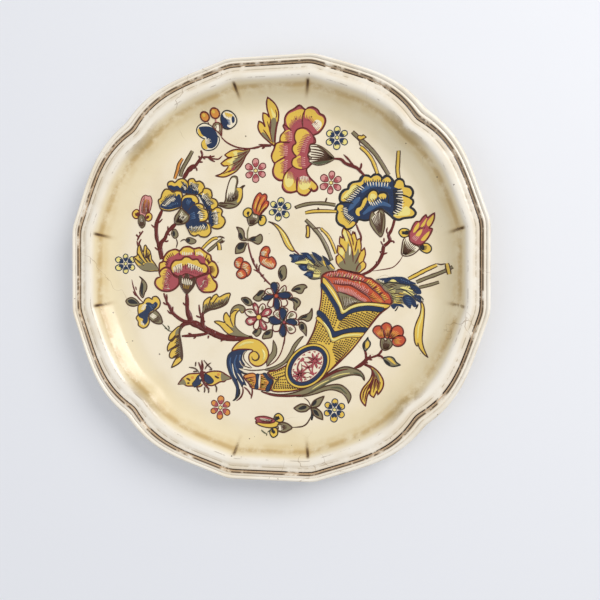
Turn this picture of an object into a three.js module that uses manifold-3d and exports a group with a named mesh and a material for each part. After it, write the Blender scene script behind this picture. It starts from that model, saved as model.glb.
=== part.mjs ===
// A hand painted ceramic plate with a moulded, lobed rim, lying face up on its foot ring.
// The fired clay carries three coats of glaze, and each painted motif is a thin fired coat of enamel
// on the flat floor of the plate. Millimetres, +Z up, origin on the table under the plate's centre.
import * as THREE from "three";
import { mergeVertices } from "three/addons/utils/BufferGeometryUtils.js";
import Module from "manifold-3d";

// ---- Driving dimensions -------------------------------------------------------------------------
const ACROSS_FLATS = 260; // between the outer edges of two opposite straight sides
const FLAT_LENGTH = 54; // of each of the four straight sides, at the outer edge
const FLAT_TAPER = 0.25; // a straight side gets this much shorter at each end, per mm inwards
const NOTCH_BULGE = 1.8; // how far the four diagonal notches lie outside the circle inside the flats
const NOTCH_PINCH = 0.3; // extra pull of the notches inwards, per mm, across the roll and the bead
const RIM_HEIGHT = 19.4; // top of the outer roll above the table
const FLOOR_HEIGHT = 6; // glazed floor of the plate above the table
const CLAY_FLOOR = 3.8; // thickness of the clay under the floor
const RIM_WIDTH = 28; // from the outer edge to where the flat floor begins
const LIP_WIDTH = 13.3; // from the outer edge to the lip where the wall drops
const LIP_WALL = 4.6; // thickness of the clay at the lip
const FOOT_DIAMETER = 153; // outside of the foot ring where it rests
const FOOT_WIDTH = 4; // of the foot ring's resting face
const FOOT_DRAFT = 1; // how much further out the foot ring is at its root, each side
const FOOT_BARE = 0.7; // height of the foot ring that is wiped free of glaze
const GLAZE = 0.4; // thickness of each coat of glaze
const ENAMEL = 0.2; // thickness of the painted enamel
const ENAMEL_GAP = 0.3; // bare glaze left between two motifs
const ENAMEL_MARGIN = 18; // unpainted ground between the edge and the widest motif

// ---- Counts of facets ---------------------------------------------------------------------------
const SIDE_STEPS = 5; // facets between a straight side and a notch
const LEAF_STEPS = 4; // facets along one edge of a leaf
const STEM_STEPS = 2; // facets between two chosen points of a stem
const SMALL_PETAL = 5; // petals shorter than this from middle to tip have half the facets

const wasm = await Module();
wasm.setup();

// ---- The plate's lobed contour ------------------------------------------------------------------
const EDGE = ACROSS_FLATS / 2;
const BEAD_END = 5.4; // the moulded roll and bead end in a sharp quirk this far in
const NOTCH_TAPER = 0.72; // how far a notch comes in along each axis, per mm of inset
const DEGREE = Math.PI / 180;
const LEAVE_ANGLE = 20 * DEGREE; // the contour turns off a straight side
const LEAVE_PULL = 0.42; // of the chord, how long it keeps that way
const ARRIVE_ANGLE = 55 * DEGREE; // the contour comes into a notch
const ARRIVE_PULL = 0.38; // of the chord

// Half of one side of the contour, from the end of a straight side to the notch on the diagonal, as a
// cubic curve. It leaves the straight side gently and comes round a full shoulder into the notch.
function sideCurve(inset) {
  const corner = new THREE.Vector2(FLAT_LENGTH / 2 - FLAT_TAPER * inset, EDGE - inset);
  const pinch = NOTCH_PINCH * Math.min(inset, BEAD_END);
  const across = (EDGE + NOTCH_BULGE) / Math.SQRT2 - NOTCH_TAPER * inset - pinch;
  const notch = new THREE.Vector2(across, across);
  const chord = corner.distanceTo(notch);
  const leave = new THREE.Vector2(Math.cos(LEAVE_ANGLE), -Math.sin(LEAVE_ANGLE));
  const arrive = new THREE.Vector2(-Math.cos(ARRIVE_ANGLE), Math.sin(ARRIVE_ANGLE));
  const first = corner.clone().addScaledVector(leave, LEAVE_PULL * chord);
  const second = notch.clone().addScaledVector(arrive, ARRIVE_PULL * chord);
  return new THREE.CubicBezierCurve(corner, first, second, notch);
}

// One quarter of the contour, anticlockwise: middle of the right side, notch, end of the top side.
function quarterContour(inset) {
  const side = sideCurve(inset).getPoints(SIDE_STEPS);
  const mirrored = side.map((p) => new THREE.Vector2(p.y, p.x));
  return [new THREE.Vector2(EDGE - inset, 0), ...mirrored, ...side.slice(0, -1).reverse()];
}

function lobedRing(inset) {
  const quarter = quarterContour(inset);
  const origin = new THREE.Vector2();
  const ring = [];
  for (let turn = 0; turn < 4; turn += 1) {
    ring.push(...quarter.map((p) => p.clone().rotateAround(origin, (turn * Math.PI) / 2)));
  }
  return ring;
}

const DIRECTIONS = lobedRing(LIP_WIDTH).map((p) => p.clone().normalize());

function roundRing(radius) {
  return DIRECTIONS.map((direction) => direction.clone().multiplyScalar(radius));
}

// The wall turns from the lobed lip into the round floor, so a ring between them is a blend.
function plateRing(inset) {
  const share = THREE.MathUtils.smoothstep(inset, LIP_WIDTH, RIM_WIDTH);
  const round = roundRing(EDGE - inset);
  return lobedRing(inset).map((p, i) => p.lerp(round[i], share));
}

// ---- Section through the rim --------------------------------------------------------------------
// Points of the glazed surface, each a distance in from the outer edge and a height above the table.
const LIP_FALL = 1.2; // how far the lip lies under the top of the outer roll
const LIP_DROP = RIM_HEIGHT - LIP_FALL - FLOOR_HEIGHT; // from the lip down to the floor
const WALL_RUN = RIM_WIDTH - LIP_WIDTH;
const faceSection = [
  [0, RIM_HEIGHT - 3],
  [0.8, RIM_HEIGHT - 0.8],
  [1.8, RIM_HEIGHT],
  [2.9, RIM_HEIGHT - 0.8],
  [4, RIM_HEIGHT - 0.5],
  [BEAD_END, RIM_HEIGHT - 1.8],
  [8.5, RIM_HEIGHT - 0.9],
  [11, RIM_HEIGHT - 0.6],
  [LIP_WIDTH, RIM_HEIGHT - LIP_FALL],
  [LIP_WIDTH + 0.22 * WALL_RUN, FLOOR_HEIGHT + 0.66 * LIP_DROP],
  [LIP_WIDTH + 0.47 * WALL_RUN, FLOOR_HEIGHT + 0.34 * LIP_DROP],
  [LIP_WIDTH + 0.73 * WALL_RUN, FLOOR_HEIGHT + 0.1 * LIP_DROP],
  [RIM_WIDTH, FLOOR_HEIGHT],
];

const BACK_FLOOR = FLOOR_HEIGHT - CLAY_FLOOR - 2 * GLAZE; // glazed underside above the table
const LIP_UNDER = RIM_HEIGHT - LIP_FALL - LIP_WALL - 2 * GLAZE;
const BACK_SPREAD = 3; // the underside's flat begins this far inside the floor's edge
const backSection = [
  [0.5, RIM_HEIGHT - 4.6],
  [2.4, RIM_HEIGHT - 5.4],
  [LIP_WIDTH - 1, LIP_UNDER],
  [LIP_WIDTH + 0.35 * WALL_RUN, BACK_FLOOR + 0.48 * (LIP_UNDER - BACK_FLOOR)],
  [LIP_WIDTH + 0.8 * WALL_RUN, BACK_FLOOR + 0.1 * (LIP_UNDER - BACK_FLOOR)],
  [RIM_WIDTH + BACK_SPREAD, BACK_FLOOR],
];

// Moves the points of a section square to its surface, out of the clay by the given thickness. The
// face runs inwards with the clay under it (side 1), the back runs inwards with the clay over it (-1).
function offsetSection(section, before, after, thickness, side) {
  return section.map(([inset, height], i) => {
    const [lastInset, lastHeight] = section[i - 1] ?? before;
    const [nextInset, nextHeight] = section[i + 1] ?? after;
    const run = new THREE.Vector2(nextInset - lastInset, nextHeight - lastHeight).normalize();
    return [inset - side * run.y * thickness, height + side * run.x * thickness];
  });
}

const floorAhead = [RIM_WIDTH + 10, FLOOR_HEIGHT];
const backAhead = [RIM_WIDTH + BACK_SPREAD + 10, BACK_FLOOR];
const clayFace = offsetSection(faceSection, backSection[0], floorAhead, -GLAZE, 1);
const clayBack = offsetSection(backSection, faceSection[0], backAhead, -GLAZE, -1);
const enamelTop = offsetSection(faceSection, backSection[0], floorAhead, ENAMEL, 1);

const atHeight = (ring, height) => ring.map((p) => new THREE.Vector3(p.x, p.y, height));
const rimRings = (section) => section.map(([inset, height]) => atHeight(plateRing(inset), height));

// ---- Foot ring ----------------------------------------------------------------------------------
const FOOT_OUTER = FOOT_DIAMETER / 2;
const FOOT_INNER = FOOT_OUTER - FOOT_WIDTH;
const CLAY_BACK_FLOOR = BACK_FLOOR + GLAZE;
const footRoot = atHeight(roundRing(FOOT_OUTER + FOOT_DRAFT), CLAY_BACK_FLOOR);
const footBare = atHeight(roundRing(FOOT_OUTER + FOOT_DRAFT * (FOOT_BARE / CLAY_BACK_FLOOR)), FOOT_BARE);
const footEdge = atHeight(roundRing(FOOT_OUTER), 0);
const wellEdge = atHeight(roundRing(FOOT_INNER), 0);
const wellBare = atHeight(roundRing(FOOT_INNER - FOOT_DRAFT * (FOOT_BARE / CLAY_BACK_FLOOR)), FOOT_BARE);
const wellRoot = atHeight(roundRing(FOOT_INNER - FOOT_DRAFT), CLAY_BACK_FLOOR);
const footCoat = atHeight(roundRing(FOOT_OUTER + FOOT_DRAFT + GLAZE), BACK_FLOOR);
const wellCoat = atHeight(roundRing(FOOT_INNER - FOOT_DRAFT - GLAZE), BACK_FLOOR);

// ---- Solids from rings --------------------------------------------------------------------------
// Joins rings in order. The section runs from the top of the axis outwards, down and back underneath.
// With caps, the first and last rings are closed on the axis. Without, the last ring meets the first.
// Each facet is split from its inner ring to its outer one, so coats that share a surface share facets.
const reach = (ring) => Math.hypot(ring[0].x, ring[0].y);

function loft(rings, capped) {
  const count = rings[0].length;
  const position = rings.flat().flatMap((p) => [p.x, p.y, p.z]);
  const index = [];
  const joins = capped ? rings.length - 1 : rings.length;
  for (let k = 0; k < joins; k += 1) {
    const near = k * count;
    const far = ((k + 1) % rings.length) * count;
    const spreads = reach(rings[k]) < reach(rings[(k + 1) % rings.length]);
    for (let j = 0; j < count; j += 1) {
      const next = (j + 1) % count;
      if (spreads) {
        index.push(near + j, far + j, far + next);
        index.push(near + j, far + next, near + next);
      } else {
        index.push(near + j, far + j, near + next);
        index.push(near + next, far + j, far + next);
      }
    }
  }
  if (capped) {
    const top = rings.length * count;
    const bottom = top + 1;
    const last = (rings.length - 1) * count;
    position.push(0, 0, rings[0][0].z, 0, 0, rings[rings.length - 1][0].z);
    for (let j = 0; j < count; j += 1) {
      const next = (j + 1) % count;
      index.push(top, j, next);
      index.push(bottom, last + next, last + j);
    }
  }
  const geometry = new THREE.BufferGeometry();
  geometry.setAttribute("position", new THREE.Float32BufferAttribute(position, 3));
  geometry.setIndex(index);
  return geometry;
}

const clayFaceRings = rimRings(clayFace);
const clayBackRings = rimRings(clayBack);
const glazedFaceRings = rimRings(faceSection);
const glazedBackRings = rimRings(backSection);

const clayGeometry = loft(
  [
    ...[...clayFaceRings].reverse(),
    ...clayBackRings,
    footRoot,
    footBare,
    footEdge,
    wellEdge,
    wellBare,
    wellRoot,
  ],
  true,
);
const faceGlazeGeometry = loft([...[...glazedFaceRings].reverse(), ...clayFaceRings], true);
const backGlazeGeometry = loft(
  [
    footBare,
    footRoot,
    ...[...clayBackRings].reverse(),
    clayFaceRings[0],
    glazedFaceRings[0],
    ...glazedBackRings,
    footCoat,
  ],
  false,
);
const baseGlazeGeometry = loft([wellRoot, wellBare, wellCoat], true);

// ---- Brush marks --------------------------------------------------------------------------------
// Each mark is a function of how much it is grown outwards, so that a motif can also cut room for
// itself, with the gap between motifs, out of its neighbours. A mark is a tall prism, and the coat of
// enamel on the floor and the foot of the wall is what trims it to its thickness. The painting is laid
// out for a painted ground of this radius, and follows the real one when the plate's size changes.
const LAYOUT_RADIUS = 112;
const LAYOUT = (EDGE - ENAMEL_MARGIN) / LAYOUT_RADIUS;

function solidFrom(geometry) {
  geometry.deleteAttribute("normal");
  geometry.deleteAttribute("uv");
  const merged = mergeVertices(geometry, 1e-4);
  return new wasm.Manifold(
    new wasm.Mesh({
      numProp: 3,
      vertProperties: merged.attributes.position.array,
      triVerts: new Uint32Array(merged.index.array),
    }),
  );
}

const MARK_REACH = 1; // how far a mark's prism goes on below the floor and above the rim

function prism(points) {
  const shape = new THREE.Shape(points.map((p) => p.clone().multiplyScalar(LAYOUT)));
  const depth = RIM_HEIGHT - FLOOR_HEIGHT + 2 * MARK_REACH;
  const geometry = new THREE.ExtrudeGeometry(shape, { depth, bevelEnabled: false });
  return solidFrom(geometry.translate(0, 0, FLOOR_HEIGHT - MARK_REACH));
}

const joined = (solids) => solids.reduce((sum, solid) => sum.add(solid));

const petal = (x, y, halfLength, halfWidth, turn = 0) => (grow) => {
  const points = [];
  const steps = halfLength < SMALL_PETAL ? 8 : 14;
  for (let i = 0; i < steps; i += 1) {
    const angle = (i * 2 * Math.PI) / steps;
    const along = (halfLength + grow) * Math.cos(angle);
    const across = (halfWidth + grow) * Math.sin(angle);
    const point = new THREE.Vector2(along, across);
    point.rotateAround(new THREE.Vector2(), turn * DEGREE);
    points.push(point.add(new THREE.Vector2(x, y)));
  }
  return prism(points);
};

const leaf = (x0, y0, x1, y1, width) => (grow) => {
  const base = new THREE.Vector2(x0, y0);
  const spine = new THREE.Vector2(x1, y1).sub(base);
  const length = spine.length();
  spine.normalize();
  const side = new THREE.Vector2(-spine.y, spine.x);
  const edge = (sign) =>
    Array.from({ length: LEAF_STEPS + 1 }, (_, i) => {
      const share = i / LEAF_STEPS;
      const half = (width / 2) * Math.sin(Math.PI * share) + grow + 0.15;
      const along = -grow + share * (length + 2 * grow);
      return base.clone().addScaledVector(spine, along).addScaledVector(side, sign * half);
    });
  return prism([...edge(-1), ...edge(1).reverse()]);
};

const stem = (width, ...places) => (grow) => {
  const spots = places.map(([x, y]) => new THREE.Vector2(x, y));
  const curve = new THREE.SplineCurve(spots);
  const line = curve.getPoints(STEM_STEPS * (places.length - 1));
  const half = width / 2 + grow;
  const edge = (sign) =>
    line.map((p, i) => {
      const run = (line[i + 1] ?? p).clone().sub(line[i - 1] ?? p).normalize();
      return p.clone().add(new THREE.Vector2(-run.y, run.x).multiplyScalar(sign * half));
    });
  return prism([...edge(-1), ...edge(1).reverse()]);
};

// A small open flower: one outline that swings in between its petals.
const floret = (x, y, reach, petals = 5) => (grow) => {
  const points = [];
  const steps = 4 * petals;
  for (let i = 0; i < steps; i += 1) {
    const angle = 90 * DEGREE + (i * 2 * Math.PI) / steps;
    const swing = 0.5 + 0.5 * Math.cos((i * 2 * Math.PI * petals) / steps);
    const radius = reach * (0.45 + 0.55 * Math.sqrt(swing)) + grow;
    points.push(new THREE.Vector2(x + radius * Math.cos(angle), y + radius * Math.sin(angle)));
  }
  return prism(points);
};

// ---- Enamel colours -----------------------------------------------------------------------------
const ROSE = "#b8566a";
const BLUE = "#24406a";
const YELLOW = "#e5c04a";
const OLIVE = "#8b8860";
const ORANGE = "#c65034";
const MAROON = "#6e1a1a";

// ---- Motifs, in the order they are painted ------------------------------------------------------
// A later motif leaves room for every earlier one. Names give each motif's place on the plate, with
// north at the top of the picture.
const motifs = [
  ["bud_blue_northwest", BLUE, [
    petal(-42.5, 85.5, 8.6, 7.4, 100), petal(-29.3, 95.8, 5.6, 5.6), petal(-36.7, 91, 4, 4),
    petal(-44.3, 97.5, 2.9, 2.9), petal(-37.8, 99.4, 2.9, 2.9), leaf(-40.6, 88, -45.6, 99, 2.4),
    leaf(-38, 92, -37, 99, 2), leaf(-36, 91, -33, 83, 3),
  ]],
  ["leaf_northwest", YELLOW, [
    leaf(-16, 77, -37.4, 60.4, 10), leaf(-23, 71, -35, 73, 4),
    stem(1.2, [-33, 84], [-26, 80], [-16, 77.4], [-2, 78]),
  ]],
  ["leaf_north", YELLOW, [leaf(0.5, 78, -3, 104.8, 8), leaf(0, 80, -10.3, 92, 5)]],
  ["carnation_rose_north", ROSE, [
    petal(12, 94, 8, 7.5, 90), petal(25, 93.5, 8, 7.6, 60), petal(9, 84, 10, 8), petal(7, 72, 8.5, 10),
    petal(6, 62, 7.5, 8), petal(13, 54, 10, 8.4), petal(23, 52, 8, 6.5), petal(19, 74, 10, 20),
    leaf(39.5, 67, 20, 76, 14), stem(1.8, [38, 67], [45, 66], [50, 62], [56.5, 57.5]),
  ]],
  ["floret_crimson_north", ROSE, [floret(-11.7, 62.6, 6.9, 6)]],
  ["floret_crimson_northeast", ROSE, [floret(36.2, 53.5, 6.9, 6)]],
  ["floret_blue_northeast", BLUE, [floret(39.9, 81.4, 6.8, 6)]],
  ["floret_blue_centre", BLUE, [floret(3.7, 37.8, 6.6, 6)]],
  ["floret_blue_west", BLUE, [floret(-99, 4.4, 6.2, 6)]],
  ["floret_orange_south", ORANGE, [floret(-34.9, -89, 6.9)]],
  ["floret_yellow_south", YELLOW, [floret(38.4, -87.6, 6.8, 6)]],
  ["carnation_blue_west", BLUE, [
    petal(-66, 50, 9.5, 8.6, 30), petal(-55, 53, 9, 6), petal(-57, 45, 12, 8), petal(-45, 47, 9, 8),
    petal(-43, 36, 11.6, 9), petal(-44, 27, 9, 6), petal(-55, 33, 8, 5, 30),
  ]],
  ["branch_northwest", MAROON, [
    stem(2, [-61, 60.5], [-54, 67], [-47.7, 74.8]), stem(1.2, [-52, 69], [-44, 71], [-36, 71]),
    leaf(-60, 61, -53.8, 76, 2.2), leaf(-61, 60, -64.8, 72, 2.2),
  ]],
  ["leaf_curly", OLIVE, [leaf(-34, 42, -20.5, 50, 7), leaf(-30, 43, -20.5, 59.5, 8)]],
  ["bud_rose_west", ROSE, [
    leaf(-87, 33, -83, 49.4, 8), petal(-91.5, 38, 3, 2.6), petal(-83, 36.5, 2.8, 2.4),
    leaf(-88, 38, -86.5, 28.4, 7), leaf(-91, 38, -83, 37, 3),
  ]],
  ["leaf_fan_west", YELLOW, [
    leaf(-77, 1, -93.6, 11, 7), leaf(-79, 1, -87, 16, 6), stem(0.8, [-88, 8], [-90, 17], [-88, 24]),
  ]],
  ["branch_west", MAROON, [
    stem(2.4, [-74.4, 9], [-76, 20], [-79, 28], [-75, 39]), stem(1.6, [-75, 16], [-70, 22], [-64, 30.4]),
  ]],
  ["carnation_rose_west", ROSE, [
    petal(-69, 5, 9, 9), petal(-57, 9, 9, 6.2), petal(-46, 7, 10, 7), petal(-71, -6, 8, 8, 20),
    petal(-42.5, -5, 7, 9), petal(-57, -1, 16, 8), leaf(-57, -15.4, -57, 4, 9),
  ]],
  ["sticks_west", YELLOW, [
    leaf(-47, 13, -33, 20.3, 2), leaf(-43, 12, -31.6, 18.6, 1.8), petal(-36.4, 17.2, 3, 1.8, 110),
  ]],
  ["branch_main", MAROON, [
    stem(3.6, [-18, -44.7], [-38, -42], [-55.7, -34.5]), stem(2.2, [-50, -37], [-57.5, -30], [-57, -15.6]),
    stem(1.4, [-52, -36], [-65.6, -28.6], [-72.6, -14.9]), stem(1.2, [-37, -42], [-50, -42.5], [-60, -42.6]),
  ]],
  ["bud_blue_southwest", BLUE, [
    petal(-83, -24, 8, 6, 20), petal(-86, -32, 4.6, 5), leaf(-84, -21, -88, -6, 5),
    leaf(-83, -22.4, -99, -19.4, 5), leaf(-85, -22, -75, -34, 7),
    stem(0.9, [-77, -32], [-72, -37], [-69, -39]),
  ]],
  ["leaf_branch", OLIVE, [leaf(-46, -27, -28.4, -11.4, 9)]],
  ["leaf_hanging", YELLOW, [leaf(-60, -36, -66.5, -63, 9), leaf(-60, -37, -59.6, -56, 3)]],
  ["butterfly", YELLOW, [
    leaf(-43, -69, -62.8, -74, 8), leaf(-46, -69, -28, -71, 8), leaf(-45, -59, -45, -79, 3.4),
    stem(0.6, [-45, -66], [-41, -63], [-39, -59.4]), stem(0.6, [-46, -66], [-51, -63], [-54, -60]),
  ]],
  ["horn_scroll", YELLOW, [
    petal(-13.4, -52.6, 9.4, 8.6), stem(3, [-27.5, -52], [-22, -47], [-14, -44.8], [-7, -47]),
  ]],
  ["horn_plumes", BLUE, [
    stem(6, [-22, -51], [-27.5, -59], [-25, -69], [-20.5, -73]),
    stem(2, [-24, -70], [-25, -77], [-26.4, -83]),
    stem(2, [-20.5, -71], [-17, -76], [-16, -81]),
  ]],
  ["horn_collar", ORANGE, [petal(-9.7, -70.6, 8.4, 5.4, -12)]],
  ["horn_cartouche", ROSE, [petal(21, -60, 15.4, 10.4, 45)]],
  ["horn_shell", ORANGE, [
    petal(46, -12, 15.6, 9.4, -20), petal(61, -14.6, 11.6, 8, -28), leaf(31, -1.2, 54, -8, 10),
  ]],
  ["crown_leaf", YELLOW, [leaf(49, -3, 44.5, 25, 9), leaf(50, -2, 57.6, 17, 7), leaf(48, -2, 39.8, 13, 6)]],
  ["feather_west", BLUE, [leaf(39.4, -3, 10.4, 9, 9), leaf(37, -4, 19, -4.4, 6)]],
  ["feather_east", OLIVE, [leaf(63, -6, 92.4, -16, 12), leaf(70, -10, 88, -24.4, 8)]],
  ["horn_body", YELLOW, [
    leaf(-1, -71, 42, -62, 19), petal(30, -52, 16, 14, 50), petal(46, -32, 22, 16, 58),
    leaf(36, -30, 30, -6, 9), leaf(50, -34, 73, -22.6, 12),
  ]],
  ["sticks_north", YELLOW, [leaf(38.6, 5, 20, 31.4, 3), leaf(39, 6, 27, 28, 3)]],
  ["ribbon_west", YELLOW, [stem(2.4, [-3, 29.6], [5, 25], [8, 17], [14.4, 11.4])]],
  ["sticks_east", YELLOW, [
    leaf(82.4, -7, 108.4, 2, 3), leaf(86, -5, 101, -11.4, 2), leaf(82, -7, 90, -7, 4),
  ]],
  ["ribbon_east", YELLOW, [stem(3, [88, -20.2], [89.6, -30], [88.8, -44], [93.8, -53])]],
  ["carnation_blue_east", BLUE, [
    petal(54, 46, 13, 10, 35), petal(66, 50, 11, 8.6), petal(78, 45, 10, 10), petal(80, 33, 7.6, 7),
    petal(48, 34, 9, 9.4), petal(64, 38, 14, 8), leaf(65, 19.6, 63, 38, 10),
  ]],
  ["sticks_blue_west", YELLOW, [
    leaf(39, 37, 13.4, 38.6, 2.4), leaf(39, 36, 19, 35, 2), leaf(30, 38, 33, 43, 2),
  ]],
  ["sticks_blue_north", OLIVE, [
    stem(2.2, [49.6, 84.6], [58, 78], [66, 69], [72.4, 57.5]), leaf(53, 80, 58.6, 80.6, 2),
    stem(1.8, [55, 79], [62, 69], [64.5, 59.5]),
  ]],
  ["branch_east", MAROON, [
    stem(2.6, [56, -2.4], [66, 4], [71, 16], [75, 29.6]), stem(0.9, [62, 0], [74, 1], [80.6, 8.4]),
  ]],
  ["bud_crimson_east", ROSE, [
    leaf(86, 14, 99, 32.6, 9), petal(82.6, 22.6, 3.6, 2.6), petal(94.6, 12.6, 3, 2.6),
    leaf(81, 8, 89, 19, 8), leaf(83, 22, 94, 13, 4),
  ]],
  ["bud_orange_centre", ORANGE, [
    leaf(-12, 34, -6.6, 48.4, 7), petal(-17, 35.6, 3, 2.6), petal(-5.6, 31, 3, 2.6),
    leaf(-16, 28.4, -9, 40, 6), leaf(-17, 36, -6, 31, 3),
  ]],
  ["blossom_orange_left", ORANGE, [petal(-20, 4.4, 5.4, 3.4), petal(-21, -1, 4.6, 4, 20)]],
  ["blossom_orange_right", ORANGE, [petal(-4, 9.6, 4.6, 5.2, 20), petal(-4.6, 4, 4.4, 4)]],
  ["stem_centre", MAROON, [
    stem(0.9, [-15.6, 27], [-14.6, 15], [-9, 0.6], [-1.6, -7.6]), leaf(-14.6, 19, -20.6, 26.4, 4),
    leaf(-14.6, 18, -7.2, 19.6, 3.4), leaf(-14.6, 16, -21, 12, 4),
  ]],
  ["posy_blue_upper", BLUE, [floret(2.2, -16.4, 9)]],
  ["posy_blue_lower", BLUE, [floret(6.6, -33.4, 9)]],
  ["posy_rose", ROSE, [floret(-9.8, -30, 8.4)]],
  ["scroll_leaf", YELLOW, [
    leaf(-16.4, -43.6, -38, -36, 7), leaf(-17, -43.4, -30, -23, 8), leaf(-28, -28, -18, -24, 4),
  ]],
  ["acanthus_long", OLIVE, [
    stem(2.6, [-6.6, -80], [10, -82.6], [28, -78], [48, -70], [50.6, -80]),
    stem(2.6, [20, -80], [38, -68], [50, -62.6], [56.6, -66]),
  ]],
  ["branch_southeast", MAROON, [
    stem(1.8, [52, -60.4], [60, -58], [68, -50.4]), leaf(60, -57, 57.6, -43.4, 4.4),
    leaf(64, -54, 77, -59, 4.6),
  ]],
  ["blossom_orange_east", ORANGE, [
    petal(66.6, -38.6, 4.8, 4.6), petal(74, -38, 5, 5), petal(77.6, -44.6, 4.4, 4), petal(70, -45, 5, 4.8),
  ]],
  ["leaf_southeast", YELLOW, [leaf(62, -60.6, 68.4, -76, 6), leaf(62, -61, 54.6, -84, 8)]],
  ["bud_south", ROSE, [
    leaf(6, -98, -12.4, -93.4, 7), petal(1.6, -93.4, 3, 2.4), petal(-1.4, -102.2, 2.6, 2.6),
    leaf(-2, -100, 11.6, -99, 6), leaf(1, -93, -1, -102, 3),
    stem(0.9, [11, -99], [19, -97], [23.4, -93], [24.2, -90.2]),
  ]],
  ["trefoil_south", OLIVE, [
    leaf(24, -86.6, 13, -87.4, 4), leaf(24, -86.4, 30, -79.6, 4.4), leaf(24, -87, 31, -93.6, 4.4),
    petal(24, -86.8, 1, 1),
  ]],
];

// ---- The assembly -------------------------------------------------------------------------------
const plate = new THREE.Group();
const coatRings = [...[...rimRings(enamelTop)].reverse(), ...glazedFaceRings];
const enamelCoat = solidFrom(loft(coatRings, true));

function addMesh(name, geometry, colour, roughness) {
  const material = new THREE.MeshStandardMaterial({ color: colour, roughness, metalness: 0 });
  const mesh = new THREE.Mesh(geometry, material);
  mesh.name = name;
  plate.add(mesh);
}

function geometryFrom(solid) {
  const mesh = solid.getMesh();
  const geometry = new THREE.BufferGeometry();
  geometry.setAttribute("position", new THREE.BufferAttribute(mesh.vertProperties, 3));
  geometry.setIndex(new THREE.BufferAttribute(mesh.triVerts, 1));
  return geometry;
}

addMesh("clay_body", clayGeometry, "#d8c3a0", 0.9);
addMesh("face_glaze", faceGlazeGeometry, "#f3e6cf", 0.18);
addMesh("back_glaze", backGlazeGeometry, "#f0e6d2", 0.2);
addMesh("base_glaze", baseGlazeGeometry, "#f0e6d2", 0.2);

const painted = [];
for (const [name, colour, marks] of motifs) {
  let motif = joined(marks.map((mark) => mark(0)));
  for (const neighbour of painted) {
    motif = motif.subtract(neighbour);
  }
  motif = motif.intersect(enamelCoat);
  painted.push(joined(marks.map((mark) => mark(ENAMEL_GAP))));
  addMesh(name, geometryFrom(motif), colour, 0.25);
}

export default plate;
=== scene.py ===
# %% [markdown]
# # A hand painted plate with a lobed rim
#
# The real object is pressed earthenware under a cream tin glaze. Its rim is moulded like old silver: four
# short straight sides, eight shoulders and four soft notches. Umber is rubbed into the mouldings, and
# flowers, a horn of plenty and a butterfly are painted on the floor in enamels.
#
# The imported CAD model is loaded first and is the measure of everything. Each painted motif has a CAD node
# that says where it is, so a motif is drawn around the middle of its node's box.

# %% Load the frame and keep its size
import math
import random

import bmesh
import bpy
from mathutils import Matrix, Vector


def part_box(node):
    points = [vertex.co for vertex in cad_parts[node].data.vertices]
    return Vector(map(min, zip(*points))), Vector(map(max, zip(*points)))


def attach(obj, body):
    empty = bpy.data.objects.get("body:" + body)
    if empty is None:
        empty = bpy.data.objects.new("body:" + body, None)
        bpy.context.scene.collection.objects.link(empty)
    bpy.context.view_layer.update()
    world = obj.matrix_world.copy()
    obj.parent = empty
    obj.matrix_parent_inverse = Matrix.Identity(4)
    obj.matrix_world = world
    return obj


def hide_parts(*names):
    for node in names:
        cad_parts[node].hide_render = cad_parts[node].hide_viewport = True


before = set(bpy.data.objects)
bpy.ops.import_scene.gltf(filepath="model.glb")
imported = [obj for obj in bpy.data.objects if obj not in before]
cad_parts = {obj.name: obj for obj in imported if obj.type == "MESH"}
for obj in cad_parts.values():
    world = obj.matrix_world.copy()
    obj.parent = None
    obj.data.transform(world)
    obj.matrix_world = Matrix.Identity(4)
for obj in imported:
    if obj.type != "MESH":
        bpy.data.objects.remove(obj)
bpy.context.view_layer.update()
scene = bpy.context.scene
MM = 0.001

# %% [markdown]
# ## Two small helpers for node trees
#
# Shader and geometry trees are built the same way: make a node, set its options, then fill each socket
# with a value or with another node's output. Typing that out for each node would hide the idea of a tree,
# so `add` does the three steps at once and `calc` makes one Math node and hands back its result.


# %% Node helpers
def add(tree, kind, inputs=None, **options):
    node = tree.nodes.new(kind)
    for key, value in options.items():
        setattr(node, key, value)
    for name, value in (inputs or {}).items():
        socket = node.inputs[name]
        if isinstance(value, bpy.types.NodeSocket):
            tree.links.new(value, socket)
        else:
            socket.default_value = value
    return node


def calc(tree, operation, a, b=0.0, c=0.0):
    node = add(tree, "ShaderNodeMath", operation=operation)
    for socket, value in zip(node.inputs, (a, b, c)):
        if isinstance(value, bpy.types.NodeSocket):
            tree.links.new(value, socket)
        else:
            socket.default_value = value
    return node.outputs[0]


def new_tree(name, kind, takes, gives):
    tree = bpy.data.node_groups.new(name, kind)
    for label, sort in takes:
        tree.interface.new_socket(label, in_out="INPUT", socket_type="NodeSocket" + sort)
    for label, sort in gives:
        tree.interface.new_socket(label, in_out="OUTPUT", socket_type="NodeSocket" + sort)
    return tree, tree.nodes.new("NodeGroupInput").outputs, tree.nodes.new("NodeGroupOutput").inputs


def linear(code):
    """A colour written as six hex digits, in the linear values that shaders use."""
    parts = [int(code[i : i + 2], 16) / 255 for i in (0, 2, 4)]
    return [p / 12.92 if p < 0.04045 else ((p + 0.055) / 1.055) ** 2.4 for p in parts] + [1.0]


print("helpers ready")
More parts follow.
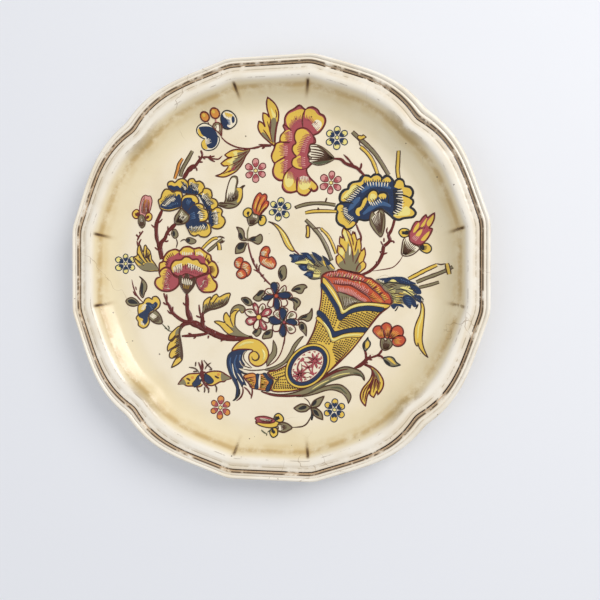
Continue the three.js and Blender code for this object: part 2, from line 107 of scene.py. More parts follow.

# %% [markdown]
# ## From a tree to a plain mesh
#
# A Geometry Nodes modifier is only a recipe. To get a real mesh, the modifier's inputs are set by their
# socket identifiers, the object is evaluated, the result is copied to a new mesh, and the modifier goes.
# Slots that no face uses are dropped, so that each piece lists only its own finishes.


# %% Evaluate a tree once
def grow(name, start, tree, values):
    modifier = start.modifiers.new("recipe", "NODES")
    modifier.node_group = tree
    for item in tree.interface.items_tree:
        if item.in_out == "INPUT" and item.name in values:
            modifier[item.identifier] = values[item.name]
    ready = start.evaluated_get(bpy.context.evaluated_depsgraph_get())
    mesh = bpy.data.meshes.new_from_object(ready)
    start.modifiers.remove(modifier)
    mesh.name = name
    chosen = [face.material_index for face in mesh.polygons]
    kept = sorted(set(chosen))
    finishes = [mesh.materials[i] for i in kept]
    mesh.materials.clear()
    for finish in finishes:
        mesh.materials.append(finish)
    mesh.polygons.foreach_set("material_index", [kept.index(i) for i in chosen])
    piece = bpy.data.objects.new(name, mesh)
    scene.collection.objects.link(piece)
    return piece


def helper_object(name, data):
    made = bpy.data.objects.new(name, data)
    scene.collection.objects.link(made)
    return made


print("grow ready")

# %% [markdown]
# ## The lobed contour
#
# The outline is the same on all eight shoulders: half of a straight side, then one soft curve that dips to
# the notch. It could be traced with a hand-drawn curve, but a rule is shorter and exactly symmetrical. One
# Bezier curve is written for an inset from the edge, mirrored and turned. The moulding follows the same
# rule at every inset, and the wall blends it into a circle, because the floor is round.

# %% Sizes read from the frame, in millimetres
glaze_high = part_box("face_glaze")[1] / MM
back_low, back_high = (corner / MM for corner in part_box("back_glaze"))
EDGE = glaze_high.x
TOP = glaze_high.z
SIDE = back_high.z
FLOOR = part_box("posy_rose")[0].z / MM
BARE = back_low.z
FLAT = 27.0
FLAT_TAPER = 0.25
LIP = 13.3
BEAD = 5.4
WALL_END = 28.0
FLAT_STEPS = 10
CURVE_STEPS = 40
AROUND = 8 * (FLAT_STEPS + CURVE_STEPS)
print(f"edge {EDGE:.1f}, top {TOP:.1f}, floor {FLOOR:.1f}, bare foot {BARE:.1f}")


# %% Rings of the contour
def shoulder(inset, pull):
    """Half a straight side and the curve to the notch, for the top side's right half."""
    corner = Vector((FLAT - FLAT_TAPER * inset, EDGE - inset))
    across = (EDGE + 1.8) / math.sqrt(2) - 0.72 * inset - 0.3 * min(inset, BEAD)
    notch = Vector((across, across))
    chord = (corner - notch).length
    leave, arrive = math.radians(20), math.radians(pull)
    first = corner + Vector((math.cos(leave), -math.sin(leave))) * 0.42 * chord
    second = notch + Vector((-math.cos(arrive), math.sin(arrive))) * 0.38 * chord
    half_side = [Vector((corner.x * i / FLAT_STEPS, corner.y)) for i in range(FLAT_STEPS)]
    curve = []
    for i in range(CURVE_STEPS):
        t = i / CURVE_STEPS
        s = 1 - t
        curve.append(corner * s**3 + first * 3 * s * s * t + second * 3 * s * t * t + notch * t**3)
    return half_side + curve + [notch]


def softened(ring):
    return [(ring[i - 1] + ring[i] * 2 + ring[(i + 1) % len(ring)]) / 4 for i in range(len(ring))]


def lobed_ring(inset, pull):
    side = shoulder(inset, pull)
    quarter = [Vector((p.y, p.x)) for p in side] + side[1:-1][::-1]
    ring = []
    for turn in range(4):
        spin = Matrix.Rotation(math.radians(90 * turn), 2)
        ring += [spin @ p for p in quarter]
    return softened(softened(ring))


def wall_ring(inset):
    """The lobed ring turned into a circle between the lip and the floor."""
    share = (inset - LIP) / (WALL_END - LIP)
    share = share * share * (3 - 2 * share)
    lobed = lobed_ring(inset, 55)
    return [p.lerp(p.normalized() * (EDGE - inset), share) for p in lobed]


STOPS = [0, 2.7, BEAD, LIP, 16.8, 20.5, 24.2, WALL_END, EDGE]
rings = [lobed_ring(0, 54), lobed_ring(2.7, 56), lobed_ring(BEAD, 60), lobed_ring(LIP, 56)]
rings += [wall_ring(inset) for inset in STOPS[4:8]]
rings += [[Vector((0, 0))] * AROUND]
contour_mesh = bpy.data.meshes.new("contours")
contour_mesh.from_pydata([(p.x * MM, p.y * MM, 0) for ring in rings for p in ring], [], [])
contours = helper_object("contours", contour_mesh)
print(len(rings), "rings of", AROUND, "points")

# %% [markdown]
# ## The moulded section
#
# Cut through the rim, the plate shows a rolled edge, a thin groove, a bead, a deeper groove, a nearly flat
# band, a lip and then the cove that sweeps down to the floor. Each glaze coat and the clay are drawn as two
# lines that start at the same point: one for the surface that faces up, one for the surface that faces
# down. A coat's inner line is its outer one moved square to itself by the thickness of the glaze.


# %% Sections, as inset from the edge and height
def moved(section, distance):
    out = []
    for i, (inset, height) in enumerate(section):
        before, after = section[max(i - 1, 0)], section[min(i + 1, len(section) - 1)]
        run, rise = after[0] - before[0], after[1] - before[1]
        size = math.hypot(run, rise)
        out.append((inset - rise / size * distance, height + run / size * distance))
    return out


GLAZE = 0.4
face_line = [(0, SIDE), (0.05, 17.2), (0.5, 18.4), (1.5, TOP), (2.3, 19.05), (2.6, 18.5), (2.75, 18.45)]
face_line += [(3.1, 18.75), (3.9, 18.95), (4.7, 18.65), (5.2, 17.75), (5.5, 17.6), (5.9, 17.95)]
face_line += [(7.2, 18.35), (8.3, 18.3), (8.6, 18.3), (9.2, 18.5), (11, 18.8), (12.6, 18.6)]
face_line += [(13.5, 18.0), (15.2, 15.9), (16.4, 14.3), (16.8, 13.85), (17.4, 13.35), (18.8, 11.9)]
face_line += [(20.6, 10.1), (22.6, 8.45), (25, 7.1), (28, 6.25), (32, FLOOR), (40, FLOOR), (60, FLOOR)]
face_line += [(90, FLOOR), (EDGE, FLOOR)]
under_face = [(0, SIDE)] + moved(face_line, -GLAZE)[1:-1] + [(EDGE, FLOOR - GLAZE)]
BACK = FLOOR - 4.6
back_line = [(0, SIDE), (0.1, 15.6), (0.5, 14.9), (1.3, 14.3), (2.6, 13.95), (6, 13.5), (12, 12.85)]
back_line += [(15, 10.3), (18.5, 6.9), (22, 4.0), (25.5, 2.25), (29, 1.55), (33, BACK), (44, BACK)]
foot_line = [(51.6, BACK), (52.4, 1.32), (52.9, 1.05), (53.15, BARE)]
over_back = [(0, SIDE), (0.4, SIDE)] + moved(back_line, GLAZE)[2:] + [(52.4, BACK + GLAZE), (53.1, 1.0)]
bare_foot = [(53.15, BARE), (53.35, 0.2), (53.6, 0), (57.4, 0), (57.65, 0.2), (57.85, BARE)]
base_line = [(57.85, BARE), (58.1, 1.05), (58.6, 1.32), (59.4, BACK), (80, BACK), (EDGE, BACK)]
over_base = [
    (57.85, BARE),
    (57.9, 1.2),
    (58.5, 1.7),
    (60, BACK + GLAZE),
    (80, BACK + GLAZE),
    (EDGE, BACK + GLAZE),
]
clay_under = over_back + bare_foot + over_base[1:]
print("section points:", len(face_line), "on the face,", len(back_line), "on the back")

# %% [markdown]
# ## A loft tree
#
# A plate could be spun, but Spin only makes circles. This tree lays a grid out as "around" by "along", reads
# a height and an inset for each grid line from the drawn section, and reads where that inset lies on the
# contours by mixing the two nearest rings. Merging by distance then closes the seam and the pole. The grid's
# own UV map is kept, with the inset in it, so the stains can follow the mouldings exactly.


# %% Build the loft tree
def ring_sheet(tree, given, curve_index, along, flip):
    """One surface of the loft: a bent grid, read from one line of the section."""
    grid = add(tree, "GeometryNodeMeshGrid", {"Size X": 1.0, "Size Y": 1.0, "Vertices Y": along})
    around = add(tree, "FunctionNodeIntegerMath", {0: given["Around"], 1: 1}, operation="ADD")
    tree.links.new(around.outputs[0], grid.inputs["Vertices X"])
    uv = add(tree, "ShaderNodeSeparateXYZ", {0: grid.outputs["UV Map"]})
    turn = calc(tree, "ROUND", calc(tree, "MULTIPLY", uv.outputs[0], given["Around"]))
    step = calc(tree, "MODULO", turn, given["Around"])
    share = calc(tree, "POWER", uv.outputs[1], given["Crowding"])
    section = add(tree, "GeometryNodeObjectInfo", {"Object": given["Section"]})
    sample = add(
        tree,
        "GeometryNodeSampleCurve",
        {"Curves": section.outputs["Geometry"], "Factor": share, "Curve Index": curve_index},
    )
    place = add(tree, "ShaderNodeSeparateXYZ", {0: sample.outputs["Position"]})
    level = None
    for low, high in zip(STOPS, STOPS[1:]):
        rise = add(
            tree,
            "ShaderNodeMapRange",
            {"Value": place.outputs[0], "From Min": low * MM, "From Max": high * MM},
        ).outputs[0]
        level = rise if level is None else calc(tree, "ADD", level, rise)
    lower = calc(tree, "MINIMUM", calc(tree, "FLOOR", level), float(len(STOPS) - 2))
    part = calc(tree, "SUBTRACT", level, lower)
    rings_in = add(tree, "GeometryNodeObjectInfo", {"Object": given["Contours"]}).outputs["Geometry"]
    spot = tree.nodes.new("GeometryNodeInputPosition").outputs[0]
    ends = []
    for extra in (0.0, 1.0):
        ring = calc(tree, "ADD", lower, extra)
        index = calc(tree, "ADD", calc(tree, "MULTIPLY", ring, given["Around"]), step)
        pick = add(
            tree,
            "GeometryNodeSampleIndex",
            {"Geometry": rings_in, "Index": index},
            data_type="FLOAT_VECTOR",
            domain="POINT",
        )
        tree.links.new(spot, next(s for s in pick.inputs if s.name == "Value" and s.enabled))
        ends.append(next(s for s in pick.outputs if s.enabled))
    mixed = add(tree, "ShaderNodeMix", data_type="VECTOR")
    tree.links.new(part, next(s for s in mixed.inputs if s.identifier == "Factor_Float"))
    tree.links.new(ends[0], next(s for s in mixed.inputs if s.identifier == "A_Vector"))
    tree.links.new(ends[1], next(s for s in mixed.inputs if s.identifier == "B_Vector"))
    plan = next(s for s in mixed.outputs if s.identifier == "Result_Vector")
    flat = add(tree, "ShaderNodeSeparateXYZ", {0: plan})
    bent = add(
        tree,
        "ShaderNodeCombineXYZ",
        {0: flat.outputs[0], 1: flat.outputs[1], 2: place.outputs[1]},
    )
    depth = calc(tree, "MULTIPLY", place.outputs[0], (-1.0 if curve_index else 1.0) / (EDGE * MM))
    mark = add(tree, "ShaderNodeCombineXYZ", {0: uv.outputs[0], 1: depth})
    stored = add(
        tree,
        "GeometryNodeStoreNamedAttribute",
        {"Geometry": grid.outputs["Mesh"], "Name": "UVMap"},
        data_type="FLOAT2",
        domain="CORNER",
    )
    tree.links.new(mark.outputs[0], next(s for s in stored.inputs if s.name == "Value" and s.enabled))
    shaped = add(
        tree,
        "GeometryNodeSetPosition",
        {"Geometry": stored.outputs[0], "Position": bent.outputs[0]},
    )
    if flip:
        return add(tree, "GeometryNodeFlipFaces", {0: shaped.outputs[0]}).outputs[0]
    return shaped.outputs[0]


loft, given, result = new_tree(
    "moulded_loft",
    "GeometryNodeTree",
    [
        ("Geometry", "Geometry"),
        ("Contours", "Object"),
        ("Section", "Object"),
        ("Around", "Int"),
        ("Face steps", "Int"),
        ("Back steps", "Int"),
        ("Crowding", "Float"),
        ("Finish", "Material"),
    ],
    [("Geometry", "Geometry")],
)
upper = ring_sheet(loft, given, 0, given["Face steps"], False)
lower = ring_sheet(loft, given, 1, given["Back steps"], True)
both = add(loft, "GeometryNodeJoinGeometry")
loft.links.new(lower, both.inputs[0])
loft.links.new(upper, both.inputs[0])
closed = add(loft, "GeometryNodeMergeByDistance", {"Geometry": both.outputs[0], "Distance": 1e-6})
smooth = add(loft, "GeometryNodeSetShadeSmooth", {"Geometry": closed.outputs[0]})
real = add(loft, "GeometryNodeRealizeInstances", {"Geometry": smooth.outputs[0]})
last = add(
    loft,
    "GeometryNodeSetMaterial",
    {"Geometry": real.outputs[0], "Material": given["Finish"]},
)
loft.links.new(last.outputs[0], result["Geometry"])
print("loft tree has", len(loft.nodes), "nodes")


# %% Draw a pair of section lines as a curve object
def section_object(name, lines):
    data = bpy.data.curves.new(name, "CURVE")
    data.dimensions = "3D"
    data.resolution_u = 8
    for line in lines:
        spline = data.splines.new("BEZIER")
        spline.bezier_points.add(len(line) - 1)
        for point, (inset, height) in zip(spline.bezier_points, line):
            point.co = (inset * MM, height * MM, 0)
            point.handle_left_type = point.handle_right_type = "AUTO"
    return helper_object(name, data)


print("section curves ready")

# %% [markdown]
# ## Stained tin glaze
#
# Tin glaze is white to cream and glossy, and this one was rubbed with umber that stayed in the grooves. An
# image could be painted, but it would blur up close. Instead the loft left each corner's turn and inset in
# the UV map, so a stain is just "near this inset", broken up by noise where the rag wiped it away. The line
# mask is a group because every stain uses it.

# %% Shader group: a worn line at one inset
worn_line, given, result = new_tree(
    "worn_line",
    "ShaderNodeTree",
    [("Inset", "Float"), ("At", "Float"), ("Half width", "Float"), ("Fade", "Float")]
    + [("Wear", "Float"), ("Wear low", "Float"), ("Wear high", "Float")],
    [("Mask", "Float")],
)
away = calc(worn_line, "ABSOLUTE", calc(worn_line, "SUBTRACT", given["Inset"], given["At"]))
reach = calc(worn_line, "ADD", given["Half width"], given["Fade"])
near = add(
    worn_line,
    "ShaderNodeMapRange",
    {"Value": away, "From Min": given["Half width"], "From Max": reach, "To Min": 1.0, "To Max": 0.0},
    interpolation_type="SMOOTHSTEP",
)
left = add(
    worn_line,
    "ShaderNodeMapRange",
    {"Value": given["Wear"], "From Min": given["Wear low"], "From Max": given["Wear high"]},
    interpolation_type="SMOOTHSTEP",
)
worn_line.links.new(calc(worn_line, "MULTIPLY", near.outputs[0], left.outputs[0]), result["Mask"])

# %% Shader group: specks and hairlines of an old glaze
aged, given, result = new_tree(
    "aged_glaze",
    "ShaderNodeTree",
    [("Vector", "Vector"), ("Cell size", "Float"), ("Hairline", "Float"), ("Speck", "Float")],
    [("Hairlines", "Float"), ("Specks", "Float"), ("Mottle", "Float"), ("Height", "Float")],
)
bend = add(aged, "ShaderNodeTexNoise", {"Vector": given["Vector"], "Scale": 55.0, "Detail": 3.0})
slide = add(aged, "ShaderNodeVectorMath", {0: bend.outputs["Color"]}, operation="SCALE")
slide.inputs["Scale"].default_value = 0.018
warped = add(aged, "ShaderNodeVectorMath", {0: given["Vector"], 1: slide.outputs[0]}, operation="ADD")
cells = add(
    aged,
    "ShaderNodeTexVoronoi",
    {"Vector": warped.outputs[0], "Scale": given["Cell size"]},
    feature="DISTANCE_TO_EDGE",
)
thin = calc(aged, "LESS_THAN", cells.outputs["Distance"], given["Hairline"])
where = add(aged, "ShaderNodeTexNoise", {"Vector": given["Vector"], "Scale": 23.0, "Detail": 4.0})
some = add(
    aged,
    "ShaderNodeMapRange",
    {"Value": where.outputs[0], "From Min": 0.56, "From Max": 0.66},
)
aged.links.new(calc(aged, "MULTIPLY", thin, some.outputs[0]), result["Hairlines"])
dots = add(aged, "ShaderNodeTexVoronoi", {"Vector": given["Vector"], "Scale": 330.0})
chance = add(aged, "ShaderNodeSeparateXYZ", {0: dots.outputs["Color"]})
rare = calc(aged, "GREATER_THAN", chance.outputs[0], 0.965)
dot_size = calc(aged, "MULTIPLY", chance.outputs[1], given["Speck"])
small = calc(aged, "LESS_THAN", dots.outputs["Distance"], dot_size)
aged.links.new(calc(aged, "MULTIPLY", rare, small), result["Specks"])
mottle = add(aged, "ShaderNodeTexNoise", {"Vector": given["Vector"], "Scale": 34.0, "Detail": 5.0})
aged.links.new(mottle.outputs[0], result["Mottle"])
ripple = add(aged, "ShaderNodeTexNoise", {"Vector": given["Vector"], "Scale": 160.0, "Detail": 2.0})
aged.links.new(ripple.outputs[0], result["Height"])
print("groups:", worn_line.name, aged.name)


# %% The glaze and the clay
def blank_material(name, colour, roughness):
    finish = bpy.data.materials.new(name)
    finish.use_nodes = True
    tree = finish.node_tree
    shader = next(n for n in tree.nodes if n.type == "BSDF_PRINCIPLED")
    shader.inputs["Base Color"].default_value = linear(colour)
    shader.inputs["Roughness"].default_value = roughness
    finish.diffuse_color = linear(colour)
    return finish, tree, shader


def tinted(tree, base, colour, mask):
    """The base colour with another laid over it where the mask is."""
    node = add(tree, "ShaderNodeMix", data_type="RGBA")
    sockets = {s.identifier: s for s in node.inputs}
    for key, value in (("A_Color", base), ("B_Color", colour), ("Factor_Float", mask)):
        if isinstance(value, bpy.types.NodeSocket):
            tree.links.new(value, sockets[key])
        else:
            sockets[key].default_value = linear(value) if isinstance(value, str) else value
    return next(s for s in node.outputs if s.identifier == "Result_Color")


def spread(tree, value, low, high, bottom=0.0, top=1.0):
    node = add(
        tree,
        "ShaderNodeMapRange",
        {"Value": value, "From Min": low, "From Max": high, "To Min": bottom, "To Max": top},
        interpolation_type="SMOOTHSTEP",
    )
    return node.outputs[0]


# inset, half width, fade, strength, colour, and where the noise lets it show
STAINS = [
    (0.2, 0.3, 1.0, 0.3, "A98C58", 0.42, 0.6),
    (2.75, 0.1, 0.3, 0.3, "6A4E2E", 0.44, 0.58),
    (5.2, 0.8, 0.9, 0.7, "AC8340", 0.3, 0.52),
    (8.2, 1.2, 1.6, 0.3, "C9A872", 0.3, 0.6),
    (4.55, 0.16, 0.28, 0.9, "3A2412", 0.42, 0.5),
    (5.95, 0.3, 0.3, 1.0, "22140A", 0.37, 0.46),
    (8.45, 0.12, 0.3, 0.5, "8F7C50", 0.42, 0.54),
    (12.9, 0.1, 0.3, 0.4, "6A5028", 0.5, 0.6),
    (16.9, 0.2, 1.6, 0.55, "A97F33", 0.3, 0.6),
    (18.2, 0.6, 3.2, 0.35, "CFAE62", 0.3, 0.62),
]
glaze, tree, shader = blank_material("stained_tin_glaze", "F2E6CE", 0.2)
uv = add(tree, "ShaderNodeUVMap", uv_map="UVMap")
split = add(tree, "ShaderNodeSeparateXYZ", {0: uv.outputs[0]})
inset = calc(tree, "MULTIPLY", split.outputs[1], EDGE)
quarter = calc(tree, "FRACT", calc(tree, "MULTIPLY", split.outputs[0], 4.0))
place = add(tree, "ShaderNodeTexCoord").outputs["Object"]
old = add(tree, "ShaderNodeGroup")
old.node_tree = aged
tree.links.new(place, old.inputs["Vector"])
old.inputs["Cell size"].default_value = 26.0
old.inputs["Hairline"].default_value = 0.0035
old.inputs["Speck"].default_value = 0.2
wear = add(tree, "ShaderNodeTexNoise", {"Vector": place, "Scale": 95.0, "Detail": 6.0, "Roughness": 0.65})
# The cove wall is tinted darker and yellower than the floor all round: this tint is painted shade, not a
# colour of the glaze.
colour = tinted(tree, "F4E7CC", "ECDDB8", spread(tree, inset, 36.0, 22.0))
colour = tinted(tree, colour, "F5EDDD", spread(tree, inset, 15.5, 13.0))
mottled = spread(tree, old.outputs["Mottle"], 0.42, 0.75, 0.0, 0.3)
colour = tinted(tree, colour, "D8C08C", mottled)
print("base of the glaze ready")

# %% Lay the stains over the glaze
for at, half, fade, strength, tint, low, high in STAINS:
    line = add(tree, "ShaderNodeGroup")
    line.node_tree = worn_line
    for label, value in zip(("Inset", "Wear"), (inset, wear.outputs[0])):
        tree.links.new(value, line.inputs[label])
    for label, value in zip(
        ("At", "Half width", "Fade", "Wear low", "Wear high"),
        (at, half, fade, low, high),
    ):
        line.inputs[label].default_value = value
    colour = tinted(tree, colour, tint, calc(tree, "MULTIPLY", line.outputs["Mask"], strength))
corner_one = calc(tree, "ABSOLUTE", calc(tree, "SUBTRACT", quarter, 0.1))
corner_two = calc(tree, "ABSOLUTE", calc(tree, "SUBTRACT", quarter, 0.9))
corner = calc(tree, "MINIMUM", corner_one, corner_two)
notch = calc(tree, "ABSOLUTE", calc(tree, "SUBTRACT", quarter, 0.5))
in_wall = calc(tree, "MULTIPLY", spread(tree, inset, 13.5, 15.5), spread(tree, inset, 29.0, 17.5))
patch = spread(tree, wear.outputs[0], 0.3, 0.55)
for half, tint, depth, strength in ((0.012, "B48C42", 27.0, 0.6), (0.0062, "4E3210", 23.0, 1.0)):
    crease = calc(tree, "MULTIPLY", spread(tree, corner, half, 0.0015), in_wall)
    crease = calc(tree, "MULTIPLY", crease, spread(tree, inset, depth, 15.5))
    crease = calc(tree, "MULTIPLY", crease, patch)
    colour = tinted(tree, colour, tint, calc(tree, "MULTIPLY", crease, strength))
in_lip = calc(tree, "MULTIPLY", spread(tree, inset, 12.2, 13.6), spread(tree, inset, 18.5, 15.5))
by_notch = calc(tree, "MULTIPLY", spread(tree, notch, 0.13, 0.02), in_lip)
colour = tinted(
    tree,
    colour,
    "A5894E",
    calc(tree, "MULTIPLY", calc(tree, "MULTIPLY", by_notch, patch), 0.55),
)
colour = tinted(tree, colour, "8B6B40", calc(tree, "MULTIPLY", old.outputs["Hairlines"], 0.5))
colour = tinted(tree, colour, "4A3626", calc(tree, "MULTIPLY", old.outputs["Specks"], 0.75))
tree.links.new(colour, shader.inputs["Base Color"])
tree.links.new(spread(tree, old.outputs["Mottle"], 0.3, 0.7, 0.14, 0.27), shader.inputs["Roughness"])
bump = add(tree, "ShaderNodeBump", {"Height": old.outputs["Height"], "Distance": 0.0002, "Strength": 0.35})
tree.links.new(bump.outputs[0], shader.inputs["Normal"])
print("stains:", len(STAINS))

# %% [markdown]
# ## Glazed back and bare clay
#
# The back has the same glaze with no rubbed lines, only specks and pinholes. Where the plate stands, the
# glaze was wiped off before firing, so the foot shows the clay: matt, warm and slightly gritty.

# %% Back glaze and clay
back_glaze, tree, shader = blank_material("plain_tin_glaze", "EFE3CB", 0.2)
place = add(tree, "ShaderNodeTexCoord").outputs["Object"]
old = add(tree, "ShaderNodeGroup")
old.node_tree = aged
tree.links.new(place, old.inputs["Vector"])
old.inputs["Cell size"].default_value = 30.0
old.inputs["Hairline"].default_value = 0.0025
old.inputs["Speck"].default_value = 0.34
colour = tinted(tree, "F1E6CF", "DCCAA0", spread(tree, old.outputs["Mottle"], 0.4, 0.75, 0.0, 0.5))
colour = tinted(tree, colour, "8B6B40", calc(tree, "MULTIPLY", old.outputs["Hairlines"], 0.4))
colour = tinted(tree, colour, "4A3626", calc(tree, "MULTIPLY", old.outputs["Specks"], 0.8))
tree.links.new(colour, shader.inputs["Base Color"])
tree.links.new(spread(tree, old.outputs["Mottle"], 0.3, 0.7, 0.16, 0.3), shader.inputs["Roughness"])
bump = add(tree, "ShaderNodeBump", {"Height": old.outputs["Height"], "Distance": 0.0003, "Strength": 0.4})
tree.links.new(bump.outputs[0], shader.inputs["Normal"])

clay, tree, shader = blank_material("fired_clay", "C9A883", 0.8)
place = add(tree, "ShaderNodeTexCoord").outputs["Object"]
grit = add(tree, "ShaderNodeTexNoise", {"Vector": place, "Scale": 900.0, "Detail": 4.0})
colour = tinted(tree, "C9A883", "8F6C4A", spread(tree, grit.outputs[0], 0.45, 0.75, 0.0, 0.8))
tree.links.new(colour, shader.inputs["Base Color"])
tree.links.new(spread(tree, grit.outputs[0], 0.3, 0.7, 0.65, 0.95), shader.inputs["Roughness"])
bump = add(tree, "ShaderNodeBump", {"Height": grit.outputs[0], "Distance": 0.0002, "Strength": 0.6})
tree.links.new(bump.outputs[0], shader.inputs["Normal"])
print("finishes:", glaze.name, back_glaze.name, clay.name)

# %% [markdown]
# ## Grow the plate
#
# The same tree makes all four coats: only the section, the number of steps and the finish change. Each
# result stands for the CAD node of the same name and rides on the plate's one body.

# %% The four coats
back_top = over_back + [(over_back[-1][0], BARE), (back_line + foot_line)[-1]]
COATS = [
    ("face_glaze", face_line, under_face, 150, 34, 1.8, glaze, "glaze"),
    ("back_glaze", back_top, back_line + foot_line, 30, 90, 1.2, back_glaze, "glaze"),
    ("base_glaze", over_base, base_line, 20, 40, 1.5, back_glaze, "glaze"),
    ("clay_body", under_face, clay_under, 60, 70, 1.1, clay, "clay"),
]
coats = {}
for node, top_line, low_line, top_steps, low_steps, crowding, finish, slot in COATS:
    section = section_object(node + "_section", [top_line, low_line])
    start = helper_object(node + "_start", bpy.data.meshes.new("empty"))
    values = {"Contours": contours, "Section": section, "Around": AROUND}
    values |= {"Face steps": top_steps, "Back steps": low_steps, "Crowding": crowding, "Finish": finish}
    coat = grow("plate_" + node, start, loft, values)
    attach(coat, "root")
    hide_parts(node)
    coats[node] = coat
    bpy.data.objects.remove(section)
    bpy.data.objects.remove(start)
    print(coat.name, len(coat.data.polygons), "faces")
bpy.data.objects.remove(contours)

# %% [markdown]
# ## Enamel colours
#
# Painted enamel lies on the glaze as a thin, glossy skin, a little uneven where the brush was full. Each
# colour is one material whose gloss and surface are uneven and whose colour stays a plain value, so that a
# fine stroke keeps a crisp edge. Light and dark neighbours of a colour are separate enamels, as in the
# painter's palette.

# %% Shader group and palette
brushed, given, result = new_tree(
    "brushed_enamel",
    "ShaderNodeTree",
    [("Vector", "Vector"), ("Low", "Float"), ("High", "Float")],
    [("Roughness", "Float"), ("Height", "Float")],
)
flow = add(brushed, "ShaderNodeTexNoise", {"Vector": given["Vector"], "Scale": 420.0, "Detail": 4.0})
gloss = add(
    brushed,
    "ShaderNodeMapRange",
    {"Value": flow.outputs[0], "From Min": 0.35, "From Max": 0.65},
)
brushed.links.new(given["Low"], gloss.inputs["To Min"])
brushed.links.new(given["High"], gloss.inputs["To Max"])
brushed.links.new(gloss.outputs[0], result["Roughness"])
brushed.links.new(flow.outputs[0], result["Height"])

PALETTE = {
    "maroon": "64190F",
    "brown": "4E2F18",
    "rose": "A94B50",
    "pink": "D6948C",
    "cream": "F0E4C8",
    "yellow": "E3BD4B",
    "lemon": "EBDB84",
    "orange": "D98F3C",
    "rust": "C2512F",
    "navy": "1A2C4C",
    "blue": "3C5A80",
    "olive": "857A58",
    "moss": "55563A",
    "black": "201C1A",
    "gold": "A8822C",
}
enamels = {}
for name, code in PALETTE.items():
    enamels[name], tree, shader = blank_material("brushed_" + name, code, 0.3)
    skin = add(tree, "ShaderNodeGroup")
    skin.node_tree = brushed
    tree.links.new(add(tree, "ShaderNodeTexCoord").outputs["Object"], skin.inputs["Vector"])
    skin.inputs["Low"].default_value = 0.24
    skin.inputs["High"].default_value = 0.42
    tree.links.new(skin.outputs["Roughness"], shader.inputs["Roughness"])
    bump = add(
        tree,
        "ShaderNodeBump",
        {"Height": skin.outputs["Height"], "Distance": 0.0001, "Strength": 0.4},
    )
    tree.links.new(bump.outputs[0], shader.inputs["Normal"])
TONES = list(PALETTE)
print("enamels:", ", ".join(TONES))

# %% [markdown]
# ## A brush made of nodes
#
# A motif is first drawn flat, as one mesh: a face for each filled shape and a chain of edges for each
# stroke, with the stroke's width, the colour's number and the layer stored on the points. The tree turns
# the chains into ribbons, lays everything down on the glaze with a ray cast from above, gives it a thin
# edge, and closes it underneath. Drawing on the plate this way means that a petal which climbs the wall
# bends with it.

# %% Build the brush tree
brush, given, result = new_tree(
    "enamel_brush",
    "GeometryNodeTree",
    [
        ("Geometry", "Geometry"),
        ("Surface", "Object"),
        ("Sink", "Float"),
        ("Wobble", "Float"),
        ("Nib points", "Int"),
    ],
    [("Geometry", "Geometry")],
)


def stored_value(tree, name, kind):
    node = add(tree, "GeometryNodeInputNamedAttribute", {"Name": name}, data_type=kind)
    return next(s for s in node.outputs if s.enabled)


stroke = stored_value(brush, "stroke", "BOOLEAN")
filled = add(
    brush,
    "GeometryNodeDeleteGeometry",
    {"Geometry": given["Geometry"], "Selection": stroke},
    domain="EDGE",
    mode="ALL",
)
facets = add(brush, "GeometryNodeTriangulate", {0: filled.outputs[0]})
chains = add(brush, "GeometryNodeMeshToCurve", {"Mesh": given["Geometry"], "Selection": stroke})
level = add(brush, "GeometryNodeSetCurveNormal", {"Curve": chains.outputs[0]}, mode="Z_UP")
width = stored_value(brush, "width", "FLOAT")
spot = brush.nodes.new("GeometryNodeInputPosition").outputs[0]
pressure = add(brush, "ShaderNodeTexNoise", {"Vector": spot, "Scale": 260.0, "Detail": 1.0})
swing = calc(brush, "MULTIPLY", calc(brush, "SUBTRACT", pressure.outputs[0], 0.5), given["Wobble"])
spread_by = calc(brush, "MULTIPLY", width, calc(brush, "ADD", swing, 1.0))
nib = add(
    brush,
    "GeometryNodeCurvePrimitiveLine",
    {"Start": (-1.0, 0.0, 0.0), "End": (1.0, 0.0, 0.0)},
)
split_nib = add(brush, "GeometryNodeResampleCurve", {"Curve": nib.outputs[0], "Count": given["Nib points"]})
ribbon = add(
    brush,
    "GeometryNodeCurveToMesh",
    {"Curve": level.outputs[0], "Profile Curve": split_nib.outputs[0], "Scale": spread_by},
)
marks = add(brush, "GeometryNodeJoinGeometry")
brush.links.new(ribbon.outputs[0], marks.inputs[0])
brush.links.new(facets.outputs[0], marks.inputs[0])
facing = add(brush, "ShaderNodeSeparateXYZ", {0: brush.nodes.new("GeometryNodeInputNormal").outputs[0]})
downward = add(brush, "FunctionNodeCompare", {"A": facing.outputs[2], "B": 0.0}, operation="LESS_THAN")
upward = add(brush, "GeometryNodeFlipFaces", {"Mesh": marks.outputs[0], "Selection": downward.outputs[0]})
flat = add(brush, "ShaderNodeSeparateXYZ", {0: spot})
above = add(brush, "ShaderNodeCombineXYZ", {0: flat.outputs[0], 1: flat.outputs[1], 2: 0.05})
surface = add(brush, "GeometryNodeObjectInfo", {"Object": given["Surface"]})
ray = add(
    brush,
    "GeometryNodeRaycast",
    {
        "Target Geometry": surface.outputs["Geometry"],
        "Source Position": above.outputs[0],
        "Ray Direction": (0.0, 0.0, -1.0),
        "Ray Length": 0.1,
    },
)
ground = add(brush, "ShaderNodeSeparateXYZ", {0: ray.outputs["Hit Position"]})
high = stored_value(brush, "lift", "FLOAT")
start_height = calc(brush, "SUBTRACT", ground.outputs[2], given["Sink"])
low_height = calc(brush, "MULTIPLY_ADD", high, 0.1, start_height)
low_spot = add(brush, "ShaderNodeCombineXYZ", {0: flat.outputs[0], 1: flat.outputs[1], 2: low_height})
laid = add(
    brush,
    "GeometryNodeSetPosition",
    {"Geometry": upward.outputs[0], "Position": low_spot.outputs[0]},
)
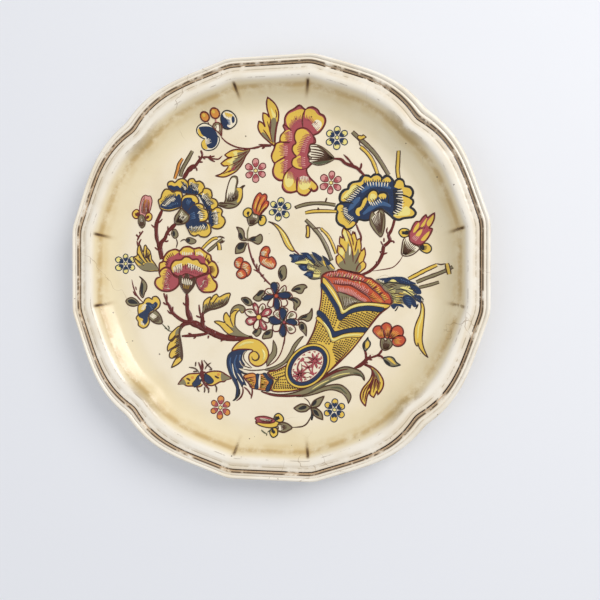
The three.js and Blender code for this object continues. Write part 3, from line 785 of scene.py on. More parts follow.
raise_by = add(brush, "ShaderNodeCombineXYZ", {2: given["Sink"]})
thick = add(
    brush,
    "GeometryNodeExtrudeMesh",
    {"Mesh": laid.outputs[0], "Offset": raise_by.outputs[0], "Offset Scale": 1.0, "Individual": False},
    mode="FACES",
)
lift = add(brush, "ShaderNodeCombineXYZ", {2: high})
raised = add(
    brush,
    "GeometryNodeSetPosition",
    {"Geometry": thick.outputs["Mesh"], "Selection": thick.outputs["Top"], "Offset": lift.outputs[0]},
)
below = add(brush, "GeometryNodeFlipFaces", {"Mesh": laid.outputs[0]})
skin = add(brush, "GeometryNodeJoinGeometry")
brush.links.new(below.outputs[0], skin.inputs[0])
brush.links.new(raised.outputs[0], skin.inputs[0])
body = add(brush, "GeometryNodeMergeByDistance", {"Geometry": skin.outputs[0], "Distance": 4e-7})
flow_out = add(brush, "GeometryNodeRealizeInstances", {"Geometry": body.outputs[0]}).outputs[0]
tone = stored_value(brush, "tone", "INT")
for number, name in enumerate(TONES):
    mine = add(brush, "FunctionNodeCompare", data_type="INT", operation="EQUAL")
    sockets = [s for s in mine.inputs if s.enabled]
    brush.links.new(tone, sockets[0])
    sockets[1].default_value = number
    painted = add(brush, "GeometryNodeSetMaterial", {"Geometry": flow_out, "Selection": mine.outputs[0]})
    painted.inputs["Material"].default_value = enamels[name]
    flow_out = painted.outputs[0]
brush.links.new(flow_out, result["Geometry"])
print("brush tree has", len(brush.nodes), "nodes")

# %% [markdown]
# ## Drawing
#
# A `Motif` collects marks. Paths are written as x and y in turn, in millimetres on the plate, the way a
# painter would prick out a pattern, and a smooth curve is run through them; a point given twice makes a
# sharp corner. `at` is the middle of the motif's CAD node in that drawing, and the marks are laid around
# the middle of the node's box in the frame.


# %% Paths
def path(text):
    numbers = [float(word) for word in text.split()]
    return [Vector(pair) for pair in zip(numbers[::2], numbers[1::2])]


def through(points, closed=False, steps=4):
    """A smooth curve through the points. A doubled point keeps its corner."""
    count = len(points)
    if count < 3 and not closed:
        return [points[0].lerp(points[-1], i / steps) for i in range(steps + 1)]
    out = []
    for i in range(count if closed else count - 1):
        b = points[i]
        c = points[(i + 1) % count]
        if (c - b).length < 1e-6:
            continue
        a = points[i - 1] if closed or i else b
        d = points[(i + 2) % count] if closed or i + 2 < count else c
        for k in range(steps):
            t = k / steps
            one = b * 2 + (c - a) * t
            two = (a * 2 - b * 5 + c * 4 - d) * t**2
            three = (b * 3 - a - c * 3 + d) * t**3
            out.append((one + two + three) / 2)
    return out if closed else out + [points[-1]]


def along(points, share):
    """The point at a share of a path's length."""
    lengths = [(b - a).length for a, b in zip(points, points[1:])]
    target = share * sum(lengths)
    for a, b, length in zip(points, points[1:], lengths):
        if target <= length:
            return a.lerp(b, target / length if length else 0)
        target -= length
    return points[-1].copy()


# %% [markdown]
# ### The marks
#
# `fill` is a shape with an optional outline, `line` a stroke that thins at its ends, `hatch` a row of fine
# strokes from one path towards another, `dots` a few round drops, and `leaf` a pointed leaf with a vein.
# Every call starts a layer, 12 microns above the last, so later marks lie on earlier ones as paint does.


# %% The motif helper
LAYER = 0.012
FIRST_LAYER = 0.05
WEIGHT = 1.3
FLAT_FLOOR = 97.0
CUT = 1.2
rng = random.Random(11)


def cut_to_grid(mesh):
    """Cuts a drawing on one grid of squares, so that all its layers bend alike up the wall."""
    cells = bmesh.new()
    cells.from_mesh(mesh)
    for axis in (0, 1):
        reach = [v.co[axis] / MM for v in cells.verts]
        for step in range(math.ceil(min(reach) / CUT), math.floor(max(reach) / CUT) + 1):
            square = Vector((0, 0, 0))
            square[axis] = 1
            whole = cells.verts[:] + cells.edges[:] + cells.faces[:]
            bmesh.ops.bisect_plane(cells, geom=whole, plane_co=square * step * CUT * MM, plane_no=square)
    cells.to_mesh(mesh)
    cells.free()


class Motif:
    def __init__(self, node, at):
        low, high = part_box(node)
        self.shift = Vector(((low.x + high.x) / 2 / MM - at[0], (low.y + high.y) / 2 / MM - at[1]))
        self.node = node
        self.points = []
        self.edges = []
        self.faces = []
        self.extra = []
        self.layer = 0

    def mark(self, points, widths, tone, closed, is_face):
        first = len(self.points)
        self.points += points
        lift = (FIRST_LAYER + LAYER * self.layer) * MM
        self.extra += [(w * WEIGHT * MM, lift, TONES.index(tone)) for w in widths]
        numbers = list(range(first, first + len(points)))
        if is_face:
            self.faces.append(numbers)
        else:
            self.edges += list(zip(numbers, numbers[1:] + numbers[:1] * closed))

    def fill(self, tone, outline, edge=None, width=0.45, steps=4):
        points = outline if isinstance(outline, list) else through(path(outline), True, steps)
        area = sum(a.cross(b) for a, b in zip(points, points[1:] + points[:1]))
        if area < 0:
            points = points[::-1]
        self.layer += 1
        self.mark(points, [0] * len(points), tone, True, True)
        if edge:
            self.layer += 1
            self.mark(points, [width / 2] * len(points), edge, True, False)

    def line(self, tone, width, *texts, taper=(0.35, 0.35), steps=4):
        self.layer += 1
        for text in texts:
            points = text if isinstance(text, list) else through(path(text), False, steps)
            last = len(points) - 1
            widths = []
            for i in range(last + 1):
                t = i / last
                start = taper[0] + (1 - taper[0]) * min(1, t * 4)
                end = taper[1] + (1 - taper[1]) * min(1, (1 - t) * 4)
                widths.append(width / 2 * min(start, end))
            self.mark(points, widths, tone, False, False)

    def hatches(self, *rows):
        for row in rows:
            self.hatch(*row)
            self.layer -= 1
        self.layer += 1

    def hatch(self, tone, width, base, tip, count, reach=(0.7, 1.0), taper=0.4, lean=0.0):
        self.layer += 1
        roots, ends = (p if isinstance(p, list) else through(path(p)) for p in (base, tip))
        for i in range(count):
            share = (i + 0.5) / count
            a = along(roots, share)
            b = a.lerp(along(ends, min(1, max(0, share + lean))), rng.uniform(*reach))
            self.mark(
                [a, a.lerp(b, 0.55), b],
                [width / 2, width * 0.42, width * taper / 2],
                tone,
                False,
                False,
            )

    def dots(self, tone, radius, text, sides=9, edge=None, width=0.3):
        self.layer += 1
        for spot in path(text):
            ring = [
                spot + Vector((math.cos(a), math.sin(a))) * radius
                for a in (math.tau * i / sides for i in range(sides))
            ]
            self.mark(ring, [0] * sides, tone, True, True)
            if edge:
                self.layer += 1
                self.mark([p.copy() for p in ring], [width / 2] * sides, edge, True, False)
                self.layer -= 1
        self.layer += 1 if edge else 0

    def leaf(self, tone, base, tip, width, bend=0.0, edge=None, vein=None, side=None, line=0.4, belly=0.42):
        a, b = Vector(base), Vector(tip)
        run = b - a
        across = Vector((-run.y, run.x)).normalized()
        spine, left, right = [], [], []
        for i in range(13):
            t = i / 12
            middle = a + run * t + across * bend * 4 * t * (1 - t)
            shape = math.sin(math.pi * t ** (math.log(0.5) / math.log(belly))) ** 0.85 if 0 < t < 1 else 0
            spine.append(middle)
            left.append(middle + across * width / 2 * shape)
            right.append(middle - across * width / 2 * shape)
        self.fill(tone, left + right[-2:0:-1], edge, line)
        if side:
            self.fill(side, left[1:] + spine[-2:0:-1])
        if vein:
            self.line(vein, line, spine[:-1])

    def finish(self, slot):
        mesh = bpy.data.meshes.new(self.node)
        flat = [((p + self.shift) * MM).to_3d() for p in self.points]
        mesh.from_pydata(flat, self.edges, self.faces)
        chains = {frozenset(edge) for edge in self.edges}
        stroke = mesh.attributes.new("stroke", "BOOLEAN", "EDGE")
        for edge in mesh.edges:
            stroke.data[edge.index].value = frozenset(edge.vertices) in chains
        for name, kind, column in (("width", "FLOAT", 0), ("lift", "FLOAT", 1), ("tone", "INT", 2)):
            mesh.attributes.new(name, kind, "POINT").data.foreach_set(
                "value",
                [row[column] for row in self.extra],
            )
        on_wall = max(p.length for p in self.points) > FLAT_FLOOR
        if on_wall:
            cut_to_grid(mesh)
        start = helper_object(self.node + "_start", mesh)
        values = {"Surface": coats["face_glaze"], "Sink": 0.015 * MM, "Wobble": 0.5}
        values["Nib points"] = 5 if on_wall else 2
        piece = grow("painted_" + self.node, start, brush, values)
        bpy.data.objects.remove(start)
        for name in ("stroke", "width", "lift", "tone"):
            if name in piece.data.attributes:
                piece.data.attributes.remove(piece.data.attributes[name])
        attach(piece, "root")
        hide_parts(self.node)
        print(piece.name, len(self.faces), "fills,", len(piece.data.polygons), "faces")


print("motif helper ready")

# %% [markdown]
# ## Small open flowers
#
# The seven florets share one rule: a ring of drop-shaped petals around an eye. They could be copies of one
# flower, but a painter never repeats a flower exactly, so the sizes wander a little.


# %% Florets
def floret(m, middle, radius, outer, inner, edge, turn, count=6, eye="lemon"):
    middle = Vector(middle)
    for k in range(count):
        a = math.radians(turn) + math.tau * k / count
        out = Vector((math.cos(a), math.sin(a)))
        side = Vector((-out.y, out.x))
        size = radius * rng.uniform(0.93, 1.05)
        half = size * rng.uniform(0.25, 0.29)

        def ring(shares):
            return [middle + out * size * r + side * half * w for r, w in shares]

        petal = [(0.28, 0), (0.5, 0.8), (0.78, 1.0), (0.97, 0.5), (1.0, -0.1), (0.88, -0.85), (0.55, -0.85)]
        m.fill(outer, through(ring(petal), True, 3), edge, 0.5)
        m.fill(inner, ring([(0.3, 0), (0.48, 0.7), (0.66, 0.6), (0.58, 0.1), (0.72, -0.4), (0.5, -0.8)]))
        m.layer -= 3
    m.layer += 3
    m.dots(eye, radius * 0.17, f"{middle.x} {middle.y}", edge=edge, width=0.4)


FLORETS = [
    ("floret_crimson_north", (-11.7, 62.6), 7.4, "pink", "rose", "maroon", 30),
    ("floret_crimson_northeast", (36.2, 53.5), 7.2, "pink", "rose", "maroon", 24),
    ("floret_blue_northeast", (39.9, 81.4), 7.4, "lemon", "navy", "navy", 28),
    ("floret_blue_centre", (3.7, 37.8), 7.2, "lemon", "navy", "navy", 20),
    ("floret_blue_west", (-99.0, 4.4), 6.8, "lemon", "navy", "navy", 30),
    ("floret_orange_south", (-34.9, -88.3), 7.2, "orange", "rose", "maroon", 26),
    ("floret_yellow_south", (38.4, -87.6), 7.2, "yellow", "navy", "navy", 26),
]
for node, at, radius, outer, inner, edge, turn in FLORETS:
    m = Motif(node, at)
    floret(m, at, radius, outer, inner, edge, turn)
    m.finish({"maroon": "enamel_rose", "navy": "enamel_blue"}[edge])

# %% [markdown]
# ## Top left: berries, a blue bud and two leaves
#
# These leaves have rounded lobes, not a plain pointed outline, so each is one drawn outline with the shaded
# half and the veins laid over it.

# %% Blue bud with berries
m = Motif("bud_blue_northwest", (-36.8, 89.7))
m.line("maroon", 0.5, "-43 95 -42 93 -40.6 91.2", "-38 96.4 -38 93.6")
m.line("pink", 0.9, "-37.6 96 -37.2 93")
heart = (
    "-39.5 91 -43 93.4 -46.5 93.7 -49.8 91.4 -50.2 88.3 -47.8 85.4 -45 84 -45 84 -46.9 82 -47 79.2 -45 77"
)
heart += " -41 76.7 -37.6 78.3 -35.5 82 -35.7 84.7 -37 86"
m.fill("cream", heart, "black", 0.55)
m.fill(
    "navy",
    "-40 91 -44 92 -48.6 91.5 -48.3 89 -46.8 86.5 -44 84.8 -44.3 81.5 -43 78.5 -40 77.9 -37.3 80 -36.4 "
    "84 -37.2 87.5",
)
m.fill("yellow", "-49.7 89.8 -48.8 90.6 -47.4 87.5 -45.8 85.6 -48.6 86.4")
m.fill("yellow", "-46.9 82 -45 83.8 -44.6 81.4 -43.2 77.6 -45.8 77.9 -46.9 80")
m.hatch("cream", 0.35, "-44.8 83.4 -44.2 80.2", "-41.5 85 -40.6 81.4", 6)
m.dots("orange", 2.7, "-44.3 97.5", 14, "maroon", 0.7)
m.dots("orange", 2.9, "-37.8 99.5", 14, "maroon", 0.7)
m.dots("yellow", 1.0, "-44.8 98.3 -38.6 100.4")
disc = "-34.2 97.5 -32 100.6 -28.5 100.8 -25.4 98.6 -23.9 95 -25.2 91.8 -28.8 89.7 -32.4 90.4 -33.9 93.5"
m.fill("cream", disc, "black", 0.6)
m.fill("navy", "-34 97.5 -33.2 99.3 -32.2 97.4 -30.4 96 -29.4 93.6 -30.2 91.6 -28 90 -32 90.6 -33.6 93.6")
m.fill("navy", "-27 97.8 -25.5 97 -25.3 94.4 -26.6 93.2 -27.3 95.5")
m.hatch("yellow", 0.6, "-31.8 100.2 -26.5 98.8", "-30.6 96.6 -27 96.2", 6)
m.hatch("blue", 0.4, "-30.5 96 -29.5 92", "-28 95.6 -27.5 92.6", 6)
m.fill(
    "olive",
    "-39.4 91.2 -38.6 93.8 -35.6 93.9 -33.8 91.5 -33.8 88 -34 85.3 -34 85.3 -35.6 87.4",
    "maroon",
    0.55,
)
m.fill("cream", "-38.2 91.4 -36 92.6 -35.4 89.8 -36.4 88.6")
m.line("maroon", 0.4, "-38.4 93.6 -37.4 91.6 -37.9 89.7", "-35.4 93.6 -35.2 90 -34.2 86.5")
m.finish("enamel_blue")

# %% Leaf and stem below it
m = Motif("leaf_northwest", (-19.7, 72.3))
leaf = (
    "-15.4 76.2 -19.6 75.8 -24 76.5 -28 75.7 -31.9 73.3 -31.9 73.3 -29.6 71.6 -27 71.7 -30.6 70.6 -34.4 "
    "68"
)
leaf += (
    " -34.4 68 -32.5 66.3 -29.5 66.2 -31.5 63.2 -34.5 61.2 -38 60.1 -38 60.1 -33 59.2 -29 60.2 -24 62.9 "
    "-20.4 67.4 -18.2 72"
)
m.fill("yellow", leaf, "maroon", 0.7)
m.fill("lemon", "-24 75.4 -26.6 74.6 -25.4 72.8 -28 70.4 -30.6 69 -28 67.6 -28.8 65 -26.2 66 -23.4 72")
m.fill(
    "olive",
    "-15.9 75.7 -20 74.9 -23.6 74.3 -23.2 72 -25.2 70 -26.8 68.6 -26 66.6 -27.6 65 -26.8 62.9 -24 63.6 "
    "-20.6 68 -18.6 72.2",
)
m.line(
    "maroon",
    0.5,
    "-16.4 75.4 -21.5 73 -27.5 71.5",
    "-18 73.4 -22.6 69 -29.4 66.2",
    "-19.8 69.6 -25 64.8 -33 61.2",
)
m.line(
    "maroon",
    0.35,
    "-17.4 74.4 -22.4 71.4 -26 70.4",
    "-19 71.4 -24 67.2 -27.8 66",
    "-21 68 -25.4 64 -29.5 62",
)
m.line("rose", 0.5, "-24.6 66.4 -27.6 63.8", "-25 64.8 -28.4 62.6")
m.line("maroon", 0.75, "-34 84.6 -31 81.6 -27 79.2 -22 77.4 -15.4 76.7 -9 77.8 -1.8 77.8", taper=(0.7, 1))
m.line("maroon", 0.9, "-9.8 79 -5.5 78.6 -1 78.2", "-14 76.6 -8.5 77.6", "-7.6 76.4 -5.6 77.4")
m.finish("enamel_yellow")

# %% Upright leaf at the top
m = Motif("leaf_north", (-3.8, 91.4))
leaf = (
    "-0.6 78.4 -4.4 81.6 -8.6 86 -10.2 90 -9.6 93.8 -9.6 93.8 -7.2 92.4 -5.6 90.2 -7 95 -7 98.9 -7 98.9 "
    "-4.6 98 -2.9 96.2"
)
leaf += " -4.2 101 -4.4 105 -3.4 107.6 -3.4 107.6 0.6 104.4 2.8 100 3 95 1.9 90 1 84 0.6 78.4"
m.fill("yellow", leaf, "maroon", 0.75)
m.fill("lemon", "-2 102 0 99 1.6 96.4 0.6 94.6 -1 97")
m.fill("olive", "-0.2 79.6 -2.2 86 -2.5 91 -1.6 94.4 0.2 95.6 1.7 93.4 1.2 88 0.4 84")
m.fill("olive", "-1.4 80.4 -4.2 84 -6.6 86.6 -8 85.8 -5 82.6")
m.line(
    "maroon",
    0.55,
    "-0.5 79 -1.8 84 -2.6 90 -2.2 94",
    "-1.4 80.2 -4.8 85.6 -6.8 88.4",
    "0.2 80 1 87 2 93",
)
m.line("maroon", 0.45, "-2.6 96.6 -1.8 92 -2.2 87", "-4.2 93.6 -3 89 -2.4 86", "1 100.5 1.8 97.5 1.2 95")
m.finish("enamel_yellow")

# %% [markdown]
# ## The large carnation at the top
#
# A carnation seen from the side is a heap of scalloped petals. The whole head is laid in rose first, each
# petal's yellow edge goes over it, and then rose and cream strokes are pulled across the join, which is how
# the painter turns one colour into the other.

# %% Rose carnation with its striped calyx and thorny stem
m = Motif("carnation_rose_north", (27.8, 73.8))
head = (
    "20 99.6 16.5 102.3 13 100.4 9.5 98.7 7.2 95.3 7 91.6 6.1 90 7.2 87.1 4.6 84.2 3.8 80.3 1.5 79 0 "
    "75.5 -1.4 72"
)
head += (
    " -0.7 68.6 0.6 66.4 -0.6 62.6 0.2 58.6 3 56.1 5.8 55.4 5.5 51.8 7.5 48.8 11 48 14.8 48.7 17 46.7 "
    "20.5 46 23 48"
)
head += (
    " 24.2 50 24.8 48.6 27 49 27.9 51 26 54 23 57 21.3 60 21 62.5 22.8 64.5 24.3 66.5 22 70 22.5 74 23.2 "
    "77.6"
)
head += " 26.2 78.6 26.3 81 25.2 83.3 28.5 84.8 31.3 88 32.9 92 31.8 95.2 29.3 96.7 28 99 25 100.7 22 100.6"
m.fill("rose", head, "maroon", 0.85)
YELLOWS = [
    "19.4 99 16.5 99.9 13 98.9 9.5 97.3 8 94.6 8.3 91.5 9.8 88.8 11.4 88.4 12.4 91 14.4 93 17 94 18.4 93",
    "20.3 99 23 99.9 26 98.7 28 96.2 31 94.4 31.9 92 31 89 28.6 86.2 27 87 25 90.4 22.4 93.5 20 94.6",
    "4.8 83.5 7.4 86.6 10.2 87.4 10.4 84 9.6 81.4 7.5 80.5 4.8 80.7",
    "1.8 78.6 4 79.4 6 79.2 7 76.5 7 73 6 70.7 3 68.8 0.9 67.6 -0.7 69.6 -0.6 72.5 0.8 75.5",
    "1.3 66.4 4 68.2 6.8 69.2 6.6 65.5 6.1 62 6.2 59.5 5.8 57 3.8 56.9 1.2 58.8 0.2 62",
    "7.2 59.8 9.6 61.4 12.4 60.2 13.6 57.5 14.1 53 14.2 49.7 11 48.9 8.1 49.9 6.4 52.6 6.3 56",
    "15.4 49.2 15.6 53 16.2 56 19 56.4 22.3 55.8 24.4 54.6 27 52 26.8 50.2 25 49.5 23.8 51 22.6 48.6 "
    "20.2 46.8 17.3 47.4",
    "13.9 84.5 15.1 86.8 17.5 87.7 20 87.2 22 85.4 23 83.4 21 82.5 19.5 80.5 18.6 78 17.4 75.5 16.6 73 "
    "15.2 71.4 14.4 71 12.7 73.2 12.3 76 13.6 78.2 14.5 79 13.8 81.5",
    "14.3 70.2 12.2 68.5 12 66 13.2 64.3 15.5 63.2 18 63 17.4 66 17.6 69 16.8 71",
]
for petal in YELLOWS:
    m.fill("yellow", petal)
    m.layer -= 1
m.layer += 1
m.fill("lemon", "7.2 58 9 60.2 12 59 12.4 54 9.6 51.4 7.4 53.6")
m.fill("lemon", "16.2 55 20 55.6 23.6 54 22 50.6 18.6 49.6 16.4 51.4")
m.fill("cream", "24.8 89.8 27 93 30 91.6 30.2 88.8 28 87")
SHADES = [
    ("rose", 0.5, "10.8 87.4 14.5 91.6 18.2 92.6", "9.4 91 12.6 95.6 17.6 97", 11),
    ("rose", 0.5, "20 93 22.8 92.4 25.4 89 27 86", "20.6 96.6 24.4 95 28 91.4 30.4 88.6", 12),
    ("cream", 0.4, "24 90.4 26 87.8 27.6 85.6", "27.4 92.6 29 90 30.2 88", 7),
    ("rose", 0.5, "10 87 10.6 83 9.8 80.6", "6 85.4 6.6 83.4 6.4 81.4", 7),
    ("pink", 0.4, "11.4 87 12 83 11.4 80", "8.4 86 8.8 83 8.4 80.8", 6),
    ("rose", 0.5, "7.4 79 8 75 7.4 71.4", "2.8 78 3.4 74.6 3 71", 8),
    ("pink", 0.45, "8.6 78 9 75 8.6 71", "5.4 77 5.6 74 5.4 71.4", 6),
    ("rose", 0.5, "7.6 69 7.4 64 7.4 60", "3.4 66.4 4 63.4 4.4 60.4", 8),
    ("pink", 0.45, "9 69 8.6 65 8.6 61", "5.8 67.6 5.8 64 6 61", 6),
    ("rose", 0.5, "9 61.8 12.4 61 14.2 58", "8.4 57 11 56 13.4 53.4", 8),
    ("rose", 0.5, "15.6 57 19 57.6 23.4 56", "16.4 52.6 19.6 53 24.4 53.4", 9),
    ("cream", 0.45, "16.4 57.6 19 58.4 22 57.4", "16.8 54.6 19.6 54.6 22.6 54.8", 6),
    ("rose", 0.5, "23.6 84 20.4 80.6 18.6 76 17.4 72.6", "20 85 17.2 81.6 15 77 14.8 73.4", 12),
    ("pink", 0.4, "24 82.6 21.8 79.6 20.6 76 19.6 72.6", "21.4 83.4 18.8 80.4 17.6 76.6 17 73", 9),
    ("rose", 0.5, "18.4 70.6 18.4 67 19 63.2", "14.6 69 14.4 66.8 15.4 64.4", 7),
    ("pink", 0.4, "20 70.4 20 67 20.4 64", "17.2 69.6 17 67 17.8 64.4", 5),
]
m.hatches(*[shade for shade in SHADES if shade[0] == "rose"])
m.hatches(*[shade for shade in SHADES if shade[0] != "rose"])
m.line(
    "maroon",
    0.7,
    "20 99.6 18.7 96.5 18.3 92 18.7 88.4",
    "25.4 78.6 25.4 82.4 23.4 85.6 20.6 87.9 17.6 88.3 14.8 87.2 13.4 84.6 13.4 81.5 14.2 79 12.3 77.4 "
    "11.9 74.6 13.2 72 14.4 70.6 12.2 69 11.6 66 13 64 15.6 62.7 18.5 62.4 21.8 63.4",
    "3.8 80.1 7 79.8 10.6 79.4",
    "0.8 67 4 69 7.6 70.8",
    "5.8 55.6 6.6 58.6 9 62 12.4 64.6",
    "14.8 48.8 14.6 53 15.2 57.6",
    "6.5 91 8.5 89.6 11.4 86.8",
)
m.line(
    "brown",
    0.5,
    "13.6 94.4 14.6 93.8",
    "23.6 95.2 24.4 94.8",
    "25.8 91.2 26.8 91.8",
    "22.2 50.6 23.6 49.4",
)
calyx = (
    "23.6 77.6 28 77.2 32 75 35.5 72 38.3 68.6 36 66.7 32 65.1 28 64.7 24.2 65.9 22.4 67.6 24 69.4 21.8 "
    "71.4 23.4 73.8 23.1 75.8"
)
m.fill("cream", calyx, "brown", 0.5)
m.fill("olive", "27.6 77 32 74.9 35.4 71.9 38 68.6 35.8 67 31 65.6 28.6 66.6 32.4 69 32.4 72 28.8 75")
m.fill("moss", "24.6 66.2 28 65.1 32 65.5 36 67.1 30 67.2 26 67.2")
stripes = []
for k in range(7):
    left = 76.6 - 1.65 * k
    root = 23.6 - 0.5 * (k % 3)
    belly = left - 1.2 + 0.22 * k * (k - 3) / 2
    stripes.append(f"{root} {left} 30 {belly:.2f} 35 {70.6 - 0.45 * k:.2f} 38 68.6")
m.line("brown", 0.75, *stripes, taper=(0.5, 0.4))
m.line("maroon", 1.5, "38 68.4 42.4 67.8 45 65.4 48.6 63.7 52.2 62.2 55 59.4 57 57.4", taper=(0.5, 0.6))
m.line("maroon", 0.9, "44 70.8 46.6 68.2 48.8 65.4 50.6 63", "55 65.2 54.8 62.8 53.6 60.8", taper=(0.2, 1))
m.finish("enamel_rose")

# %% [markdown]
# ## Upper right: the blue carnation and its neighbours
#
# The sticks are drawn as a dark stroke with a lighter, narrower one inside it. That gives a twig with two
# dark sides in two strokes, where an outline would need a closed shape for each.


# %% Sticks and berries, used all over the plate
def stick(m, text, tone, width=2.0, edge="brown"):
    m.line(edge, width, text, taper=(0.85, 0.85))
    m.line(tone, width * 0.52, text, taper=(0.9, 0.9))


def berry(m, outline, shade, strokes, edge="black"):
    """A yellow berry with a dark side and fine strokes from it."""
    m.fill("yellow", outline, edge, 0.6)
    m.fill(edge, shade)
    m.hatch(edge, 0.45, strokes[0], strokes[1], 4)


# %% Blue carnation on the right
m = Motif("carnation_blue_east", (63.5, 39.0))
head = (
    "56.5 57.6 59.4 57.3 60.6 56.4 62.6 57.9 65 58.2 66.8 57 67.8 55.7 69.6 57 72 56.4 74 54.4 75.2 52.6 "
    "76 53.9 78 54.9"
)
head += (
    " 80.4 53.6 81.4 50.6 84.6 49.6 86.3 47 86 44.4 85 42.8 86.3 41.6 86.4 39.6 85 37.4 86.8 36 88 33.6 "
    "86.4 31.3 83.4 30.9"
)
head += (
    " 80.4 30.5 78 29.6 75 30.3 72.6 32.4 70 34.6 67.6 36.6 65.4 36.6 62 34.6 60.2 30.6 57 29.7 53.4 "
    "30.4 51.6 28 48.6 25.2 46 24.4"
)
head += (
    " 44 26.1 41.2 27.6 39.6 30 39.6 33 40 35.2 38.8 36.8 40.2 39.6 42 40.9 41.4 43.6 42 46.6 44 48.9 "
    "46.5 49.6 47.2 52 49.6 53.6 53.4 54.3 54.6 56.5"
)
m.fill("navy", head, "black", 0.95)
m.line("blue", 2.2, "55 47 60 51 67 51.4 73 49", "56 33.6 61 37.6 67 40 73 38", "47 36 51 41 54 44")
PETALS = [
    "42.5 42.6 44.4 41.8 46.4 43 48.6 45.2 51.6 48.4 54.8 51.2 56.5 52.6 58.6 53.4 62 53.6 65.6 53.2 "
    "68.6 53 71.4 52.8 73 53.6 72 55.4 70.4 56 68.6 54.8 67.4 54.4 66.4 56.2 64.6 57.2 62.4 56.7 60.8 "
    "55.6 59.2 56.4 56.8 56.7 55.6 54.8 54.2 53.4 50 52.8 48.2 51.2 47.4 49 45.2 48.2 43 46",
    "41 39.4 43.6 39.4 43.8 36 44.4 33 46 30.8 48.4 29.6 51 28.8 50.4 27 48.4 25.7 46 25.2 44.4 27 41.8 "
    "28.4 40.4 30.6 40.4 33.2 41 35.4 40 37.2",
    "75.8 51.6 76.4 53.2 78 54 80 53 80.7 50.8 81 49.6 84 48.8 85.4 46.8 85.2 44.6 84 43.4 84.4 42.2 "
    "85.6 41.2 85.6 39.6 84 37.2 86 35.4 87.1 33.6 85.8 32 83 31.7 80 31.3 77.8 30.6 75.8 31.2 74.4 "
    "32.6 77 33.8 79.4 35.8 79.6 38.2 80 41 79.6 43.6 80.4 46 79.4 47.8 77 49 75 50",
    "51.4 35 52.2 37.2 54.4 38.2 55.4 40.2 56.4 43 58 43.8 58.4 42.4 57.6 40 56 37.2 53.8 35.2 54 32.6 "
    "52.2 33.2",
    "58.8 42.4 59.4 45.4 61 47.4 63 47.7 64.6 46.2 64.6 44 63.4 42.4 62.2 41 60.4 41",
    "65.4 44.8 66.6 45.8 69 46 70.2 44.8 69.6 43 67.8 42.6 66 43.4",
]
for petal in PETALS:
    m.fill("yellow", petal)
    m.layer -= 1
m.layer += 1
m.fill("lemon", "43 43.4 47 44.6 50.6 48.2 53.6 51 50 51.4 46 47.4")
m.fill("lemon", "74.8 32.4 79 32.2 84 32.6 84.4 36 82 38 79.6 36")
m.fill("lemon", "60.4 42 62.4 42.6 64 44 62.6 46 60.6 45.6")
m.hatches(
    ("navy", 0.6, "47 41.6 50.6 45.6 54.6 50.6", "43.8 43.4 47.4 47.2 52 52.2", 11),
    ("navy", 0.6, "56 51.4 62 52.4 68 52 72.6 51.4", "56 54.6 62 55.4 68 54.6 72 54", 12),
    ("navy", 0.6, "45.4 38.4 46.4 34 50.6 30.6", "42.2 38 42.6 32.6 47.6 27", 12),
    ("black", 0.7, "74 48.6 74.6 43 74.6 37 73.6 33.6", "80 49.4 81.4 43.6 81.4 37 77.4 32.2", 13),
    ("navy", 0.5, "57 35.6 60.6 39.6 66 41.6 70 42", "55 37.4 59.4 42.6 65 44 69.4 44", 12),
)
m.hatches(
    ("cream", 0.5, "44.6 41.4 49 45.8 55 51.6", "48 41 52 44.8 57.4 49.8", 9),
    ("cream", 0.5, "57.6 53 63 53.2 72 52.4", "58.4 50.4 63.6 50.4 71.4 49.8", 8),
    ("cream", 0.45, "43.8 38 44.6 33.4 49 29.6", "46.4 38.2 47.4 34.4 51 31.4", 9),
    ("cream", 0.6, "79.8 48.4 80.4 42 80 36.4 75.8 33", "75.4 48 75.8 42.6 75.6 37.6 73.6 34.4", 10),
    ("cream", 0.45, "59 41.6 62 40.8 66.4 43", "60.4 39.2 63 38.4 68 40.6", 6),
)
m.line(
    "black",
    0.8,
    "39.2 39 42 40.6 46 41.4 50 40.4",
    "50.8 34.6 51.4 37.6 54 39 55.6 42.4 57.6 44.5 59.6 46.8 62 48.5 64.6 47.6 65.2 45.6 67 46.9 70.4 "
    "46.2 71.6 43 71.4 40",
    "75 45 80 44.8 84.8 42.8",
    "74.6 41 79.6 40.6",
    "67.6 55.8 67.2 53.4",
    "75 52.6 74.8 50.2",
)
calyx = (
    "60.2 31.6 60.6 27.4 63 23.4 65.4 20.6 67 19.5 68.4 22 69.3 26.6 69.3 31.6 68.4 35 66.6 36.2 65.2 "
    "34.8 63.6 33 61.6 35"
)
m.fill("olive", calyx, "brown", 0.55)
m.hatch("cream", 0.6, "61.2 31 63.6 33.4 66.4 34.6", "65.6 22.6 66 22.4 66.8 22.2", 6, (0.5, 0.8))
m.hatch("brown", 0.5, "60.8 30 63.4 32.4 66 35 68.8 33", "66 20.8 66.6 20.6 67.4 21.4", 9, (0.8, 1.0))
m.finish("enamel_blue")

# %% Sticks above it, and the short one
m = Motif("sticks_blue_north", (61.2, 71.4))
stick(m, "49.4 84.6 53.4 80.6 58 76.4 63 71 67.4 64.4 71.6 57.2", "olive", 2.3)
stick(m, "54.4 75.2 58.4 71.4 62 66 64.8 58.4", "yellow", 2.1)
stick(m, "77.6 71.6 77.2 64 77 60 77.6 55.4", "yellow", 2.2)
m.line("brown", 0.5, "53.6 79 54 76.6 55 75.6")
m.fill(
    "yellow",
    "52.6 81 53.6 82.2 55.4 81.8 56 82.6 56 82.6 58 81 58 81 56.6 80.2 54.2 79.4",
    "brown",
    0.5,
)
m.finish("enamel_olive")

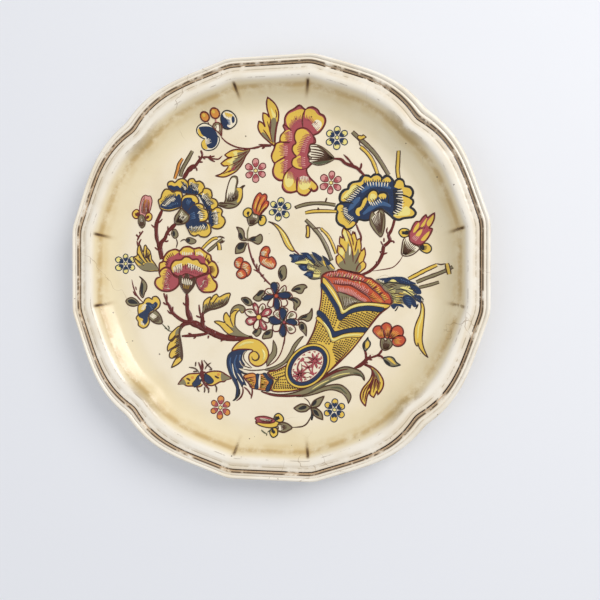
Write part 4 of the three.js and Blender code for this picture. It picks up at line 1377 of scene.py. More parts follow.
# %% Crimson bud on the right
m = Motif("bud_crimson_east", (89.1, 20.3))
berry(
    m,
    "77.8 21.8 79 24 81.6 24.4 84 23.2 84.2 21 82.6 19.3 79.8 19.2",
    "81 22.2 82.6 23.2 84 22.4 83.8 20.8 81.6 20.6",
    ("81.6 22.6 81.4 20.8", "79.4 22.8 79 21"),
)
berry(
    m,
    "90.6 13.4 92.6 15 95 15 97.1 13 97 10.6 94.8 9.2 92 10.2 90.4 12",
    "90.6 13.2 92.6 14.4 93 12.4 92.4 10.8 90.8 12",
    ("92.6 13.8 92.6 11", "95.2 13.8 94.8 10.8"),
)
calyx = (
    "81.8 19 80.4 17 79.7 13 79.4 9.4 80.6 7.8 83.6 7.6 87 9 90.2 12 89 13.6 86.4 14.8 84.6 17.4 84 19.4"
)
m.fill("cream", calyx, "brown", 0.6)
m.fill("olive", "80 9.6 80.4 14 81.4 17 82.2 13 84 11.4 88 10.6 84 8.4 81 8.4")
m.hatch("brown", 0.6, "80.2 9 80.8 8.6 82 8.2", "81.4 18.4 84.6 16.6 89.4 12.6", 8, (0.85, 1.0))
flower = (
    "84.6 16.6 84.2 19.6 84 21.4 85.2 23.4 86.4 26.2 88 28.4 90.4 28.6 92 30.8 94 32.5 94 32.5 95 30.8 "
    "97 32.2 99 33.4"
)
flower += " 99 33.4 98.8 29.8 97.4 26.4 95.8 24.4 97.8 23.8 96.5 20.4 94 16.8 91 14.3 88 14.6"
m.fill("rose", flower, "maroon", 0.7)
for streak in (
    "86.4 21.8 87.2 24.8 89.6 27.8 90 26 88.4 22.8",
    "90.8 25.4 93.8 29.8 94.6 30.2 93.4 26.8 92.4 25.2",
    "95 25.6 94.6 28 97.2 31.2 98.4 32.2 98.2 29.4 96.4 26",
    "87.8 20 89.4 22.4 91.8 23.8 91.4 21.6 89.8 19.4",
    "91 17.2 93.4 20.4 96 22.4 95.6 20.2 93.2 16.9",
):
    m.fill("yellow", streak)
    m.layer -= 1
m.layer += 1
m.hatches(
    ("pink", 0.45, "85.4 18.4 88 16.4", "87.6 21 90.4 19", 4),
    ("maroon", 0.4, "87.4 21.6 90.4 23.8 93.4 24", "89.6 24.6 92 26 94.6 25.6", 5),
)
m.finish("enamel_rose")

# %% Thorny branch on the right
m = Motif("branch_east", (68.2, 12.8))
m.line(
    "maroon",
    1.6,
    "75.2 30 74.2 26 73 23 71.6 20.4 72.4 17.4 70.6 15.2 68.6 13.4 68 9.6 66.8 6.4 64.4 2.4 60 -1.6 "
    "55.4 -3.6",
    taper=(0.7, 0.8),
)
m.line(
    "maroon",
    0.8,
    "71 25.4 70.4 22.8 71.8 20.6",
    "66.8 17 67.8 15 69.4 13",
    "68.8 19 68.8 16.4",
    "71.6 16.2 74.2 16.8 75 15.6",
    "66.2 10.8 67.6 9.2",
    "71 9.8 68.2 8.8",
    "64 4.6 65 2.6",
    taper=(0.2, 1),
)
m.line("maroon", 0.5, "80.2 7.8 78.4 4.8 75.4 1.6 72.4 0.2 66.4 -0.8 62 -1.4")
m.line("maroon", 1.0, "51.4 28.8 53 24.4 54.6 20.6 55 17")
m.finish("enamel_maroon")

# %% Sticks at the far right
m = Motif("sticks_east", (95.5, -4.7))
stick(m, "83.6 -6.4 88 -4.2 94 -1 100.6 2", "yellow", 2.2)
m.line("brown", 0.6, "100.4 2.8 103 2.2 105.6 2.8")
stick(m, "88.4 -8.4 94 -6 100 -3.8 105.8 -1.4 109.4 0.6", "olive", 2.0)
stick(m, "90 -11.6 96 -10.2 101.8 -8.4", "olive", 1.7)
stick(m, "106.2 2.8 106.8 0 107.6 -3.8", "yellow", 2.2)
m.finish("enamel_yellow")

# %% [markdown]
# ## The mouth of the horn
#
# Feathers, a crown of leaves and a ribbed shell spill out of the horn. The shell's ribs are three dark
# lines with rows of short strokes between them.

# %% Crown of leaves
m = Motif("crown_leaf", (48.9, 11.3))
crown = (
    "42.6 0.4 40.4 2.8 39.6 4.4 39.4 7.4 40.8 9 40.2 11 40.4 14.6 40.4 14.6 43 13.6 41.5 16 41.8 20.2 "
    "41.8 20.2 43.6 19 43 22"
)
crown += (
    " 43.8 24.9 45.4 24.6 47.6 22.8 48.8 20.6 49.8 23.2 49.8 23.2 50.6 21.6 51 22.8 51 22.8 52.2 18 53.4 "
    "18.4 54.3 18.2 54.9 14 54.8 10.8"
)
crown += " 56.9 13 56.9 13 57.5 9 56.4 5 57.7 3 57.4 0.6 55.6 -1 53.4 -2.4 48 -1.4"
m.fill("yellow", crown, "maroon", 0.65)
m.fill("lemon", "44 18.6 46.4 16.8 46.6 21 45.2 23.6 43.8 22.8")
m.fill("lemon", "41.2 8.6 43.6 8.4 44.2 11.4 42 12.8")
m.fill(
    "olive",
    "43 0.2 40.8 3 44.4 6.2 44.8 9.4 46 11.4 46.8 16 48.4 12.4 49.9 8.4 51.6 9.2 53 12.6 53.8 8.4 53.2 "
    "4.8 55 1.4 53.2 -1.8 48 -1.1",
)
m.fill("cream", "47.4 13.8 48.4 13 48.3 9.4 47.5 8.6")
m.line(
    "maroon",
    0.6,
    "45 2.8 44 6 41 9.6",
    "45.4 9.8 44 12.8 41.8 15.6",
    "45 17.2 44.2 19.4 43.4 21.6",
    "45.4 23.8 48 17 49.6 10 49.9 4",
    "48.7 20.8 49.8 17 50 14.4",
    "52.4 17.8 51.7 14 51 10.4",
    "54.7 11 53 7 51 3",
    "56.3 5 53 2 51.6 -1.6",
)
m.finish("enamel_yellow")

# %% Sticks beside the crown
m = Motif("sticks_north", (29.5, 18.2))
stick(m, "29.8 25.4 34.4 20.6 37.4 14.8 39.2 9.4", "yellow", 1.7)
stick(m, "20.2 30.9 25 26 29.6 20.4 33.4 13.4 36.6 5.2", "olive", 2.1)
m.line("brown", 0.6, "24.8 25.2 28 25.7 30 25.6")
m.fill("yellow", "20.6 27.2 20.6 27.2 22.4 26.8 22.8 23 22.4 20 20.6 20.2 20.9 23.4", "brown", 0.6)
m.finish("enamel_yellow")


# %% Two feathers
def tips(m, outlines, tone):
    for outline in outlines:
        m.fill(tone, outline)
        m.layer -= 1
    m.layer += 1


m = Motif("feather_west", (23.2, 0.9))
plume = (
    "38.8 0 35 4.2 31.4 7.2 27 9.2 22 9.4 14 9 11 6.4 13.4 3.8 16 2 18.6 0 21 -1.4 20.4 -4 23.6 -5.8 29 "
    "-6.4 31 -4.6 33.4 -2.2 36 -1.4"
)
m.fill("olive", plume)
tips(
    m,
    [
        "13.6 4.2 18 5.1 22.6 4.8 20 3.2 16 3.2", "20.8 0.2 24.8 0.9 25 -0.6 22.4 -0.8",
        "25.4 -2.2 29 -2.2 28.8 -4.8 25 -4.6", "20 6.6 23.6 4.8 25.4 2.6 21.6 4.6",
    ],
    "lemon",
)
tips(m, ["35 2.6 37 0.4 38.4 0.2 35.6 3.6", "31 4.6 32.6 1.8 33.2 2.6 32.2 5"], "yellow")
BLUES = [
    "9.9 8.4 10.6 9.6 10.6 9.6 13 9.4 12 10.4 12 10.4 16 9.2 21 8.4 19.4 6.4 15.6 5.2 12.6 4 10.8 4.8 "
    "10.8 4.8 11.9 6.6",
    "16.8 10.3 16.8 10.3 21.6 10.3 24 7.8 26.4 4.8 25.8 3.6 22.6 5.8 19.4 8.4",
    "24 10.9 24 10.9 27 9.9 30.4 7 29.8 4.8 27.6 6 25.2 8.4",
    "30.6 8.6 30.6 8.6 33.2 7.2 36.2 3.8 34.4 2.2 32.4 4.6",
    "15.4 2 15.4 2 18 3 22 1.8 21.4 -0.8 19 -1.2 17 0",
    "18.8 -3.5 18.8 -3.5 21.4 -1.6 25.6 -1.2 25.2 -3 24.6 -5.4 22 -5",
]
tips(m, BLUES, "navy")
m.hatches(
    ("blue", 0.5, "12 8.6 13 5.4", "17 8.4 16.6 6", 4),
    ("blue", 0.4, "20.4 9.4 22.4 6.6", "23.6 7.6 25 5.2", 3),
    ("blue", 0.5, "17 1.6 19.6 -0.4", "20 2 21 0", 3),
    ("blue", 0.5, "20.6 -3.2 22 -4.4", "24 -1.9 24.4 -4", 3),
)
m.line(
    "black",
    0.6,
    "13.6 3.4 20 3 24 1.4 27.4 0.5",
    "20.6 -0.2 24.6 -0.8 28.6 -1.6",
    "21.8 -5.2 25 -6.3 29.8 -5.8",
    "38.8 0.1 35.4 4.2 31 7.8",
    "35.2 -0.6 33.4 2.4 32 5.6",
    "31.4 2 28.4 4.6 25.6 8.2",
    "28.6 1.2 25.4 3.4 22 6.6",
)
m.hatches(
    ("black", 0.3, "14 5.6 20 6 26 3.4 30 1", "14.6 8.6 21 8.6 28 6.6 33 2.4", 15, (0.3, 0.8)),
    ("lemon", 0.35, "21 0.6 25 -1.4 29 -3.4", "22 4.4 27 2 31.4 -0.6", 11, (0.3, 0.75)),
)
m.line("brown", 0.4, "24.4 2.4 27.4 2.2 29.4 1.2", "23.8 -2.4 27 -3 30 -3")
m.finish("enamel_blue")

# %% Ribbed shell
m = Motif("horn_shell", (51.4, -11.4))
shell = (
    "30.5 -4.4 33 -2.4 36 -1.6 39.6 -1.4 40.8 -0.4 43.4 -0.6 47 -1.6 50 -2.4 52.6 -3 56 -3.8 57.8 -5.4 "
    "61 -6 63.6 -8 67 -10.4"
)
shell += (
    " 69.4 -13.6 72 -15.6 73.2 -18.6 73.4 -21 71 -22.4 66 -21.6 61 -20.8 56 -20.8 53.6 -19.6 51 -17.6 48 "
    "-16.7 45 -15.4 42 -14.6 40 -14.2 37.6 -11 35 -7.4 32.4 -5.6"
)
m.fill("rust", shell, "maroon", 0.85)
m.hatches(
    (
        "pink",
        0.65,
        "33 -4.2 40 -4.8 46 -5.4 52 -7 56 -8",
        "34.4 -2 40 -1.2 46 -1.8 53 -3.4 57.4 -5.6",
        19,
        (0.7, 0.95),
    ),
    (
        "yellow",
        0.65,
        "57.6 -8.4 61 -10.6 65 -15 69 -19.6",
        "59.6 -6.4 64 -8.6 68.6 -13.4 72.6 -18.4",
        14,
        (0.6, 0.95),
    ),
    (
        "pink",
        0.6,
        "38 -9 45 -9.6 50 -10.6 54 -13 58.6 -16",
        "36.6 -5.4 44 -6 50 -7.4 55 -8.6 60.4 -12",
        22,
        (0.6, 0.9),
    ),
    (
        "lemon",
        0.7,
        "35 -4.6 42 -5.4 50 -7.6 55 -9.4",
        "35.6 -1.8 42 -0.8 50 -2.6 56 -4.6",
        8,
        (0.55, 0.9),
    ),
    ("orange", 0.6, "60 -17.2 63 -19.4 66 -20.8", "62.6 -13.6 66 -16.6 69.6 -20.4", 8, (0.6, 0.9)),
    (
        "pink",
        0.6,
        "41 -14 45 -14.8 49 -16.2 54 -19 57 -20.4",
        "40 -10 45 -10.6 50 -12 55.6 -15.6 60 -19.4",
        20,
        (0.5, 0.85),
    ),
)
m.hatches(
    (
        "maroon",
        0.35,
        "33.6 -4.4 44 -5 52 -6.8 58 -9 64 -14 69 -19",
        "34 -2.2 44 -1.2 53 -3.4 60 -6.6 68 -13.6 73 -19.4",
        26,
        (0.5, 0.9),
    ),
    ("maroon", 0.35, "38 -9 48 -10 55 -14 62 -19", "36.6 -5.4 50 -7.4 60 -11.6 67 -18", 22, (0.4, 0.8)),
)
m.line(
    "maroon",
    0.8,
    "34.6 -5 40 -5 46 -5.7 50 -6.9 54 -7.4 58 -9 62 -12.6 66 -16 69.6 -20.6",
    "37.2 -9 43 -9.8 48 -10.1 52 -12.2 56 -14.8 59 -17 61.6 -20.4",
    "62 -12.4 64.6 -10.8",
    "66 -16 68 -14.4",
)
m.finish("enamel_orange")

# %% Feather on the right of the shell
m = Motif("feather_east", (77.7, -14.4))
plume = (
    "64 -6.4 68.6 -5.8 74 -5.4 80 -5.4 84 -7.4 88.6 -10.2 91 -13.4 91.2 -15.2 88.6 -15.4 91 -18.6 90.4 "
    "-20.4 88 -20 88.2 -23"
)
plume += (
    " 85.6 -22.6 84.6 -24.2 80.4 -21.6 76 -22.2 74.6 -24.4 73 -22.8 73.2 -20.4 72.4 -17 70 -14 68 -11 66 "
    "-9.6 64 -8.4"
)
m.fill("olive", plume)
tips(
    m,
    [
        "72.6 -7.2 76.2 -6.4 76.6 -7.8 73.6 -8.2", "78.4 -11.6 83.6 -10.9 88.2 -12.6 86 -13.9 82 -12.8",
        "80 -14.4 83 -13.6 87 -16 85.6 -16.8 82.6 -15.4",
    ],
    "lemon",
)
tips(
    m,
    [
        "76 -16.6 80 -16.8 80.4 -17.4 76.6 -17.4", "75.4 -19.6 79 -20.2 78.6 -21.4 74.8 -20.8",
        "78 -14.8 80 -14.9 80.6 -15.6 78 -15.6",
    ],
    "yellow",
)
BLUES = [
    "74.6 -5 80.4 -5.2 84.8 -7.6 88.2 -9.2 83 -10 78 -8.6 74.6 -6.6 70 -5.8",
    "84.4 -10.2 88 -10.6 90.8 -12.8 91.2 -15.4 88.4 -15.4 85.8 -13",
    "86.8 -16.2 90.2 -16.6 91.4 -18.8 90.6 -20.8 88.6 -19.8 86.8 -18",
    "80 -17.4 83.4 -16 86.8 -18.4 88.7 -22.9 86.8 -23.5 85.4 -21.8 84.8 -24.5 82.4 -22.8 80.6 -20.6",
    "73 -22.6 75.4 -21.5 79.6 -21.8 80.8 -23.8 77 -22.9 74.9 -24.9",
    "64.6 -6.4 70 -5.6 73.4 -6.4 70 -8.4 67.4 -7.6",
]
tips(m, BLUES, "navy")
m.hatches(
    ("blue", 0.45, "81 -17.6 83.6 -22.4", "84.6 -17.2 86.8 -22", 5),
    ("blue", 0.45, "78 -6 84 -8.2", "80 -7.8 85 -9.4", 4),
    ("cream", 0.5, "65.4 -6.6 69 -7.6", "66.8 -8.2 69 -9.2", 3),
)
m.line(
    "black",
    0.6,
    "67.6 -10.6 71 -8.4 76 -8.8 83 -9.9 88 -10.2",
    "75.8 -13 80 -12.7 84.6 -15.4 88.4 -18.6 92.8 -20.4",
    "76 -17.5 81 -17.6",
    "74.4 -18.5 80 -19.4",
    "76 -20.5 80 -20.6",
    "83.6 -11.9 88.6 -13.8",
    "77.4 -23 76.4 -25 75.4 -26",
    "89.4 -21.4 88.8 -23.4 87.8 -24.8",
    "89.6 -16 92 -18.2 92.4 -19.6",
)
m.hatches(
    ("black", 0.3, "66 -8.6 70 -11 73 -16 74 -21", "70 -7.4 76 -9.4 80 -14 82 -19", 15, (0.3, 0.8)),
    ("lemon", 0.35, "71 -12.6 74 -16.6 75 -20.6", "78 -10.4 82 -14 84 -19.4", 12, (0.25, 0.6)),
    ("navy", 0.3, "76 -6 84 -9 89 -14 88 -21", "76 -11 81 -13.4 84 -17 83 -22", 14, (0.2, 0.65)),
)
m.line("brown", 0.45, "72.8 -15.3 77 -15.3 81 -15.9", "71 -10.8 74 -9.6 76.4 -10.6", "72 -11.4 74.6 -10.8")
m.finish("enamel_olive")

# %% Ribbon on the right
m = Motif("ribbon_east", (90.9, -36.9))
m.fill(
    "yellow",
    "91 -20.4 92.6 -22 93.2 -26 92.8 -32 92.1 -39 91.9 -44 93 -49 95.1 -53.8 95.1 -53.8 92.8 -52 90.2 "
    "-48.4 89.3 -45.4 89.4 -47 88.4 -46.9 87.3 -44 87.1 -38 88.4 -33 90.5 -28 91.2 -24",
    "brown",
    0.6,
)
m.line("lemon", 0.7, "91.8 -24 91.4 -30 89.6 -36 89.2 -43")
m.finish("enamel_yellow")

# %% [markdown]
# ## Lower right: blossom, leaves and trefoil
#
# These motifs sit close to the horn, and each is its own object, so each can be repainted alone. A leaf is
# filled with a light colour first, and its dark side is a second fill within the same outline.

# %% Orange blossom on the right
m = Motif("blossom_orange_east", (71.9, -41.4))
BLOSSOM = [
    (
        "67.4 -43.3 64.4 -41.3 62.1 -38.4 63.1 -36 65 -35.1 67.2 -35.6 68.6 -39 69.3 -41.8",
        ("68.4 -42 67 -41.4 66 -41.6", "68 -36.4 65.4 -36 63 -38.4"),
    ),
    (
        "67.1 -36 68.4 -34 70.4 -33.2 72.8 -34.4 73.5 -37 72.6 -40.4 71 -42.8 69.4 -41.8 68 -39.6",
        ("70.2 -41.8 71 -41.8 71.8 -41", "68.6 -35.4 70.4 -34.4 72.6 -35.6"),
    ),
    (
        "73.4 -37.4 75 -35.6 77.4 -34.9 79.8 -36.2 80.6 -39 79.6 -41 76.6 -41.3 74.4 -42.6 72 -42.8 72 "
        "-40.4",
        ("72.8 -40.4 73.4 -41.4 74 -42.2", "75.4 -36 78.6 -36.6 79.4 -40"),
    ),
    (
        "74 -43.8 75 -42 77.6 -41 80.4 -41.3 81.9 -43.4 80.8 -46 78.4 -47.5 75.6 -47.3 73.8 -45.6",
        ("74.8 -43.6 75 -44.8 75.6 -46", "79.6 -41.8 81 -43.4 79.6 -46.4"),
    ),
]
for outline, (root, end) in BLOSSOM:
    m.fill("rust", outline, "maroon", 0.7)
    m.hatch("orange", 0.55, root, end, 5, (0.6, 0.95))
    m.layer -= 3
m.layer += 3
m.hatch("maroon", 0.4, "69.4 -41.4 72 -41.6 74.6 -43.4", "66 -37 71.6 -35 80 -43", 9, (0.4, 0.8))
m.fill(
    "olive",
    "67 -43.4 66.7 -47 67.8 -49.5 70 -50.1 72.4 -48.8 73.9 -46.6 73 -44.4 71.4 -42.7 69.8 -44.6 68.4 "
    "-42.8",
    "brown",
    0.6,
)
m.hatch("brown", 0.6, "68.4 -49.2 70 -49.6 71.4 -48.8", "67.6 -43.8 70.6 -43.4 73.2 -46", 7, (0.85, 1.0))
m.finish("enamel_orange")

# %% Its branch and two leaves
m = Motif("branch_southeast", (64.4, -52.3))
m.line("maroon", 2.0, "50.4 -61.6 54 -59.8 57 -57.4 58.6 -55.4 61 -54.8", taper=(0.3, 0.5))
m.line(
    "maroon",
    1.1,
    "60 -55 64.6 -53.4 66.6 -51.6 67.8 -49.4",
    "57.6 -56.6 57.8 -53 57 -50 56.2 -48.4",
    "64.8 -53.4 67 -53.8 68.8 -55.4",
    taper=(0.8, 0.5),
)
m.line(
    "maroon",
    0.8,
    "60.6 -53 60 -54.8",
    "61.8 -56.2 59 -55.6",
    "59.2 -58.2 57 -57.2",
    "57.4 -58.6 60 -60",
    taper=(0.3, 1),
)
m.fill(
    "olive",
    "57.4 -50.6 56 -48.4 56.3 -45.8 58 -43.9 59 -42.2 59 -42.2 59.3 -43.8 60.5 -45.4 60.2 -47.6 58.8 "
    "-49.4",
    "black",
    0.6,
)
m.fill("yellow", "58 -49 57.4 -46.8 58.8 -44.4 59.8 -46.2 59.2 -48.2")
m.fill("black", "56.8 -49.4 56 -47.4 56.8 -45.2 57.4 -46.4 57.2 -48.4")
m.fill(
    "olive",
    "68.6 -55 69.6 -57.4 72 -59.4 75 -59.9 78.8 -59 78.8 -59 76.4 -57.4 74.6 -54.8 72.4 -54 70 -54.3",
    "black",
    0.6,
)
m.fill("yellow", "70.6 -55 72.6 -54.8 74.6 -56.6 76 -58.6 74.4 -58 72.6 -56.6")
m.fill("black", "69.2 -55.8 70.4 -58 72.6 -59.2 72.4 -58 70.8 -56.6")
m.finish("enamel_maroon")

# %% Lobed leaf at lower right
m = Motif("leaf_southeast", (61.3, -72.3))
leaf = (
    "57 -59.3 60.8 -60.1 64.4 -62.4 67 -65.6 68.6 -69.4 68 -73.6 65.2 -77.6 65.2 -77.6 64.7 -75.4 63.8 "
    "-77 62.7 -79.3 62.7 -79.3"
)
leaf += (
    " 60.5 -77.8 60.2 -75.4 58.6 -79 57.6 -84.7 57.6 -84.7 55.2 -81.8 54.5 -78 56.2 -73.6 59.6 -69.4 "
    "61.4 -66 61.6 -62.8 60.2 -60.8"
)
m.fill("yellow", leaf, "maroon", 0.75)
m.fill("olive", "62.6 -61.8 65.4 -65 66.4 -69 65.4 -72 64 -67 62.4 -63.4")
m.fill("maroon", "61.4 -61.4 62.8 -64 62.6 -68.6 60.8 -72.6 58.4 -75.6 59.4 -72 61 -69 62 -66")
m.line(
    "maroon",
    0.6,
    "63 -64 63.6 -70 62.4 -76.4",
    "64 -65.4 65.4 -71 65 -75.4",
    "61 -70 58.6 -75 57 -82",
    "59.6 -71 56.6 -76 56 -81",
    "62 -70 61 -74 60.4 -77",
)
m.hatch("maroon", 0.4, "61.6 -68 64.4 -68 67 -70", "59.6 -75.6 63.4 -76 66 -75.4", 8, (0.5, 0.9))
m.finish("enamel_yellow")

# %% Long leaf under the horn
m = Motif("acanthus_long", (25.3, -72.6))
upper = (
    "-8 -77.4 0 -79.7 10 -80 20 -78.6 28 -75 34 -71 40 -68.2 46 -66.3 51 -65.6 55 -66.4 56.9 -68.9 56.9 "
    "-68.9 56.6 -66.2"
)
upper += " 54.4 -63.3 50 -61.5 45 -60.7 40 -62.3 34 -65.8 28 -70 20 -74.8 12 -77.8 4 -79 -4 -78.2"
lower = (
    "14 -79.8 22 -77.8 28 -75 34 -72.7 40 -71.7 44 -72.8 47.4 -76 48.7 -79.4 47.1 -83.5 47.1 -83.5 46 "
    "-80.2 43 -77 38 -75.3 33 -75.7 27 -77.8 20 -79.6"
)
m.fill("olive", lower, "brown", 0.65)
m.fill("olive", upper, "brown", 0.7)
m.line("maroon", 1.0, "-7.6 -77.6 0 -79.6 10 -79.8 18 -78.8", "20 -75 28 -70.4 34 -66.6 40 -63.6 47 -62")
m.line("lemon", 0.5, "36 -68 42 -65.6 48 -64.6", "24 -75.4 30 -71.6 35 -69.2")
m.line(
    "moss",
    0.7,
    "22 -77.6 30 -73.4 36 -69.8 44 -67.2",
    "36 -74 42 -74 46 -77.6",
    "50 -64.4 54 -65 56 -67",
)
m.finish("enamel_olive")

# %% Trefoil at the bottom
m = Motif("trefoil_south", (22.0, -86.6))
m.line("brown", 0.5, "19.2 -80.6 22 -82.8 23.6 -86.4")
m.line("black", 1.3, "23.8 -86.6 24.5 -90 24 -94.6", taper=(0.9, 0.6))
TREFOIL = [
    (
        "23.6 -86.8 25 -83 28 -80.8 31.9 -79.3 31.9 -79.3 30.5 -82.4 28.6 -85.4 26 -86.4",
        "24.4 -85.6 25.2 -83 27.2 -82 26.6 -84.4",
    ),
    (
        "23 -86.6 20.6 -84.9 17 -84.7 12.7 -87.3 12.7 -87.3 16 -89.4 20 -89.2 21.8 -88",
        "21 -86.2 19 -85.4 15.6 -87.4 17 -88.2 19.8 -87.6",
    ),
    (
        "24 -86.8 27.6 -87.3 30.4 -90 31.1 -94 31.1 -94 27.6 -92.8 25.2 -90.8 24.4 -88.6",
        "25 -87.8 27.4 -88.6 28.8 -91.6 27 -91.4 25.6 -90",
    ),
]
for outline, shade in TREFOIL:
    m.fill("olive", outline, "brown", 0.7)
    m.fill("black", shade)
    m.layer -= 3
m.layer += 3
m.finish("enamel_olive")

# %% [markdown]
# ## The horn of plenty
#
# The horn is woven like a basket: a yellow body with rows of short brown dashes that follow its bend, two
# chevrons of blue and yellow, and an oval with a star pattern. The dashes are not drawn one by one. They
# are spread between an upper and a lower path, and every other row is shifted by half a dash.


# %% Basket weave
def weave(m, width, top, bottom, columns, pitch=1.45, duty=0.6):
    m.layer += 1
    above, below = through(path(top)), through(path(bottom))
    for c in range(columns):
        a, b = (along(edge, (c + 0.5) / columns) for edge in (above, below))
        rows = max(1, round((b - a).length / pitch))
        for r in range(rows):
            start = (r + 0.5 * (c % 2)) / rows
            end = min(1.0, start + duty / rows)
            if start < 0.97:
                m.mark([a.lerp(b, start), a.lerp(b, end)], [width / 2, width / 2.4], "brown", False, False)


m = Motif("horn_body", (36.0, -41.5))
blade = (
    "-6 -63.4 0 -61.4 6 -58 9.6 -53.2 12.6 -47.4 16.4 -43.2 19 -42 19 -42 16.8 -45 13.8 -49.6 11.6 -54 8 "
    "-58.6 3 -62 -2 -63.8"
)
m.fill("olive", blade, "brown", 0.5)
m.fill("olive", "-4.4 -61 -4.2 -56 -1.2 -52 -0.4 -44.6 -0.4 -44.6 1.7 -49 1.4 -54 -1.6 -58", "brown", 0.5)
m.line("maroon", 0.6, "-5 -61.8 1 -58 4.8 -52 6.8 -44 7.4 -39")
body = (
    "30.4 -5 30.2 -9 30.3 -16 29.4 -23 27.8 -30 25.6 -38 22.8 -44 19.6 -49 14 -55 8.6 -60 2 -63.6 -4 "
    "-65.2 -1.6 -68 -0.4 -71"
)
body += (
    " -1.4 -76.6 8 -77 17 -75.2 26 -71 34 -64.6 42 -57.4 50 -49 58 -38.4 66 -28.2 72.6 -22.4 66 -21.3 58 "
    "-20.9 53 -21 47.6 -23.2"
)
body += " 44 -25.2 42.6 -22 38.6 -13.2 33.4 -6.6"
m.fill("yellow", body, "maroon", 0.75)
m.fill(
    "olive",
    "40.6 -14.4 45 -15.6 49 -17.2 53 -19.4 56 -20.6 52 -21.2 47.6 -23.2 44.2 -25 43 -21.4 41.6 -17.6",
    "brown",
    0.4,
)
m.hatch("cream", 0.6, "44.8 -23.6 47 -22.6 50.6 -20.8", "43.6 -16.6 48.6 -17.8 53.4 -20.2", 8, (0.8, 1.0))
m.hatch("brown", 0.45, "44.4 -24.2 47 -23 51 -21.2", "42.2 -16.4 47.6 -17 53.6 -20", 9, (0.85, 1.0))
weave(m, 0.75, "31.2 -14 34.6 -18.6 37.8 -24 40.9 -30.4", "29.6 -25.6 32.6 -29 35.6 -33.4 38.4 -37.6", 8)
weave(
    m,
    0.8,
    "42.6 -30.8 48 -28.4 54 -27 60 -26.6 66 -26.4",
    "39.6 -37.4 44 -36.9 49 -36 54 -35.8 59 -35.8",
    15,
)
weave(m, 0.75, "28 -32.6 31 -35.6 34 -40.4 36.6 -45.4", "21.4 -47.6 25 -46.2 30 -45.4 35 -48", 9)
weave(m, 0.7, "38 -46 42 -44.4 48 -43 54 -43", "37 -50.6 38.4 -54 39 -57 39.4 -59.4", 9)
weave(
    m,
    0.7,
    "-2.4 -65.6 0 -68.6 1 -71 -0.4 -74.4 -0.6 -75.8",
    "9 -60.6 8.2 -65.6 9.2 -70.4 13 -74 18 -74.8",
    8,
)
m.line(
    "maroon",
    0.5,
    "47.6 -50 43 -55 39 -59.4 36 -62.4",
    "51 -47.4 47 -52.4 41 -58 37 -61.6",
    "66.8 -26.4 62 -32.4 59.2 -36.4",
)
m.line("brown", 0.5, "-3.4 -65.4 1.2 -69.6 3.6 -68.2 8.6 -65.6", "-0.8 -76.2 1 -71.6 3.6 -69.6")
GOLD_BANDS = [
    "31.2 -5.4 33.4 -6.8 38.6 -13.4 42.4 -21 44.2 -25.3 48 -23.1 53 -21.3 60 -20.9 68 -21.6 72.4 -22.5 "
    "70 -24.4 66 -23.8 60 -23.1 54 -23.4 49 -25 43.3 -28.2 40.8 -23.2 36.6 -16.2 31.4 -9.4",
    "27.6 -29.8 30 -30.8 33.6 -36 36 -41.4 38.2 -42.6 44 -40.4 50 -39.4 56.6 -39.4 54.4 -42.2 48 -42.3 "
    "42 -43.4 37.2 -45.7 34.6 -40.8 31.4 -35.4 27.2 -31.4",
]
BLUE_BANDS = [
    "30.1 -8.8 32.4 -10 36.8 -16.6 41 -23.4 43 -28.1 48.6 -25 54 -23.3 60 -22.9 66.6 -23.7 69 -24.4 "
    "66.6 -26.6 60 -25.9 53.4 -26.3 47 -28.3 41.4 -32 38.8 -25.2 34.8 -18.2 31.4 -13 30 -11.4",
    "27.9 -26 30.4 -26.5 34 -30.4 37.8 -38 39.6 -38.7 45 -37.3 52 -36.1 58.8 -36.5 56.8 -39.1 50 -39.1 "
    "44 -40.1 38.2 -42.4 36 -41.2 33.6 -35.8 30 -30.4 27.6 -28.4",
]
for band in GOLD_BANDS:
    m.fill("yellow", band, "brown", 0.35)
    m.layer -= 2
m.layer += 2
for band in BLUE_BANDS:
    m.fill("navy", band, "black", 0.35)
    m.layer -= 2
m.layer += 2
m.line(
    "lemon",
    1.1,
    "33 -9 38 -15.6 42.2 -23.6 43.8 -26.8 48 -24.2 54 -22.4 62 -22 69 -23",
    "31 -32.6 34.6 -37.8 37.2 -44.2 43 -42 50 -40.8 55 -41",
)
m.finish("enamel_yellow")


# %% The oval on the horn
def oval(middle, long, short, tilt, count=40):
    spin = Matrix.Rotation(math.radians(tilt), 2)
    turns = [math.tau * i / count for i in range(count)]
    return [Vector(middle) + spin @ Vector((math.cos(a) * long, math.sin(a) * short)) for a in turns]


OVER_WEAVE = 22  # the first layer that is clear of the horn's own layers
m = Motif("horn_cartouche", (21.0, -60.0))
m.layer = OVER_WEAVE
centre = (21.4, -60.6)
m.fill("yellow", oval(centre, 16.0, 11.7, 45), "brown", 0.45)
m.fill("navy", oval(centre, 14.3, 10.2, 45), "black", 0.4)
m.fill("cream", oval(centre, 11.9, 7.9, 45), "maroon", 0.35)
for star, reach in (((26.0, -57.2), 5.6), ((16.6, -66.2), 5.2)):
    star = Vector(star)
    for k in range(8):
        way = Vector((math.cos(math.tau * k / 8 + 0.3), math.sin(math.tau * k / 8 + 0.3)))
        side = Vector((-way.y, way.x)) * 0.62
        m.line(
            "rose",
            1.3,
            [star + way * 0.2, star + way * reach * 0.55, star + way * reach * 0.9],
            taper=(1, 0.3),
        )
        m.layer -= 1
        m.line("maroon", 0.3, [star + side + way, star + side * 1.3 + way * reach * 0.8], taper=(1, 0.4))
        m.layer -= 1
m.layer += 1
rim = oval(centre, 11.3, 7.3, 45, 16)
inner = oval(centre, 9.4, 5.4, 45, 16)
